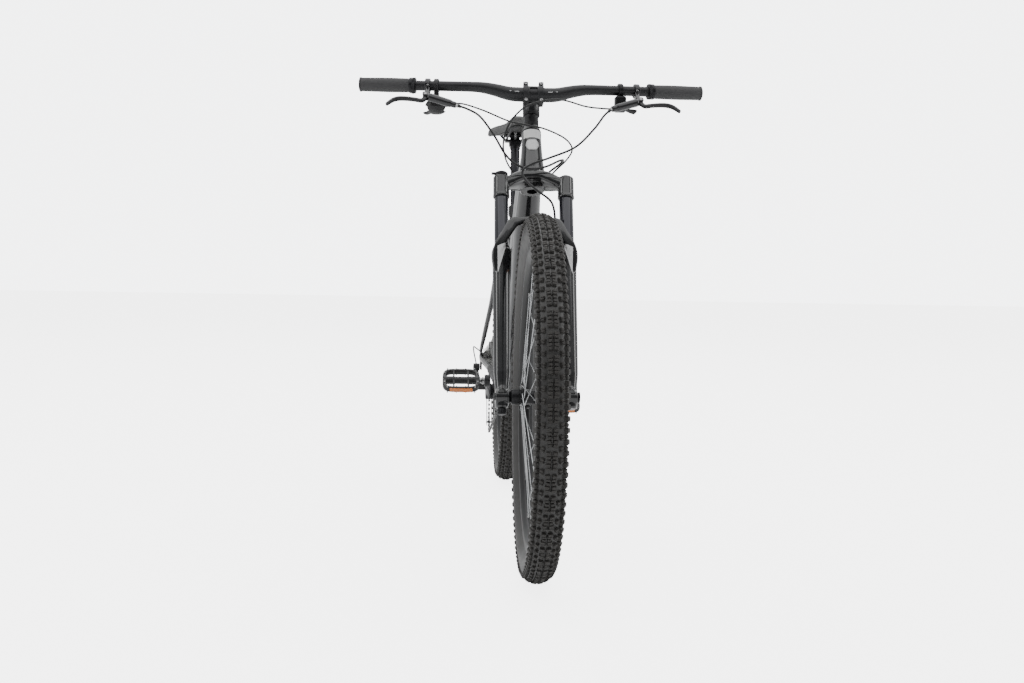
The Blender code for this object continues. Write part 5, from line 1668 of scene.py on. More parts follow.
    def rebound(self) -> bmesh.types.BMesh:
        """The rebound knob under the right leg, with its finger grooves."""
        foot = fork_at(-LEG_X, LEG_BACK, 0)
        across = STEER_BACK
        count = 96
        rings = []
        for radius, up, wave in (
            (0.0078, -0.0243, 0), (0.0092, -0.0255, 0.5), (0.0095, -0.0285, 1), (0.0095, -0.0340, 1),
            (0.0090, -0.0356, 0.6), (0.0070, -0.0370, 0)
        ):
            ring = []
            for i in range(count):
                turn = 2 * math.pi * i / count
                out = across * math.cos(turn) + X * math.sin(turn)
                ring.append(foot + STEER_UP * up + out * (radius - 0.0006 * wave * max(
                    0.0, math.cos(12 * turn)
                )))
            rings.append(ring)
        return loft(rings)

    def front_axle(self) -> bmesh.types.BMesh:
        """The through axle, its head on the left with a hexagon socket."""
        profile = [
            (0.0070, -0.0860), (0.0075, -0.0855), (0.0075, 0.0848), (0.0105, 0.0848), (0.0110, 0.0853),
            (0.0110, 0.0880),
            (0.0102, 0.0890), (0.0038, 0.0890), (0.0036, 0.0856), (0.0001, 0.0855),
        ]
        return turned(profile, FRONT_AXLE, X, 40)

    def build(self, bench: Bench) -> None:
        """Makes the fork's pieces."""
        crown = bench.cast(self.crown_shapes(), self.crown_cuts(), 0.0011, 8)
        bench.piece("crown_and_steerer", crown, FORK_PAINT, "steering", ["fork_crown"], 50)
        for side in Side:
            word = side.word
            bench.piece(
                f"upper_tube_{word}", self.stanchion_tube(side), STANCHION, "steering", [f"stanchion_{word}"],
            )
            bench.piece(
                f"wiper_seal_{word}", self.seal(side), PLASTIC, "lowers", bevel=0.0002
            )
        bench.piece("air_valve_cap", self.air_cap(), ANODISED, "steering", bevel=0.0003)
        bench.piece("damper_top_ring", self.right_cap(), ANODISED, "steering")
        bench.piece(
            "lockout_dial", self.lockout(), ANODISED, "lockout", ["lockout_knob"], bevel=0.0003
        )
        lowers = bench.cast(self.lower_shapes(), self.lower_cuts(), 0.0012, 7)
        # The white wedges are a painted reflection of bright light on the gloss legs.
        painted_reflection = self.painted_reflection(lowers)
        bench.piece("lower_legs", lowers, FORK_PAINT, "lowers", ["fork_lowers"], 50)
        bench.piece("leg_white_flash", painted_reflection, PAINTED_REFLECTION, "lowers")
        bench.piece(
            "front_through_axle", self.front_axle(), ANODISED, "lowers", ["front_axle"],
            bevel=0.0003
        )
        bench.piece("rebound_dial", self.rebound(), ANODISED, "rebound", ["rebound_knob"])


# Handlebar, stem and grips


BAR_STATIONS = (
    (0, 0, 0, 0.0159),
    (0.036, 0, 0, 0.0159),
    (0.056, 0.001, 0.002, 0.0152),
    (0.082, 0.004, 0.0085, 0.0138),
    (0.108, 0.007, 0.0135, 0.0125),
    (0.135, 0.010, 0.0155, 0.0114),
    (0.200, 0.019, 0.0168, 0.0111),
    (0.381, 0.0451, 0.0200, 0.0111),
)


def bar_line(x: float) -> tuple[Vector, Vector]:
    """A place on the handlebar's outer straight, and the bar's direction there, away from the middle."""
    inner, outer = (Vector(station[:3]) for station in BAR_STATIONS[5:7])
    if abs(x) > outer.x:
        inner, outer = outer, Vector(BAR_STATIONS[7][:3])
    along = (outer - inner).normalized()
    place = inner + along * (abs(x) - inner.x) / along.x
    side = math.copysign(1, x)
    return BAR_CENTRE + Vector((place.x * side, place.y, place.z)), Vector((along.x * side, along.y, along.z))


@dataclass
class Cockpit:
    """The stem, its faceplate, spacers and cap, the handlebar, and the grips."""

    grip_start: float = 0.260
    grip_end: float = 0.382

    def bar(self) -> bmesh.types.BMesh:
        """The butted and bent handlebar."""
        half = [list(station) for station in BAR_STATIONS]
        rows = [[-x, y, z, r] for x, y, z, r in reversed(half[1:])] + half
        places = [[*(BAR_CENTRE + Vector(row[:3])), row[3], row[3]] for row in blend_rows(rows, 8)]
        return sweep(places, Y, 48)

    def bar_marks(self) -> bmesh.types.BMesh:
        """One thin pale line along the bar's front on each side of the clamp."""
        shapes = []
        for side in Side:
            rings = []
            for i in range(9):
                x = 0.0320 + 0.0210 * i / 8
                rise = max(0.0, x - 0.036)
                middle = BAR_CENTRE + Vector((side.value * x, 0.05 * rise, 0.10 * rise))
                thick = 0.0159 - 0.035 * rise
                turns = [math.radians(angle) for angle in (168, 165, 162)]
                outer = [middle + radial(t) * (thick + 0.00015) for t in turns]
                inner = [middle + radial(t) * (thick - 0.0004) for t in reversed(turns)]
                rings.append(outer + inner)
            shapes.append(loft(rings))
        return merged(shapes)

    def grip(self, side: Side) -> bmesh.types.BMesh:
        """A moulded grip, nearly smooth, with fine knurled rows and a slight waist."""
        start, axis = bar_line(side.value * self.grip_start)
        end, _ = bar_line(side.value * self.grip_end)
        length = (end - start).length
        up = (Z - axis * axis.z).normalized()
        across = axis.cross(up)
        turns = [2 * math.pi * j / 72 for j in range(72)]
        outs = [up * math.cos(turn) + across * math.sin(turn) for turn in turns]
        rings = []
        for i in range(151):
            share = i / 150
            along = share * length
            base = 0.01545 + 0.0004 * math.cos((share - 0.5) * 2 * math.pi * 0.9)
            fine = 0.00018 if i % 2 and 0.016 < along < length - 0.007 else 0.0
            rings.append([
                start + axis * along + out * (base + fine * (1 if j % 2 else -1)) for j,
                out in enumerate(outs)
            ])
        inner = [[start + axis * along + out * 0.01135 for out in outs] for along in (length, 0.0)]
        return loft(rings + inner, closed=True)

    def collar(self, side: Side) -> bmesh.types.BMesh:
        """The serrated clamp ring at the grip's inner end."""
        start, axis = bar_line(side.value * (self.grip_start - 0.0002))
        up = (Z - axis * axis.z).normalized()
        across = axis.cross(up)
        count = 96
        rings = []
        for radius, along, teeth in (
            (0.0114, 0.0, 0), (0.0168, 0.0, 0), (0.0176, 0.0008, 1), (0.0176, 0.0064, 1), (0.0168, 0.0070, 0),
            (0.0168, 0.0078, 0),
            (0.0172, 0.0084, 0), (0.0172, 0.0128, 0), (0.0166, 0.0140, 0), (0.0114, 0.0140, 0),
        ):
            ring = []
            for i in range(count):
                turn = 2 * math.pi * i / count
                reach = radius - 0.0006 * teeth * (i % 2)
                ring.append(start + axis * along + (up * math.cos(turn) + across * math.sin(turn)) * reach)
            rings.append(ring)
        return loft(rings, closed=True)

    def collar_screw(self, side: Side) -> bmesh.types.BMesh:
        """The collar's clamp screw, sunk in its lower side."""
        place, axis = bar_line(side.value * (self.grip_start + 0.0070))
        down = (-Z + axis * axis.z).normalized()
        tangent = axis.cross(down)
        return socket_bolt(place + down * 0.0145 - tangent * 0.0075, -tangent, 0.0030, 0.0028)

    def end_plug(self, side: Side) -> bmesh.types.BMesh:
        """The rounded plug in the grip's outer end."""
        place, axis = bar_line(side.value * self.grip_end)
        profile = [
            (0.0113, -0.002), (0.0160, -0.0012), (0.0163, 0.0), (0.0160, 0.0018), (0.0140, 0.0029),
            (0.0100, 0.0033), (0.0002, 0.0034)
        ]
        return turned(profile, place, axis, 48)

    def stem_shapes(self) -> list[bmesh.types.BMesh]:
        """The steerer clamp, the extension and the bar's cradle."""
        clamp = turned(
            [(0.0182, 0.6700), (0.0192, 0.6710), (0.0192, 0.7090), (0.0182, 0.7100)], STEER_FOOT, STEER_UP,
            56,
        )
        body = sweep(
            blend_rows(
                [
                    [*fork_at(0, -0.006, 0.6896), 0.0165, 0.0175],
                    [*fork_at(0, -0.022, 0.6896), 0.0150, 0.0160],
                    [*fork_at(0, -0.038, 0.6896), 0.0160, 0.0165],
                    [*fork_at(0, -0.052, 0.6896), 0.0205, 0.0190],
                ],
                6,
            ),
            X, 40, squareness=2.6,
        )
        cradle = turned(
            [(0.0196, -0.0220), (0.0205, -0.0212), (0.0205, 0.0212), (0.0196, 0.0220)], BAR_CENTRE, X, 56
        )
        ears = [block(
            BAR_CENTRE + STEER_BACK * 0.006 + STEER_UP * 0.0205 * s + X * t * 0.0165,
            (0.0110, 0.0105, 0.0092), X, STEER_BACK, 0.0022
        ) for s in (-1, 1) for t in (-1, 1)]
        rear = [block(
            STEER_FOOT + STEER_UP * up + STEER_BACK * 0.0190, (0.0150, 0.0120, 0.0100), X, STEER_BACK, 0.0026
        ) for up in (0.6790, 0.7010)]
        return [clamp, body, cradle, *ears, *rear]

    def stem_cuts(self) -> list[bmesh.types.BMesh]:
        """The two bores, the front opening and the rear pinch slot."""
        return [
            rod(fork_at(0, 0, 0.650), fork_at(0, 0, 0.730), 0.0146, 48),
            rod(BAR_CENTRE - X * 0.03, BAR_CENTRE + X * 0.03, 0.0161, 48),
            block(BAR_CENTRE - STEER_BACK * 0.0287, (0.080, 0.060, 0.080), X, STEER_BACK),
            block(fork_at(0, 0.030, 0.690), (0.0022, 0.034, 0.060), X, STEER_BACK, 0.0002),
        ]

    def faceplate(self) -> list[bmesh.types.BMesh]:
        """Two bands with bolt ears, joined by a thinner middle."""
        shapes = [turned(
            [(0.0184, -0.0140), (0.0190, -0.0120), (0.0190, 0.0120), (0.0184, 0.0140)], BAR_CENTRE, X, 72
        )]
        for side in (-1, 1):
            middle = BAR_CENTRE + X * side * 0.0170
            profile = [(0.0202, -0.0055), (0.0212, -0.0047), (0.0212, 0.0047), (0.0202, 0.0055)]
            shapes.append(turned(profile, middle, X, 72))
            for end in (-1, 1):
                shapes.append(block(
                    middle - STEER_BACK * 0.0070 + STEER_UP * 0.0205 * end, (0.0110, 0.0120, 0.0100), X,
                    STEER_BACK, 0.0012
                ))
        return shapes

    def faceplate_cuts(self) -> list[bmesh.types.BMesh]:
        """The bar's bore and the open back."""
        window = block(BAR_CENTRE - STEER_BACK * 0.020, (0.0170, 0.0150, 0.0190), X, STEER_BACK, 0.0030)
        return [
            rod(BAR_CENTRE - X * 0.03, BAR_CENTRE + X * 0.03, 0.0161, 48),
            block(BAR_CENTRE + STEER_BACK * 0.0292, (0.080, 0.060, 0.080), X, STEER_BACK),
            window,
        ]

    def bolts(self) -> bmesh.types.BMesh:
        """The faceplate's four bolts and the stem's two pinch bolts."""
        shapes = []
        for side in (-1, 1):
            for end in (-1, 1):
                place = BAR_CENTRE + X * side * 0.0170 - STEER_BACK * 0.0126 + STEER_UP * 0.0205 * end
                shapes.append(socket_bolt(place, -STEER_BACK, 0.0036, 0.0032))
        for i, up in enumerate((0.6790, 0.7010)):
            s = 1 if i else -1
            shapes.append(socket_bolt(fork_at(s * 0.0068, 0.0205, up), X * s, 0.0034, 0.0030))
        return merged(shapes)

    def build(self, bench: Bench) -> None:
        """Makes the cockpit's pieces."""
        stem = bench.cast(self.stem_shapes(), self.stem_cuts(), 0.0009, 6)
        bench.piece("stem_body", stem, SATIN, "steering", ["stem"], 50)
        plate = bench.cast(self.faceplate(), self.faceplate_cuts(), 0.0006, 2)
        bench.piece("stem_front_plate", plate, SATIN, "steering", ["stem_faceplate"], 50)
        bench.piece("stem_bolts", self.bolts(), BOLT, "steering")
        spacers = []
        for low, high in ((0.6425, 0.6523), (0.6527, 0.6625), (0.6629, 0.6695)):
            spacers.append(sleeve(fork_at(0, 0, low), fork_at(0, 0, high), 0.0163, 0.0146, 56))
        bench.piece("headset_spacers", merged(spacers), SATIN, "steering", ["steerer_spacers"])
        cap = [
            (0.0174, 0.7103), (0.0178, 0.7108), (0.0178, 0.7135), (0.0160, 0.7155), (0.0070, 0.7155),
            (0.0064, 0.7142), (0.0001, 0.7140)
        ]
        bench.piece(
            "stem_cap", turned(cap, STEER_FOOT, STEER_UP, 56), ANODISED, "steering", ["stem_top_cap"],
            bevel=0.0003
        )
        bench.piece(
            "stem_cap_bolt", socket_bolt(fork_at(0, 0, 0.7139), STEER_UP, 0.0042, 0.0015), BOLT, "steering",
        )
        bench.piece("riser_bar", self.bar(), SATIN, "steering", ["handlebar"])
        bench.piece("bar_setting_marks", self.bar_marks(), MARKING, "steering")
        for side in Side:
            word = side.word
            bench.piece(
                f"grip_sleeve_{word}", self.grip(side), GRIP, "steering", [f"grip_{word}"], 24
            )
            bench.piece(
                f"grip_collar_{word}", self.collar(side), ANODISED, "steering", bevel=0.0003
            )
            bench.piece(f"grip_screw_{word}", self.collar_screw(side), BOLT, "steering")
            bench.piece(f"bar_plug_{word}", self.end_plug(side), GRIP, "steering")


# Brakes and shifters


@dataclass
class BrakeControl:
    """One brake's master cylinder on its clamp, and its lever."""

    side: Side
    lever_body: str
    clamp_at: float = 0.233

    def at(self, x: float, out: float, lift: float = 0.0) -> Vector:
        """A place beside the bar: along it, out in the lever's plane, and off that plane."""
        return CONTROL_BASE + X * self.side.value * x + LEVER_OUT * out + LEVER_AXIS * lift

    def master_shapes(self) -> list[bmesh.types.BMesh]:
        """The clamp, the strut, the sloping cylinder and the lever's fork."""
        s = self.side.value
        ring, axis = bar_line(s * self.clamp_at)
        clamp = turned(
            [(0.0152, -0.0055), (0.0162, -0.0047), (0.0162, 0.0047), (0.0152, 0.0055)], ring, axis, 56
        )
        strut = block(ring + LEVER_OUT * 0.0240, (0.0100, 0.0320, 0.0120), X, LEVER_OUT, 0.0024)
        start, end = self.at(0.2330, 0.0450), self.at(0.1700, 0.0780)
        profile = [
            (0.0058, 0), (0.0070, 0.0008), (0.0088, 0.0050), (0.0092, 0.0070), (0.0091, 0.0200),
            (0.0088, 0.0400), (0.0086, 0.0550),
            (0.0080, 0.0580), (0.0070, 0.0600), (0.0068, 0.0690), (0.0060, 0.0711),
        ]
        cylinder = turned(profile, start, (end - start).normalized(), 56)
        fork_end = block(self.at(0.2365, 0.0430), (0.0160, 0.0180, 0.0160), X * s, LEVER_OUT, 0.0040)
        return [clamp, strut, cylinder, fork_end]

    def master_cuts(self) -> list[bmesh.types.BMesh]:
        """The bar's bore and the slot that the lever swings in."""
        ring, axis = bar_line(self.side.value * self.clamp_at)
        slot = block(self.at(0.2450, 0.0510), (0.0260, 0.0360, 0.0116), X, LEVER_OUT, 0.0002)
        return [slot, rod(ring - axis * 0.02, ring + axis * 0.02, 0.01135, 40)]

    def fasteners(self) -> bmesh.types.BMesh:
        """The clamp's bolts, the pivot pin and the hose nut."""
        ring, _ = bar_line(self.side.value * self.clamp_at)
        shapes = [socket_bolt(
            ring + LEVER_OUT * 0.0135 + LEVER_AXIS * 0.0100 * t, LEVER_OUT, 0.0028, 0.0024
        ) for t in (-1, 1)]
        shapes.append(rod(self.at(0.2375, 0.0450, -0.0083), self.at(0.2375, 0.0450, 0.0083), 0.0030, 24))
        start, end = self.at(0.2330, 0.0450), self.at(0.1700, 0.0780)
        nut = [(0.0044, -0.0010), (0.0046, 0.0), (0.0046, 0.0050), (0.0034, 0.0060), (0.0032, 0.0075)]
        shapes.append(turned(nut, end, (end - start).normalized(), 6))
        return merged(shapes)

    def lever(self) -> bmesh.types.BMesh:
        """The blade, nearly level and then hooked at its tip."""
        blade = [
            (0.2375, 0.0520, 0.0042, 0.0052), (0.2450, 0.0620, 0.0042, 0.0055),
            (0.2600, 0.0590, 0.0045, 0.0048), (0.2780, 0.0560, 0.0050, 0.0044),
            (0.2950, 0.0565, 0.0052, 0.0044), (0.3080, 0.0640, 0.0050, 0.0040),
            (0.3200, 0.0805, 0.0040, 0.0034),
        ]
        rows = [[*self.at(x, out), width, height] for x, out, width, height in blade]
        hub = rod(self.at(0.2375, 0.0450, -0.0042), self.at(0.2375, 0.0450, 0.0042), 0.0058, 32)
        return merged([sweep(blend_rows(rows, 6), LEVER_AXIS, 28, squareness=2.7), hub])

    def build(self, bench: Bench) -> None:
        """Makes this brake's pieces at the bar."""
        word = self.side.word
        body = bench.cast(self.master_shapes(), self.master_cuts(), 0.0007, 6)
        bench.piece(
            f"master_cylinder_{word}", body, MASTER, "steering", [f"brake_master_{word}"], 50
        )
        bench.piece(f"master_fasteners_{word}", self.fasteners(), BOLT, "steering")
        bench.piece(
            f"lever_blade_{word}", self.lever(), SATIN, self.lever_body, [f"brake_lever_{word}"],
            60
        )


@dataclass
class ShiftControls:
    """The shifter with its two paddles on the right, and the dropper post's remote on the left."""

    shifter_pivot: Vector = field(default_factory=lambda: BAR_CENTRE + Vector((-0.2137, 0.0174, -0.0320)))
    remote_pivot: Vector = field(default_factory=lambda: BAR_CENTRE + Vector((0.1960, 0.0165, -0.0215)))

    def pod(self) -> bpy.types.Mesh:
        """The shifter's bowl on its clamp, open at the back for the paddles."""
        ring, axis = bar_line(-0.2137)
        clamp = turned(
            [(0.0148, -0.0050), (0.0158, -0.0042), (0.0158, 0.0042), (0.0148, 0.0050)], ring, axis, 48
        )
        strut = block(ring - Z * 0.0230, (0.0120, 0.0160, 0.0200), bevel=0.0024)
        bowl = [
            (0.0100, -0.0135), (0.0165, -0.0110), (0.0220, -0.0065), (0.0243, 0.0010), (0.0243, 0.0080),
            (0.0200, 0.0150), (0.0120, 0.0190)
        ]
        slot = block(
            self.shifter_pivot + Vector((0, 0.0125, -0.0010)), (0.0600, 0.0500, 0.0124), bevel=0.0002
        )
        shapes = [clamp, strut, turned(bowl, self.shifter_pivot, Z, 56)]
        return Bench.cast(shapes, [slot, rod(ring - axis * 0.02, ring + axis * 0.02, 0.01135, 40)], 0.0007, 5)

    def paddle(self, base: Vector, radius: float, reach: Sequence[Row]) -> bmesh.types.BMesh:
        """A thumb paddle on its round hub.

        Args:
            base: The middle of the hub.
            radius: The hub's radius.
            reach: x, y, z from the base, half width and half height along the paddle.

        Returns:
            The closed shape.
        """
        hub = turned(
            [(radius - 0.0006, -0.0025), (radius, -0.0019), (radius, 0.0019), (radius - 0.0006, 0.0025)],
            base, Z, 40
        )
        rows = [[*(base + Vector(row[:3])), row[3], row[4]] for row in reach]
        return merged([hub, sweep(blend_rows(rows, 6), X, 24, squareness=2.6)])

    def remote_housing(self) -> bpy.types.Mesh:
        """The dropper remote's clamp and block, slotted for its lever."""
        ring, axis = bar_line(0.196)
        clamp = turned(
            [(0.0150, -0.0050), (0.0160, -0.0042), (0.0160, 0.0042), (0.0150, 0.0050)], ring, axis, 48
        )
        housing = block(ring + Vector((0, -0.006, -0.0310)), (0.0250, 0.0240, 0.0350), bevel=0.0040)
        slot = block(self.remote_pivot + Y * 0.0125, (0.0600, 0.0500, 0.0068), bevel=0.0002)
        return Bench.cast(
            [clamp, housing], [slot, rod(ring - axis * 0.03, ring + axis * 0.03, 0.01135, 40)], 0.0007, 5
        )

    def build(self, bench: Bench) -> None:
        """Makes both controls."""
        bench.piece("shifter_pod", self.pod(), PLASTIC, "steering", ["shifter_body"], 50)
        thumb = self.paddle(self.shifter_pivot - Z * 0.0040, 0.0105, [
            (0, 0, 0, 0.0060, 0.0020), (-0.010, 0.026, -0.0005, 0.0065, 0.0022),
            (-0.024, 0.042, -0.0025, 0.0080, 0.0030),
        ])
        bench.piece(
            "push_paddle_blade", thumb, PLASTIC, "push_paddle", ["shifter_push_paddle"], 60
        )
        trigger = self.paddle(self.shifter_pivot + Z * 0.0020, 0.0100, [
            (0, 0, 0, 0.0055, 0.0020), (-0.004, 0.022, 0.0002, 0.0055, 0.0020),
            (-0.012, 0.036, 0.0012, 0.0070, 0.0024),
        ])
        bench.piece(
            "release_paddle_blade", trigger, PLASTIC, "release_paddle", ["shifter_release_paddle"],
            60
        )
        ring, _ = bar_line(-0.2137)
        housing_start, away = Vector((-0.1865, -0.3200, 0.9930)), Vector((0.765, -0.644, 0)).normalized()
        barrel = [(0.0044, -0.0080), (0.0044, -0.0020), (0.0040, 0.0), (0.0040, 0.0060), (0.0030, 0.0085)]
        details = [
            socket_bolt(ring + Vector((0, -0.0150, -0.0020)), -Y, 0.0028, 0.0024),
            turned(barrel, housing_start, away, 18)
        ]
        bench.piece("shifter_fittings", merged(details), SATIN, "steering")
        bench.piece(
            "dropper_remote_housing", self.remote_housing(), ANODISED, "steering", ["dropper_remote_body"],
            50
        )
        blade = [
            (0, 0, 0, 0.0055, 0.0022), (0.016, 0.022, -0.0004, 0.0055, 0.0024),
            (0.040, 0.032, -0.0040, 0.0085, 0.0035)
        ]
        rows = [[*(self.remote_pivot + Vector(row[:3])), row[3], row[4]] for row in blade]
        hub = turned(
            [(0.0079, -0.0030), (0.0085, -0.0024), (0.0085, 0.0024), (0.0079, 0.0030)], self.remote_pivot, Z,
            40
        )
        lever = merged([hub, sweep(blend_rows(rows, 8), X, 24, squareness=2.6)])
        bench.piece(
            "dropper_lever_blade", lever, ANODISED, "remote_lever", ["dropper_remote_lever"], 60
        )


# Brake calipers


@dataclass
class Caliper:
    """A two piece brake caliper over its disc."""

    prefix: str
    body: str
    middle: Vector
    along: Vector
    disc_x: float
    size: tuple[float, float, float]
    stands_for: str

    def halves(self) -> bpy.types.Mesh:
        """The caliper's two halves and their bridge, with the slot that the disc runs in."""
        across = X.cross(self.along)
        width, depth, height = self.size
        body = block(self.middle, self.size, X, self.along, 0.0050)
        bulges = [
            turned(
                [(0.0105, 0), (0.0118, 0.0008), (0.0118, width / 2 - 0.0012), (0.0105, width / 2)],
                self.middle + across * up * height * 0.2, X * s, 40
            )
            for s in (-1, 1) for up in (-1, 1)
        ]
        ears = [block(
            self.middle + across * up * height * 0.43 + self.along * depth * 0.10,
            (width * 0.55, depth * 0.75, 0.0085), X, self.along, 0.0030
        ) for up in (-1, 1)]
        disc = Vector((self.disc_x + 0.0009, self.middle.y, self.middle.z))
        slot = block(disc - self.along * 0.0060, (0.0042, depth + 0.006, height * 1.5), X, self.along, 0.0002)
        return Bench.cast([body, *bulges, *ears], [slot], 0.0009, 6)

    def fittings(self) -> bmesh.types.BMesh:
        """The mounting bolts and the pad pin."""
        across = X.cross(self.along)
        width, depth, height = self.size
        shapes = [socket_bolt(
            self.middle + across * up * height * 0.38 + self.along * depth * 0.44, self.along, 0.0042, 0.0036
        ) for up in (-1, 1)]
        shapes.append(rod(
            self.middle - X * width * 0.46 + self.along * depth * 0.30,
            self.middle + X * width * 0.46 + self.along * depth * 0.30, 0.0020, 20
        ))
        return merged(shapes)

    def build(self, bench: Bench) -> None:
        """Makes the caliper's pieces."""
        bench.piece(
            f"{self.prefix}_caliper_halves", self.halves(), ANODISED, self.body, [self.stands_for],
            45
        )
        bench.piece(f"{self.prefix}_caliper_fittings", self.fittings(), BOLT, self.body)


# The drive train


@dataclass
class DriveTrain:
    """Cranks, chainring, pedals, cassette, chain and derailleur."""

    crank: float = 0.170
    rise: float = math.radians(15.0)
    pedal_tilt: float = math.radians(-24.0)
    ring_teeth: int = 32
    cog_teeth: int = 21
    guide_teeth: int = 12
    tension_teeth: int = 14
    guide: Vector = field(default_factory=lambda: REAR_AXLE + Vector((0, 0.010, -0.097)))
    tension: Vector = field(default_factory=lambda: REAR_AXLE + Vector((0, -0.040, -0.195)))
    cage_pivot: Vector = field(default_factory=lambda: REAR_AXLE + Vector((0, 0.004, -0.089)))
    hanger: Vector = field(default_factory=lambda: REAR_AXLE + Vector((0, 0.011, -0.033)))
    cogs: tuple = (
        (11, -0.0700), (12, -0.0664), (14, -0.0628), (16, -0.0592), (18, -0.0556), (21, -0.0520),
        (24, -0.0484),
        (28, -0.0448), (33, -0.0412), (39, -0.0376), (51, -0.0340),
    )

    def crank_end(self, side: Side) -> Vector:
        """The middle of the arm's eye, on the bike's middle plane."""
        out = -Y * math.cos(self.rise) + Z * math.sin(self.rise)
        return BOTTOM_BRACKET + out * self.crank * -side.value

    def arm(self, side: Side) -> bpy.types.Mesh:
        """A forged crank arm with a shallow groove down its outer face."""
        s = side.value
        end = self.crank_end(side)
        reach = end - BOTTOM_BRACKET
        rows = [
            [*(BOTTOM_BRACKET + X * s * 0.0690), 0.0085, 0.0190],
            [*(BOTTOM_BRACKET + reach * 0.16 + X * s * 0.0700), 0.0080, 0.0172],
            [*(BOTTOM_BRACKET + reach * 0.50 + X * s * 0.0735), 0.0065, 0.0138],
            [*(BOTTOM_BRACKET + reach * 0.86 + X * s * 0.0780), 0.0064, 0.0136],
            [*(end + X * s * 0.0805), 0.0065, 0.0142],
        ]
        inner = 0.0545 if side is Side.RIGHT else 0.0460
        boss = [(0.0192, inner), (0.0205, inner + 0.0012), (0.0205, 0.0770), (0.0190, 0.0790)]
        eye = [(0.0145, 0.0740), (0.0155, 0.0750), (0.0155, 0.0862), (0.0145, 0.0872)]
        shapes = [
            sweep(blend_rows(rows, 8), X, 36, squareness=2.8), turned(boss, BOTTOM_BRACKET, X * s, 56),
            turned(eye, end, X * s, 48)
        ]
        groove = blend_rows(
            [
                [*(BOTTOM_BRACKET + reach * 0.20 + X * s * 0.0802), 0.0030, 0.0050],
                [*(BOTTOM_BRACKET + reach * 0.50 + X * s * 0.0818), 0.0030, 0.0054],
                [*(BOTTOM_BRACKET + reach * 0.84 + X * s * 0.0858), 0.0028, 0.0050],
            ],
            6,
        )
        hollow = turned([(0.0130, 0.0775), (0.0135, 0.0800)], BOTTOM_BRACKET, X * s, 40)
        return Bench.cast(shapes, [sweep(groove, X, 24), hollow], 0.0011, 5)

    def spindle(self) -> bmesh.types.BMesh:
        """The cranks' hollow axle."""
        return sleeve(BOTTOM_BRACKET - X * 0.0600, BOTTOM_BRACKET + X * 0.0700, 0.0143, 0.0110, 48)

    def crank_fittings(self) -> bmesh.types.BMesh:
        """The arms' bolts and the pedals' axles."""
        shapes = []
        for side in Side:
            s = side.value
            cap = [
                (0.0128, 0.0770), (0.0128, 0.0782), (0.0116, 0.0788), (0.0060, 0.0788), (0.0056, 0.0770),
                (0.0001, 0.0768)
            ]
            shapes.append(turned(cap, BOTTOM_BRACKET, X * s, 40))
            axle = [
                (0.0070, 0.0722), (0.0072, 0.0740), (0.0072, 0.0885), (0.0092, 0.0888), (0.0092, 0.0930),
                (0.0068, 0.0950), (0.0055, 0.1000), (0.0052, 0.1850)
            ]
            shapes.append(turned(axle, self.crank_end(side), X * s, 32))
        return merged(shapes)

    def chainring(self) -> bmesh.types.BMesh:
        """The toothed ring on its spider, with windows between its arms."""
        centre = BOTTOM_BRACKET - X * 0.05205
        shapes = [sprocket(centre, self.ring_teeth, 0.0034, 0.0510, 0.0024, 0.0042)]
        shapes.append(sleeve(BOTTOM_BRACKET - X * 0.0545, BOTTOM_BRACKET - X * 0.0503, 0.0235, 0.0148, 64))
        for i in range(8):
            turn = math.radians(22.5 + 45 * i)
            across = X.cross(radial(turn))
            corners = [
                radial(turn) * 0.0215 + across * 0.0062, radial(turn) * 0.0330 + across * 0.0034,
                radial(turn) * 0.0530 + across * 0.0052,
                radial(turn) * 0.0530 - across * 0.0052, radial(turn) * 0.0330 - across * 0.0034,
                radial(turn) * 0.0215 - across * 0.0062,
            ]
            shapes.append(prism([BOTTOM_BRACKET - X * 0.0538 + corner for corner in corners], X * 0.0034))
        return merged(shapes)

    def pedal_directions(self) -> tuple[Vector, Vector]:
        """The pedal's forward direction and the one out of its top."""
        ahead = -Y * math.cos(self.pedal_tilt) + Z * math.sin(self.pedal_tilt)
        return ahead, X.cross(-ahead)

    def pedal_frame(self, side: Side) -> bpy.types.Mesh:
        """The platform: a rounded outer frame, cross webs and the axle's barrel."""
        centre = self.crank_end(side) + X * side.value * 0.1460
        ahead, top = self.pedal_directions()
        outline = []
        for i in range(64):
            turn = 2 * math.pi * i / 64
            a = math.copysign(abs(math.cos(turn)) ** 0.42, math.cos(turn)) * 0.0415
            b = math.copysign(abs(math.sin(turn)) ** 0.42, math.sin(turn)) * 0.0450
            place = centre + X * a + ahead * b
            outline.append([*place, 0.0075, 0.0050])
        frame = sweep(outline, top, 16, closed=True, squareness=4.0)
        webs = [block(centre + X * x, (0.0042, 0.0860, 0.0110), X, ahead, 0.0010) for x in (-0.0180, 0.0180)]
        barrel = turned(
            [
                (0.0092, -0.0465), (0.0104, -0.0450), (0.0104, -0.0200), (0.0096, -0.0140), (0.0096, 0.0140),
                (0.0104, 0.0200), (0.0104, 0.0450), (0.0092, 0.0465)
            ],
            centre, X, 40
        )
        hole = rod(
            self.crank_end(side) + X * side.value * 0.0900, self.crank_end(side) + X * side.value * 0.1870,
            0.0057, 28
        )
        return Bench.cast([frame, *webs, barrel], [hole], 0.0011, 3)

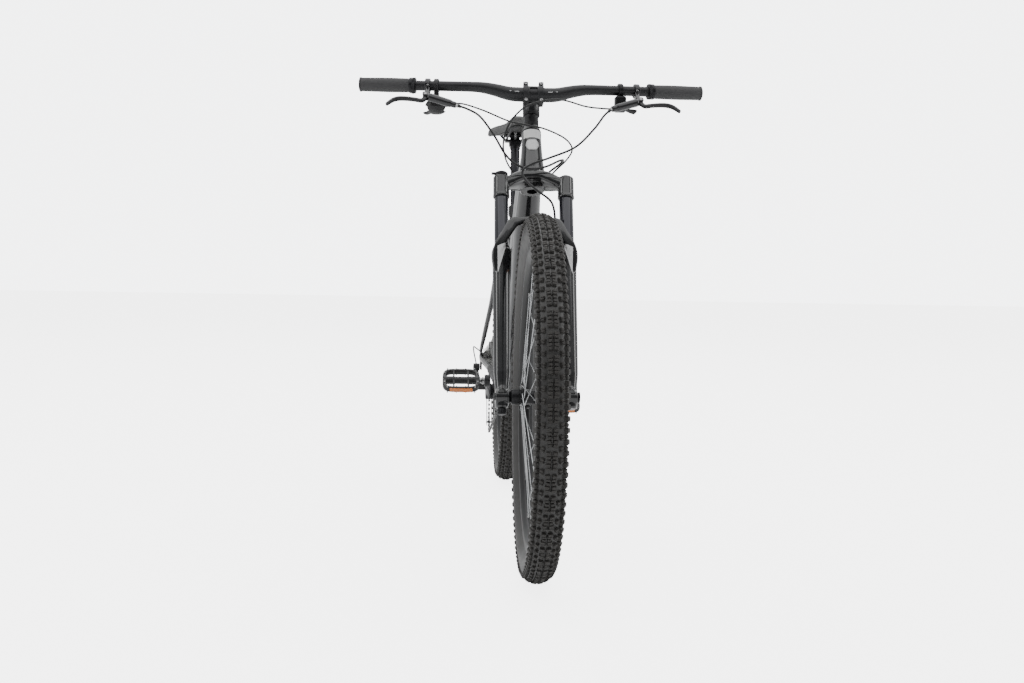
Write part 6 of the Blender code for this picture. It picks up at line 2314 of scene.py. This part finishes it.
    def pedal_pins(self, side: Side) -> bmesh.types.BMesh:
        """The grip pins on both faces."""
        centre = self.crank_end(side) + X * side.value * 0.1460
        ahead, top = self.pedal_directions()
        shapes = []
        for face in (-1, 1):
            for b in (-0.0450, 0.0450):
                for a in (-0.0340, -0.0115, 0.0115, 0.0340):
                    shapes.append(rod(
                        centre + X * a + ahead * b + top * face * 0.0050,
                        centre + X * a + ahead * b + top * face * 0.0096, 0.0016, 10
                    ))
            for a in (-0.0415, 0.0415):
                for b in (-0.0230, 0.0230):
                    shapes.append(rod(
                        centre + X * a + ahead * b + top * face * 0.0050,
                        centre + X * a + ahead * b + top * face * 0.0096, 0.0016, 10
                    ))
        return merged(shapes)

    def pedal_reflectors(self, side: Side) -> bmesh.types.BMesh:
        """The reflector bars in the front and rear edges."""
        centre = self.crank_end(side) + X * side.value * 0.1460
        ahead, _ = self.pedal_directions()
        return merged(block(
            centre + ahead * 0.0495 * s, (0.0560, 0.0030, 0.0100), X, ahead, 0.0008
        ) for s in (-1, 1))

    def cassette(self) -> bmesh.types.BMesh:
        """The stack of cogs with their carrier, thinned between teeth rows."""
        shapes = []
        for i, (teeth, x) in enumerate(self.cogs):
            inner = max(0.0110, pitch_radius(teeth) - (0.0110 if teeth < 30 else 0.0170))
            shapes.append(sprocket(REAR_AXLE + X * x, teeth, 0.0018, inner, 0.0026, 0.0040))
            if teeth >= 24:
                for arm in range(7):
                    turn = 2 * math.pi * arm / 7 + 0.13 * i
                    reach = inner + 0.0015
                    across = X.cross(radial(turn)) * 0.0040
                    hub = radial(turn + 0.30) * 0.0200
                    corners = [
                        hub + across, radial(turn) * reach + across, radial(turn) * reach - across,
                        hub - across
                    ]
                    shapes.append(prism(
                        [REAR_AXLE + X * (x - 0.0009) + corner for corner in corners], X * 0.0018
                    ))
        shapes.append(turned(
            [
                (0.0064, -0.0740), (0.0105, -0.0740), (0.0125, -0.0718), (0.0190, -0.0620), (0.0215, -0.0560),
                (0.0215, -0.0296), (0.0064, -0.0296)
            ],
            REAR_AXLE, X, 48, hollow=True
        ))
        return merged(shapes)

    def chain_route(self) -> list[Vector]:
        """The closed run of the chain's pins."""
        circles = [
            (BOTTOM_BRACKET, pitch_radius(self.ring_teeth), 1),
            (self.tension, pitch_radius(self.tension_teeth), 1),
            (self.guide, pitch_radius(self.guide_teeth), -1), (REAR_AXLE, pitch_radius(self.cog_teeth), 1),
        ]
        return [place + X * CHAINLINE for place in belt(circles, math.radians(2))]

    def chain(self) -> bmesh.types.BMesh:
        """Every link of the chain: inner and outer plates in turn, and the rollers."""
        route = self.chain_route()
        length = sum((b - a).length for a, b in zip(route, [*route[1:], route[0]]))
        count = 2 * round(length / CHAIN_PITCH / 2)
        pins = even_places(route, count)
        shapes = []
        for i, pin in enumerate(pins):
            after = pins[(i + 1) % count]
            along = (after - pin).normalized()
            across = X.cross(along)
            middle = (pin + after) / 2
            reach = (after - pin).length / 2
            outline = []
            for end in (1, -1):
                for j in range(9):
                    turn = math.radians(-90 + 180 * j / 8)
                    outline.append(
                        middle + along * end * (reach + 0.0036 * math.cos(turn))
                        + across * end * 0.0036 * math.sin(turn)
                    )
                outline.append(middle - across * 0.0027 * -end)
            gap = 0.0021 if i % 2 else 0.0012
            for s in (-1, 1):
                shapes.append(prism([place + X * s * gap for place in outline], X * s * 0.0008))
            shapes.append(rod(pin - X * 0.0030, pin + X * 0.0030, 0.0016, 8))
            shapes.append(rod(pin - X * 0.0012, pin + X * 0.0012, 0.0036, 12))
        return merged(shapes)

    def pulley(self, centre: Vector, teeth: int) -> bmesh.types.BMesh:
        """A jockey wheel with its bearing."""
        middle = centre + X * CHAINLINE
        return merged([
            sprocket(middle, teeth, 0.0024, 0.0080, 0.0028, 0.0036),
            sleeve(middle - X * 0.0026, middle + X * 0.0026, 0.0092, 0.0033, 32)
        ])

    def cage(self) -> bpy.types.Mesh:
        """The cage's two plates with their cut-outs, and its pivot boss."""
        along = (self.tension - self.guide).normalized()
        across = X.cross(along)
        reach = (self.tension - self.guide).length
        shapes = []
        cuts = []
        for x_low, x_high in ((-0.0600, -0.0580), (-0.0460, -0.0442)):
            outline = []
            for j in range(17):
                turn = math.radians(90 + 180 * j / 16)
                outline.append(
                    self.guide + along * 0.0122 * math.cos(turn) + across * 0.0122 * math.sin(turn)
                )
            outline.append(self.guide + along * reach * 0.5 - across * 0.0086)
            for j in range(17):
                turn = math.radians(-90 + 180 * j / 16)
                outline.append(
                    self.tension + along * 0.0108 * math.cos(turn) + across * 0.0108 * math.sin(turn)
                )
            outline.append(self.guide + along * reach * 0.5 + across * 0.0086)
            shapes.append(prism([place + X * x_low for place in outline], X * (x_high - x_low)))
            hole = []
            for end, start in ((0.72, -90), (0.28, 90)):
                for j in range(9):
                    turn = math.radians(start + 180 * j / 8)
                    hole.append(
                        self.guide + along * (reach * end + 0.0048 * math.cos(turn))
                        + across * 0.0048 * math.sin(turn)
                    )
            cuts.append(prism([place + X * (x_low - 0.002) for place in hole], X * 0.006))
        shapes.append(turned(
            [(0.0100, -0.0602), (0.0112, -0.0598), (0.0112, -0.0582)], self.cage_pivot, X, 40
        ))
        return self.plain_cut(merged(shapes), cuts)

    @staticmethod
    def plain_cut(shape: bmesh.types.BMesh, cuts: Sequence[bmesh.types.BMesh]) -> bpy.types.Mesh:
        """A shape less some cuts, with every edge kept crisp."""
        mesh = bpy.data.meshes.new("blank")
        shape.to_mesh(mesh)
        shape.free()
        blank = bpy.data.objects.new("blank", mesh)
        bpy.context.scene.collection.objects.link(blank)
        return cut_away(blank, cuts)

    def cage_fittings(self) -> bmesh.types.BMesh:
        """The pulleys' axle bolts."""
        shapes = []
        for place in (self.guide, self.tension):
            shapes.append(rod(place - X * 0.0590, place - X * 0.0450, 0.0030, 20))
            shapes.append(socket_bolt(place - X * 0.0600, -X, 0.0042, 0.0012))
        return merged(shapes)

    def derailleur(self) -> list[bmesh.types.BMesh]:
        """The derailleur's upper knuckle, two parallel links, lower knuckle and cable arm."""
        upper, lower = self.hanger, self.cage_pivot
        shapes = [
            turned([(0.0105, 0.0822), (0.0115, 0.0832), (0.0115, 0.1000), (0.0105, 0.1010)], upper, -X, 40),
            turned([(0.0125, 0.0606), (0.0135, 0.0616), (0.0135, 0.0848), (0.0122, 0.0860)], lower, -X, 40),
        ]
        for shift in (-0.0070, 0.0070):
            rows = [
                [*(upper + Vector((-0.0925, shift, -0.002))), 0.0062, 0.0048],
                [*((upper + lower) / 2 + Vector((-0.0880, shift * 1.15, 0))), 0.0068, 0.0044],
                [*(lower + Vector((-0.0760, shift, 0.004))), 0.0062, 0.0046],
            ]
            shapes.append(sweep(blend_rows(rows, 6), X, 24, squareness=3.0))
        rows = [
            [*(upper + Vector((-0.0900, 0.002, 0))), 0.0042, 0.0080],
            [*(upper + Vector((-0.0900, 0.014, -0.003))), 0.0036, 0.0062],
            [*(upper + Vector((-0.0900, 0.026, -0.006))), 0.0034, 0.0050],
        ]
        shapes.append(sweep(blend_rows(rows, 5), X, 20, squareness=2.6))
        return shapes

    def derailleur_fittings(self) -> bmesh.types.BMesh:
        """The hanger bolt, the link pins and the cable clamp."""
        upper, lower = self.hanger, self.cage_pivot
        shapes = [socket_bolt(upper - X * 0.1008, -X, 0.0068, 0.0012)]
        for end in (upper + Vector((0, 0, -0.010)), lower + Vector((0, 0, 0.011))):
            shapes += [socket_bolt(
                end + Vector((-0.0965 if end.z > lower.z + 0.03 else -0.0830, shift, 0)), -X, 0.0024, 0.0008
            ) for shift in (-0.0070, 0.0070)]
        shapes.append(socket_bolt(upper + Vector((-0.0934, 0.0225, -0.0050)), -X, 0.0030, 0.0024))
        return merged(shapes)

    def build(self, bench: Bench) -> None:
        """Makes the drive train's pieces."""
        for side in Side:
            word = side.word
            bench.piece(
                f"forged_crank_{word}", self.arm(side), SATIN, "cranks", [f"crank_arm_{word}"],
                50
            )
            pedal_body = f"{word}_pedal"
            bench.piece(
                f"platform_pedal_{word}", self.pedal_frame(side), PLASTIC, pedal_body, [f"pedal_{word}"],
                45
            )
            bench.piece(f"pedal_pins_{word}", self.pedal_pins(side), BOLT, pedal_body)
            bench.piece(
                f"pedal_reflectors_{word}", self.pedal_reflectors(side), REFLECTOR, pedal_body
            )
        bench.piece("crank_spindle", self.spindle(), BOLT, "cranks")
        bench.piece("crank_fittings", self.crank_fittings(), BOLT, "cranks")
        bench.piece("toothed_chainring", self.chainring(), ANODISED, "cranks", ["chainring"])
        bench.piece("cassette_cogs", self.cassette(), STEEL, "freehub", ["cassette"])
        bench.piece("chain_links", self.chain(), DARK_STEEL, "frame", ["chain"], 40)
        bench.piece(
            "guide_jockey_wheel", self.pulley(self.guide, self.guide_teeth), PLASTIC, "guide",
            ["guide_pulley"]
        )
        bench.piece(
            "tension_jockey_wheel", self.pulley(self.tension, self.tension_teeth), PLASTIC, "tension",
            ["tension_pulley"]
        )
        bench.piece(
            "cage_plates", self.cage(), ANODISED, "cage", ["derailleur_cage"], bevel=0.0003
        )
        bench.piece("cage_bolts", self.cage_fittings(), BOLT, "cage")
        bench.piece(
            "derailleur_links", Bench.cast(self.derailleur(), (), 0.0009, 5), PLASTIC, "frame",
            ["derailleur_body"], 50
        )
        bench.piece("derailleur_bolts", self.derailleur_fittings(), BOLT, "frame")


# The saddle and its post


@dataclass
class SaddleSet:
    """The dropper post, its clamp, the rails and the padded saddle."""

    stations: tuple[Row, ...] = (
        (0.1980, 0.0130, 1.0420, 1.0335), (0.2060, 0.0190, 1.0470, 1.0270), (0.2400, 0.0225, 1.0490, 1.0215),
        (0.2900, 0.0290, 1.0480, 1.0190), (0.3400, 0.0400, 1.0470, 1.0170), (0.3850, 0.0570, 1.0480, 1.0165),
        (0.4250, 0.0705, 1.0500, 1.0180), (0.4520, 0.0725, 1.0510, 1.0220), (0.4700, 0.0620, 1.0490, 1.0280),
        (0.4760, 0.0450, 1.0450, 1.0335),
    )

    def section(self, row: Row, shrink: float = 0.0) -> list[tuple[float, float]]:
        """(side, height) of the top skin across one station, from its left edge to its right edge.

        Args:
            row: Place along the bike, half width, top and edge heights.
            shrink: How far inside the skin it lies.

        Returns:
            The places, evenly spread round the crown.
        """
        place, half, top, edge = row
        depth = min(1.0, max(0.0, (place - 0.250) / 0.050)) * min(1.0, max(0.0, (0.462 - place) / 0.040))
        points = []
        for i in range(41):
            turn = math.pi * i / 40
            across = math.cos(turn)
            side = (half - shrink) * math.copysign(abs(across) ** 0.62, across)
            lift = abs(math.sin(turn)) ** 0.60
            height = edge + (top - shrink - edge) * lift
            groove = 0.0042 * depth * math.exp(-((side / 0.0085) ** 2))
            swell = 0.0010 * depth * math.exp(-(((abs(side) - half * 0.55) / (half * 0.30)) ** 2))
            points.append((side, height - groove + swell))
        return points

    def pad(self) -> bmesh.types.BMesh:
        """The padded cover, with its relief channel and its edge turned under."""
        rings = []
        for row in blend_rows(self.stations, 8):
            section = self.section(row)
            inset = min(0.0045, row[1] * 0.3)
            under = [(side * (1 - inset / row[1]), row[3] + 0.0006) for side in (-row[1], row[1])]
            lower = [(
                under[0][0] * (1 - t), row[3] + 0.0006 + 0.0020 * math.sin(math.pi * t / 2)
            ) for t in (0.0, 0.5)]
            points = section + lower + [(0.0, row[3] + 0.0030)] + [
                (-side, height) for side, height in reversed(lower)
            ]
            rings.append([Vector((side, row[0], height)) for side, height in points])
        first, last = rings[0], rings[-1]
        for ring, shift in ((first, -0.0022), (last, 0.0022)):
            middle = sum(ring, Vector()) / len(ring)
            inner = [middle + (point - middle) * 0.67 + Y * shift for point in ring]
            if ring is first:
                rings.insert(0, inner)
            else:
                rings.append(inner)
        return loft(rings)

    def seam(self, share: float, radius: float) -> bmesh.types.BMesh:
        """A run of stitching that follows the saddle's flank.

        Args:
            share: Where on the half section it lies, from 0 at the edge to 0.5 on the crown.
            radius: The thread's radius.

        Returns:
            Every stitch on both sides.
        """
        finer = blend_rows(self.stations, 24)[16:-10]
        shapes = []
        for mirror in (1, -1):
            line = []
            for row in finer:
                section = self.section(row)
                at = share * 40
                low = int(at)
                side = section[low][0] + (section[low + 1][0] - section[low][0]) * (at - low)
                height = section[low][1] + (section[low + 1][1] - section[low][1]) * (at - low)
                line.append(Vector((side * mirror, row[0], height)))
            reach = [0.0]
            for a, b in zip(line, line[1:]):
                reach.append(reach[-1] + (b - a).length)
            stitch, pitch = 0.0026, 0.0036
            count = int(reach[-1] / pitch)
            for i in range(count):
                ends = []
                for distance in (i * pitch, i * pitch + stitch / 2, i * pitch + stitch):
                    k = max(j for j, r in enumerate(reach) if r <= distance)
                    k = min(k, len(line) - 2)
                    ends.append(line[k].lerp(
                        line[k + 1], (distance - reach[k]) / max(1e-9, reach[k + 1] - reach[k])
                    ))
                ends[1] += Vector((mirror * 0.0003, 0, 0.0003))
                shapes.append(sweep([[*place, radius, radius] for place in ends], X, 6))
        return merged(shapes)

    def shell(self) -> bmesh.types.BMesh:
        """The moulded shell under the padding."""
        rings = []
        for row in blend_rows(self.stations[1:-1], 6):
            place, half, _, edge = row
            inside = half - min(0.0040, half * 0.25)
            points = [(
                math.cos(math.pi * i / 16) * inside, edge + 0.0012 + 0.0060 * math.sin(math.pi * i / 16)
            ) for i in range(17)]
            points += [(-x, z - 0.0022) for x, z in [(side, height) for side, height in points][0:17]]
            rings.append([Vector((side, place, height)) for side, height in points])
        return loft(rings)

    def rails(self) -> bmesh.types.BMesh:
        """The one bent wire that makes both rails."""
        half = [
            [0.0340, 0.448, 0.0200], [0.0300, 0.434, 0.0125], [0.0260, 0.420, 0.0060],
            [0.0225, 0.398, 0.0004], [0.0220, 0.380, 0],
            [0.0220, 0.345, 0], [0.0220, 0.310, 0], [0.0190, 0.275, 0.0040], [0.0145, 0.250, 0.0120],
            [0.0100, 0.235, 0.0180], [0, 0.226, 0.0205],
        ]
        rows = [[*(Vector((x, y, SADDLE_RAIL.z + z))), 0.0035, 0.0035] for x, y, z in mirrored(half)]
        return sweep(blend_rows(rows, 5), Z, 20)

    def clamp(self) -> list[bmesh.types.BMesh]:
        """The post's head with the two halves that grip the rails."""
        head = seat_at(0, 0.7050)
        neck = turned(
            [(0.0140, 0.6883), (0.0145, 0.6892), (0.0145, 0.6950), (0.0150, 0.7010)], BOTTOM_BRACKET, SEAT_UP,
            48
        )
        base = block(head, (0.0340, 0.0340, 0.0200), bevel=0.0050)
        web = block(SADDLE_RAIL, (0.0260, 0.0300, 0.0340), bevel=0.0020)
        lower = block(SADDLE_RAIL - Z * 0.0076, (0.0560, 0.0380, 0.0070), bevel=0.0024)
        upper = block(SADDLE_RAIL + Z * 0.0076, (0.0560, 0.0340, 0.0070), bevel=0.0024)
        return [neck, base, web, lower, upper]

    def clamp_bolts(self) -> bmesh.types.BMesh:
        """The two long bolts that draw the clamp together."""
        shapes = []
        for s in (-1, 1):
            place = SADDLE_RAIL + Y * s * 0.0210
            shapes.append(rod(place - Z * 0.0190, place + Z * 0.0125, 0.0026, 20))
            shapes.append(socket_bolt(place - Z * 0.0180, -Z, 0.0042, 0.0036))
            shapes.append(turned(
                [(0.0044, 0), (0.0050, 0.0006), (0.0050, 0.0050), (0.0042, 0.0058)], place + Z * 0.0110, Z, 6
            ))
        return merged(shapes)

    def build(self, bench: Bench) -> None:
        """Makes the saddle's and the post's pieces."""
        outer = [
            (0.0128, 0.140), (0.0156, 0.140), (0.0156, 0.4890), (0.0166, 0.4905), (0.0178, 0.4935),
            (0.0180, 0.4950), (0.0180, 0.5050),
            (0.0174, 0.5056), (0.0174, 0.5068), (0.0180, 0.5074), (0.0180, 0.5175), (0.0168, 0.5198),
            (0.0150, 0.5200), (0.0128, 0.5200),
        ]
        bench.piece(
            "post_outer_tube", turned(outer, BOTTOM_BRACKET, SEAT_UP, 64, hollow=True), SATIN, "frame",
            ["dropper_outer_tube"]
        )
        inner = [(0.0120, 0.3100), (0.0125, 0.3105), (0.0125, 0.6878), (0.0120, 0.6880)]
        bench.piece(
            "post_inner_tube", turned(inner, BOTTOM_BRACKET, SEAT_UP, 64), POST, "seat",
            ["dropper_inner_tube"]
        )
        bench.piece(
            "post_head_clamp", Bench.cast(self.clamp(), (), 0.0009, 4), ANODISED, "seat", ["saddle_clamp"],
            45
        )
        bench.piece("post_head_bolts", self.clamp_bolts(), BOLT, "seat")
        bench.piece("rail_wire", self.rails(), SATIN, "seat", ["saddle_rails"])
        pad = bench.piece("saddle_pad", self.pad(), COVER, "seat", ["saddle"], 60)
        rounding = pad.modifiers.new("rounding", "SUBSURF")
        rounding.levels = 1
        rounding.render_levels = 1
        bench.piece(
            "saddle_stitching", merged([self.seam(0.165, 0.00042), self.seam(0.185, 0.00042)]), THREAD,
            "seat"
        )
        bench.piece("saddle_shell", self.shell(), PLASTIC, "seat")


# Hoses and cable housings


@dataclass
class Hose:
    """A brake hose or a cable housing along its own route."""

    name: str
    node: str
    radius: float
    route: tuple
    bodies: tuple[str, ...]
    start: tuple[float, float, float] = (0, 0, 0)
    end: tuple[float, float, float] = (0, 0, 0)
    start_cap: float = 0.0
    end_cap: float = 0.0

    def tube(self) -> bmesh.types.BMesh:
        """The hose with the ferrules at its ends."""
        rows = []
        for x, y, z in blend_rows(self.route, 14):
            rows.append([x, y, z, self.radius, self.radius])
        shapes = [sweep(rows, Vector((0.31, 0.22, 0.92)).normalized(), 20)]
        for cap, first, second in ((self.start_cap, rows[0], rows[2]), (self.end_cap, rows[-1], rows[-3])):
            if not cap:
                continue
            place, axis = Vector(first[:3]), (Vector(second[:3]) - Vector(first[:3])).normalized()
            outline = [
                (self.radius + 0.0008, -0.0010), (self.radius + 0.0012, 0), (self.radius + 0.0012, cap * 0.7),
                (self.radius + 0.0006, cap)
            ]
            shapes.append(turned(outline, place, axis, 24))
        return merged(shapes)

    def build(self, bench: Bench) -> None:
        """Makes the hose and hides the imported one."""
        one = self.bodies[0] if len(self.bodies) == 1 else ""
        made = bench.piece(self.name, self.tube(), HOSE, one, sharp=50)
        if not one:
            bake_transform(made)
        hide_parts(self.node)


def hoses() -> list[Hose]:
    """The five hoses and housings, each along its real route."""
    return [
        Hose(
            "rear_brake_line", "rear_brake_hose", 0.0025,
            (
                (-0.1685, -0.3728, 0.9845), (-0.146, -0.3840, 0.9760), (-0.118, -0.3980, 0.9580),
                (-0.088, -0.4120, 0.9170),
                (-0.064, -0.4150, 0.8780), (-0.038, -0.4100, 0.8560), (-0.005, -0.4030, 0.8490),
                (0.026, -0.3950, 0.8550),
                (0.056, -0.3750, 0.8700), (0.068, -0.3480, 0.8740), (0.060, -0.3240, 0.8660),
                (0.044, -0.3020, 0.8540),
                (0.0325, -0.2860, 0.8430),
            ),
            ("steering", "frame"), (-0.088, -0.4120, 0.9170), (0.0325, -0.2860, 0.8430), start_cap=0.010,
        ),
        Hose(
            "shift_cable_housing", "shift_housing", 0.0020,
            (
                (-0.1865, -0.3200, 0.9930), (-0.158, -0.3440, 0.9930), (-0.112, -0.4100, 0.9700),
                (-0.060, -0.4280, 0.9470),
                (-0.020, -0.4280, 0.9390), (0.020, -0.4180, 0.9330), (0.066, -0.3920, 0.9170),
                (0.086, -0.3600, 0.8980),
                (0.078, -0.3250, 0.8780), (0.056, -0.2930, 0.8560), (0.0325, -0.2680, 0.8290),
            ),
            ("steering", "frame"), (-0.060, -0.4280, 0.9470), (0.0325, -0.2680, 0.8290), start_cap=0.009,
        ),
        Hose(
            "dropper_cable_housing", "dropper_housing", 0.0020,
            (
                (0.1815, -0.3300, 0.9920), (0.150, -0.3480, 0.9900), (0.110, -0.3850, 0.9880),
                (0.058, -0.4180, 0.9950),
                (0.015, -0.4280, 0.9910), (-0.026, -0.4200, 0.9760), (-0.055, -0.3980, 0.9450),
                (-0.066, -0.3720, 0.9080),
                (-0.060, -0.3420, 0.8780), (-0.046, -0.3130, 0.8560), (-0.0325, -0.2880, 0.8440),
            ),
            ("steering", "frame"), (0.058, -0.4180, 0.9950), (-0.0325, -0.2880, 0.8440), start_cap=0.009,
        ),
        Hose(
            "front_brake_line", "front_brake_hose", 0.0025,
            (
                (0.1685, -0.3728, 0.9845), (0.152, -0.3850, 0.9690), (0.128, -0.4050, 0.9370),
                (0.086, -0.4280, 0.8950),
                (0.030, -0.4330, 0.8700), (-0.008, -0.4320, 0.8560), (-0.027, -0.4320, 0.8410),
                (-0.020, -0.4390, 0.8210),
                (0.004, -0.4500, 0.7990), (0.034, -0.4480, 0.7760), (0.0440, -0.4340, 0.7440),
                (0.0440, -0.4240, 0.7050),
                (0.0470, -0.4220, 0.6650), (0.0560, -0.4330, 0.6250), (0.0600, -0.4700, 0.5480),
                (0.0570, -0.4960, 0.4840),
                (0.0490, -0.4900, 0.4560),
            ),
            ("steering", "lowers"), (0.0440, -0.4340, 0.7440), (0.0560, -0.4330, 0.6250), start_cap=0.010,
            end_cap=0.012,
        ),
        Hose(
            "rear_mech_housing", "rear_shift_housing", 0.0020,
            (
                (-0.0640, 0.4800, 0.3800), (-0.0760, 0.5000, 0.3880), (-0.0930, 0.5350, 0.3990),
                (-0.1010, 0.5850, 0.4010),
                (-0.0990, 0.6260, 0.3820), (-0.0930, 0.6380, 0.3550), (-0.0900, 0.6290, 0.3360),
            ),
            ("frame",), start_cap=0.010, end_cap=0.012,
        ),
    ]


# The studio


@dataclass
class Studio:
    """A pale floor, soft light and the camera."""

    camera_place: Vector = field(default_factory=lambda: Vector((-0.1834, -2.8583, 0.6148)))
    yaw: float = math.radians(-3.309)
    pitch: float = math.radians(-3.254)
    roll: float = math.radians(-1.002)
    lens: float = 39.81
    floor_half: float = 30.0
    backdrop: float = 5.5
    floor_glow: float = 4.2

    def floor(self) -> None:
        """A wide plain floor."""
        mesh = bpy.data.meshes.new("floor")
        reach = self.floor_half
        mesh.from_pydata(
            [(-reach, -reach, 0), (reach, -reach, 0), (reach, reach, 0), (-reach, reach, 0)], [],
            [(0, 1, 2, 3)]
        )
        mesh.materials.append(self.floor_material())
        made = bpy.data.objects.new("floor", mesh)
        bpy.context.scene.collection.objects.link(made)

    def floor_material(self) -> bpy.types.Material:
        """The floor's paint, which the camera sees bright without its lighting the bike."""
        material = FLOOR.build()
        tree = Tree(material.node_tree)
        shader = material.node_tree.nodes["Principled BSDF"]
        seen = tree.add("ShaderNodeLightPath").outputs["Is Camera Ray"]
        shader.inputs["Emission Color"].default_value = (1.0, 1.0, 1.0, 1.0)
        tree.feed(shader.inputs["Emission Strength"], tree.math("MULTIPLY", seen, self.floor_glow))
        return material

    def world(self) -> None:
        """A white surround, bright above and behind and dimmer on the camera's side."""
        world = bpy.data.worlds.new("studio")
        world.use_nodes = True
        tree = Tree(world.node_tree)
        background = world.node_tree.nodes["Background"]
        place = tree.add("ShaderNodeTexCoord")
        parts = tree.add("ShaderNodeSeparateXYZ", Vector=place.outputs["Generated"])
        lift = tree.math(
            "ADD", tree.math("MULTIPLY", parts.outputs["Y"], 0.45),
            tree.math("MULTIPLY", parts.outputs["Z"], 0.45)
        )
        glow = tree.remap(lift, -0.45, 0.45, 0.10, 0.70)
        seen = tree.add("ShaderNodeLightPath").outputs["Is Camera Ray"]
        boost = tree.math("MULTIPLY", seen, self.backdrop)
        background.inputs["Color"].default_value = (0.96, 0.97, 0.98, 1.0)
        tree.feed(background.inputs["Strength"], tree.math("MAXIMUM", glow, boost))
        bpy.context.scene.world = world

    @staticmethod
    def panel(name: str, place: Vector, target: Vector, size: tuple[float, float], power: float) -> None:
        """A soft light panel that faces a target."""
        light = bpy.data.lights.new(name, "AREA")
        light.shape = "RECTANGLE"
        light.size, light.size_y = size
        light.energy = power
        made = bpy.data.objects.new(name, light)
        made.matrix_world = Matrix.Translation(place) @ (target - place).to_track_quat(
            "-Z", "Y"
        ).to_matrix().to_4x4()
        bpy.context.scene.collection.objects.link(made)

    def camera(self) -> None:
        """The camera, with its own small roll."""
        data = bpy.data.cameras.new("camera")
        data.lens = self.lens
        data.sensor_width = 36.0
        data.clip_end = 200.0
        turn = Matrix.Rotation(self.yaw, 3, "Z") @ Matrix.Rotation(
            self.pitch, 3, "X"
        ) @ Matrix.Rotation(self.roll, 3, "Y")
        right, forward, up = (turn.col[i] for i in range(3))
        made = bpy.data.objects.new("camera", data)
        made.matrix_world = placement(self.camera_place, right, up, -forward)
        bpy.context.scene.collection.objects.link(made)
        bpy.context.scene.camera = made

    def build(self) -> None:
        """Makes the studio."""
        self.floor()
        self.world()
        middle = Vector((0, 0, 0.55))
        self.panel("ceiling_panel", Vector((0, 1.0, 5.0)), Vector((0, 1.0, 0)), (9.0, 12.0), 420)
        self.panel("right_panel", Vector((-3.2, -1.0, 1.7)), middle, (0.8, 2.4), 22)
        self.panel("left_panel", Vector((3.2, -0.8, 1.7)), middle, (0.8, 2.4), 22)
        self.camera()


def main() -> None:
    """Builds the bike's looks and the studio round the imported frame."""
    logging.basicConfig(level=logging.INFO, format="%(name)s %(message)s")
    for existing in list(bpy.data.objects):
        bpy.data.objects.remove(existing)
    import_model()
    bench = Bench()
    FrameSet().build(bench)
    Fork().build(bench)
    Cockpit().build(bench)
    BrakeControl(Side.RIGHT, "right_lever").build(bench)
    BrakeControl(Side.LEFT, "left_lever").build(bench)
    ShiftControls().build(bench)
    front_wheel().build(bench)
    rear_wheel().build(bench)
    rear_reach = Vector((0, -0.0760, 0.0250))
    Caliper(
        "front", "lowers", fork_at(0.0470, 0.0130, 0.070), STEER_BACK, 0.0375, (0.0330, 0.036, 0.052),
        "front_brake_caliper"
    ).build(bench)
    Caliper(
        "rear", "frame", REAR_AXLE + rear_reach + X * 0.0508, rear_reach.normalized(), 0.0505,
        (0.0230, 0.030, 0.046), "rear_brake_caliper"
    ).build(bench)
    DriveTrain().build(bench)
    SaddleSet().build(bench)
    for hose in hoses():
        hose.build(bench)
    Studio().build()
    LOG.info("%d pieces", len(bench.made))


if __name__ == "__main__":
    main()
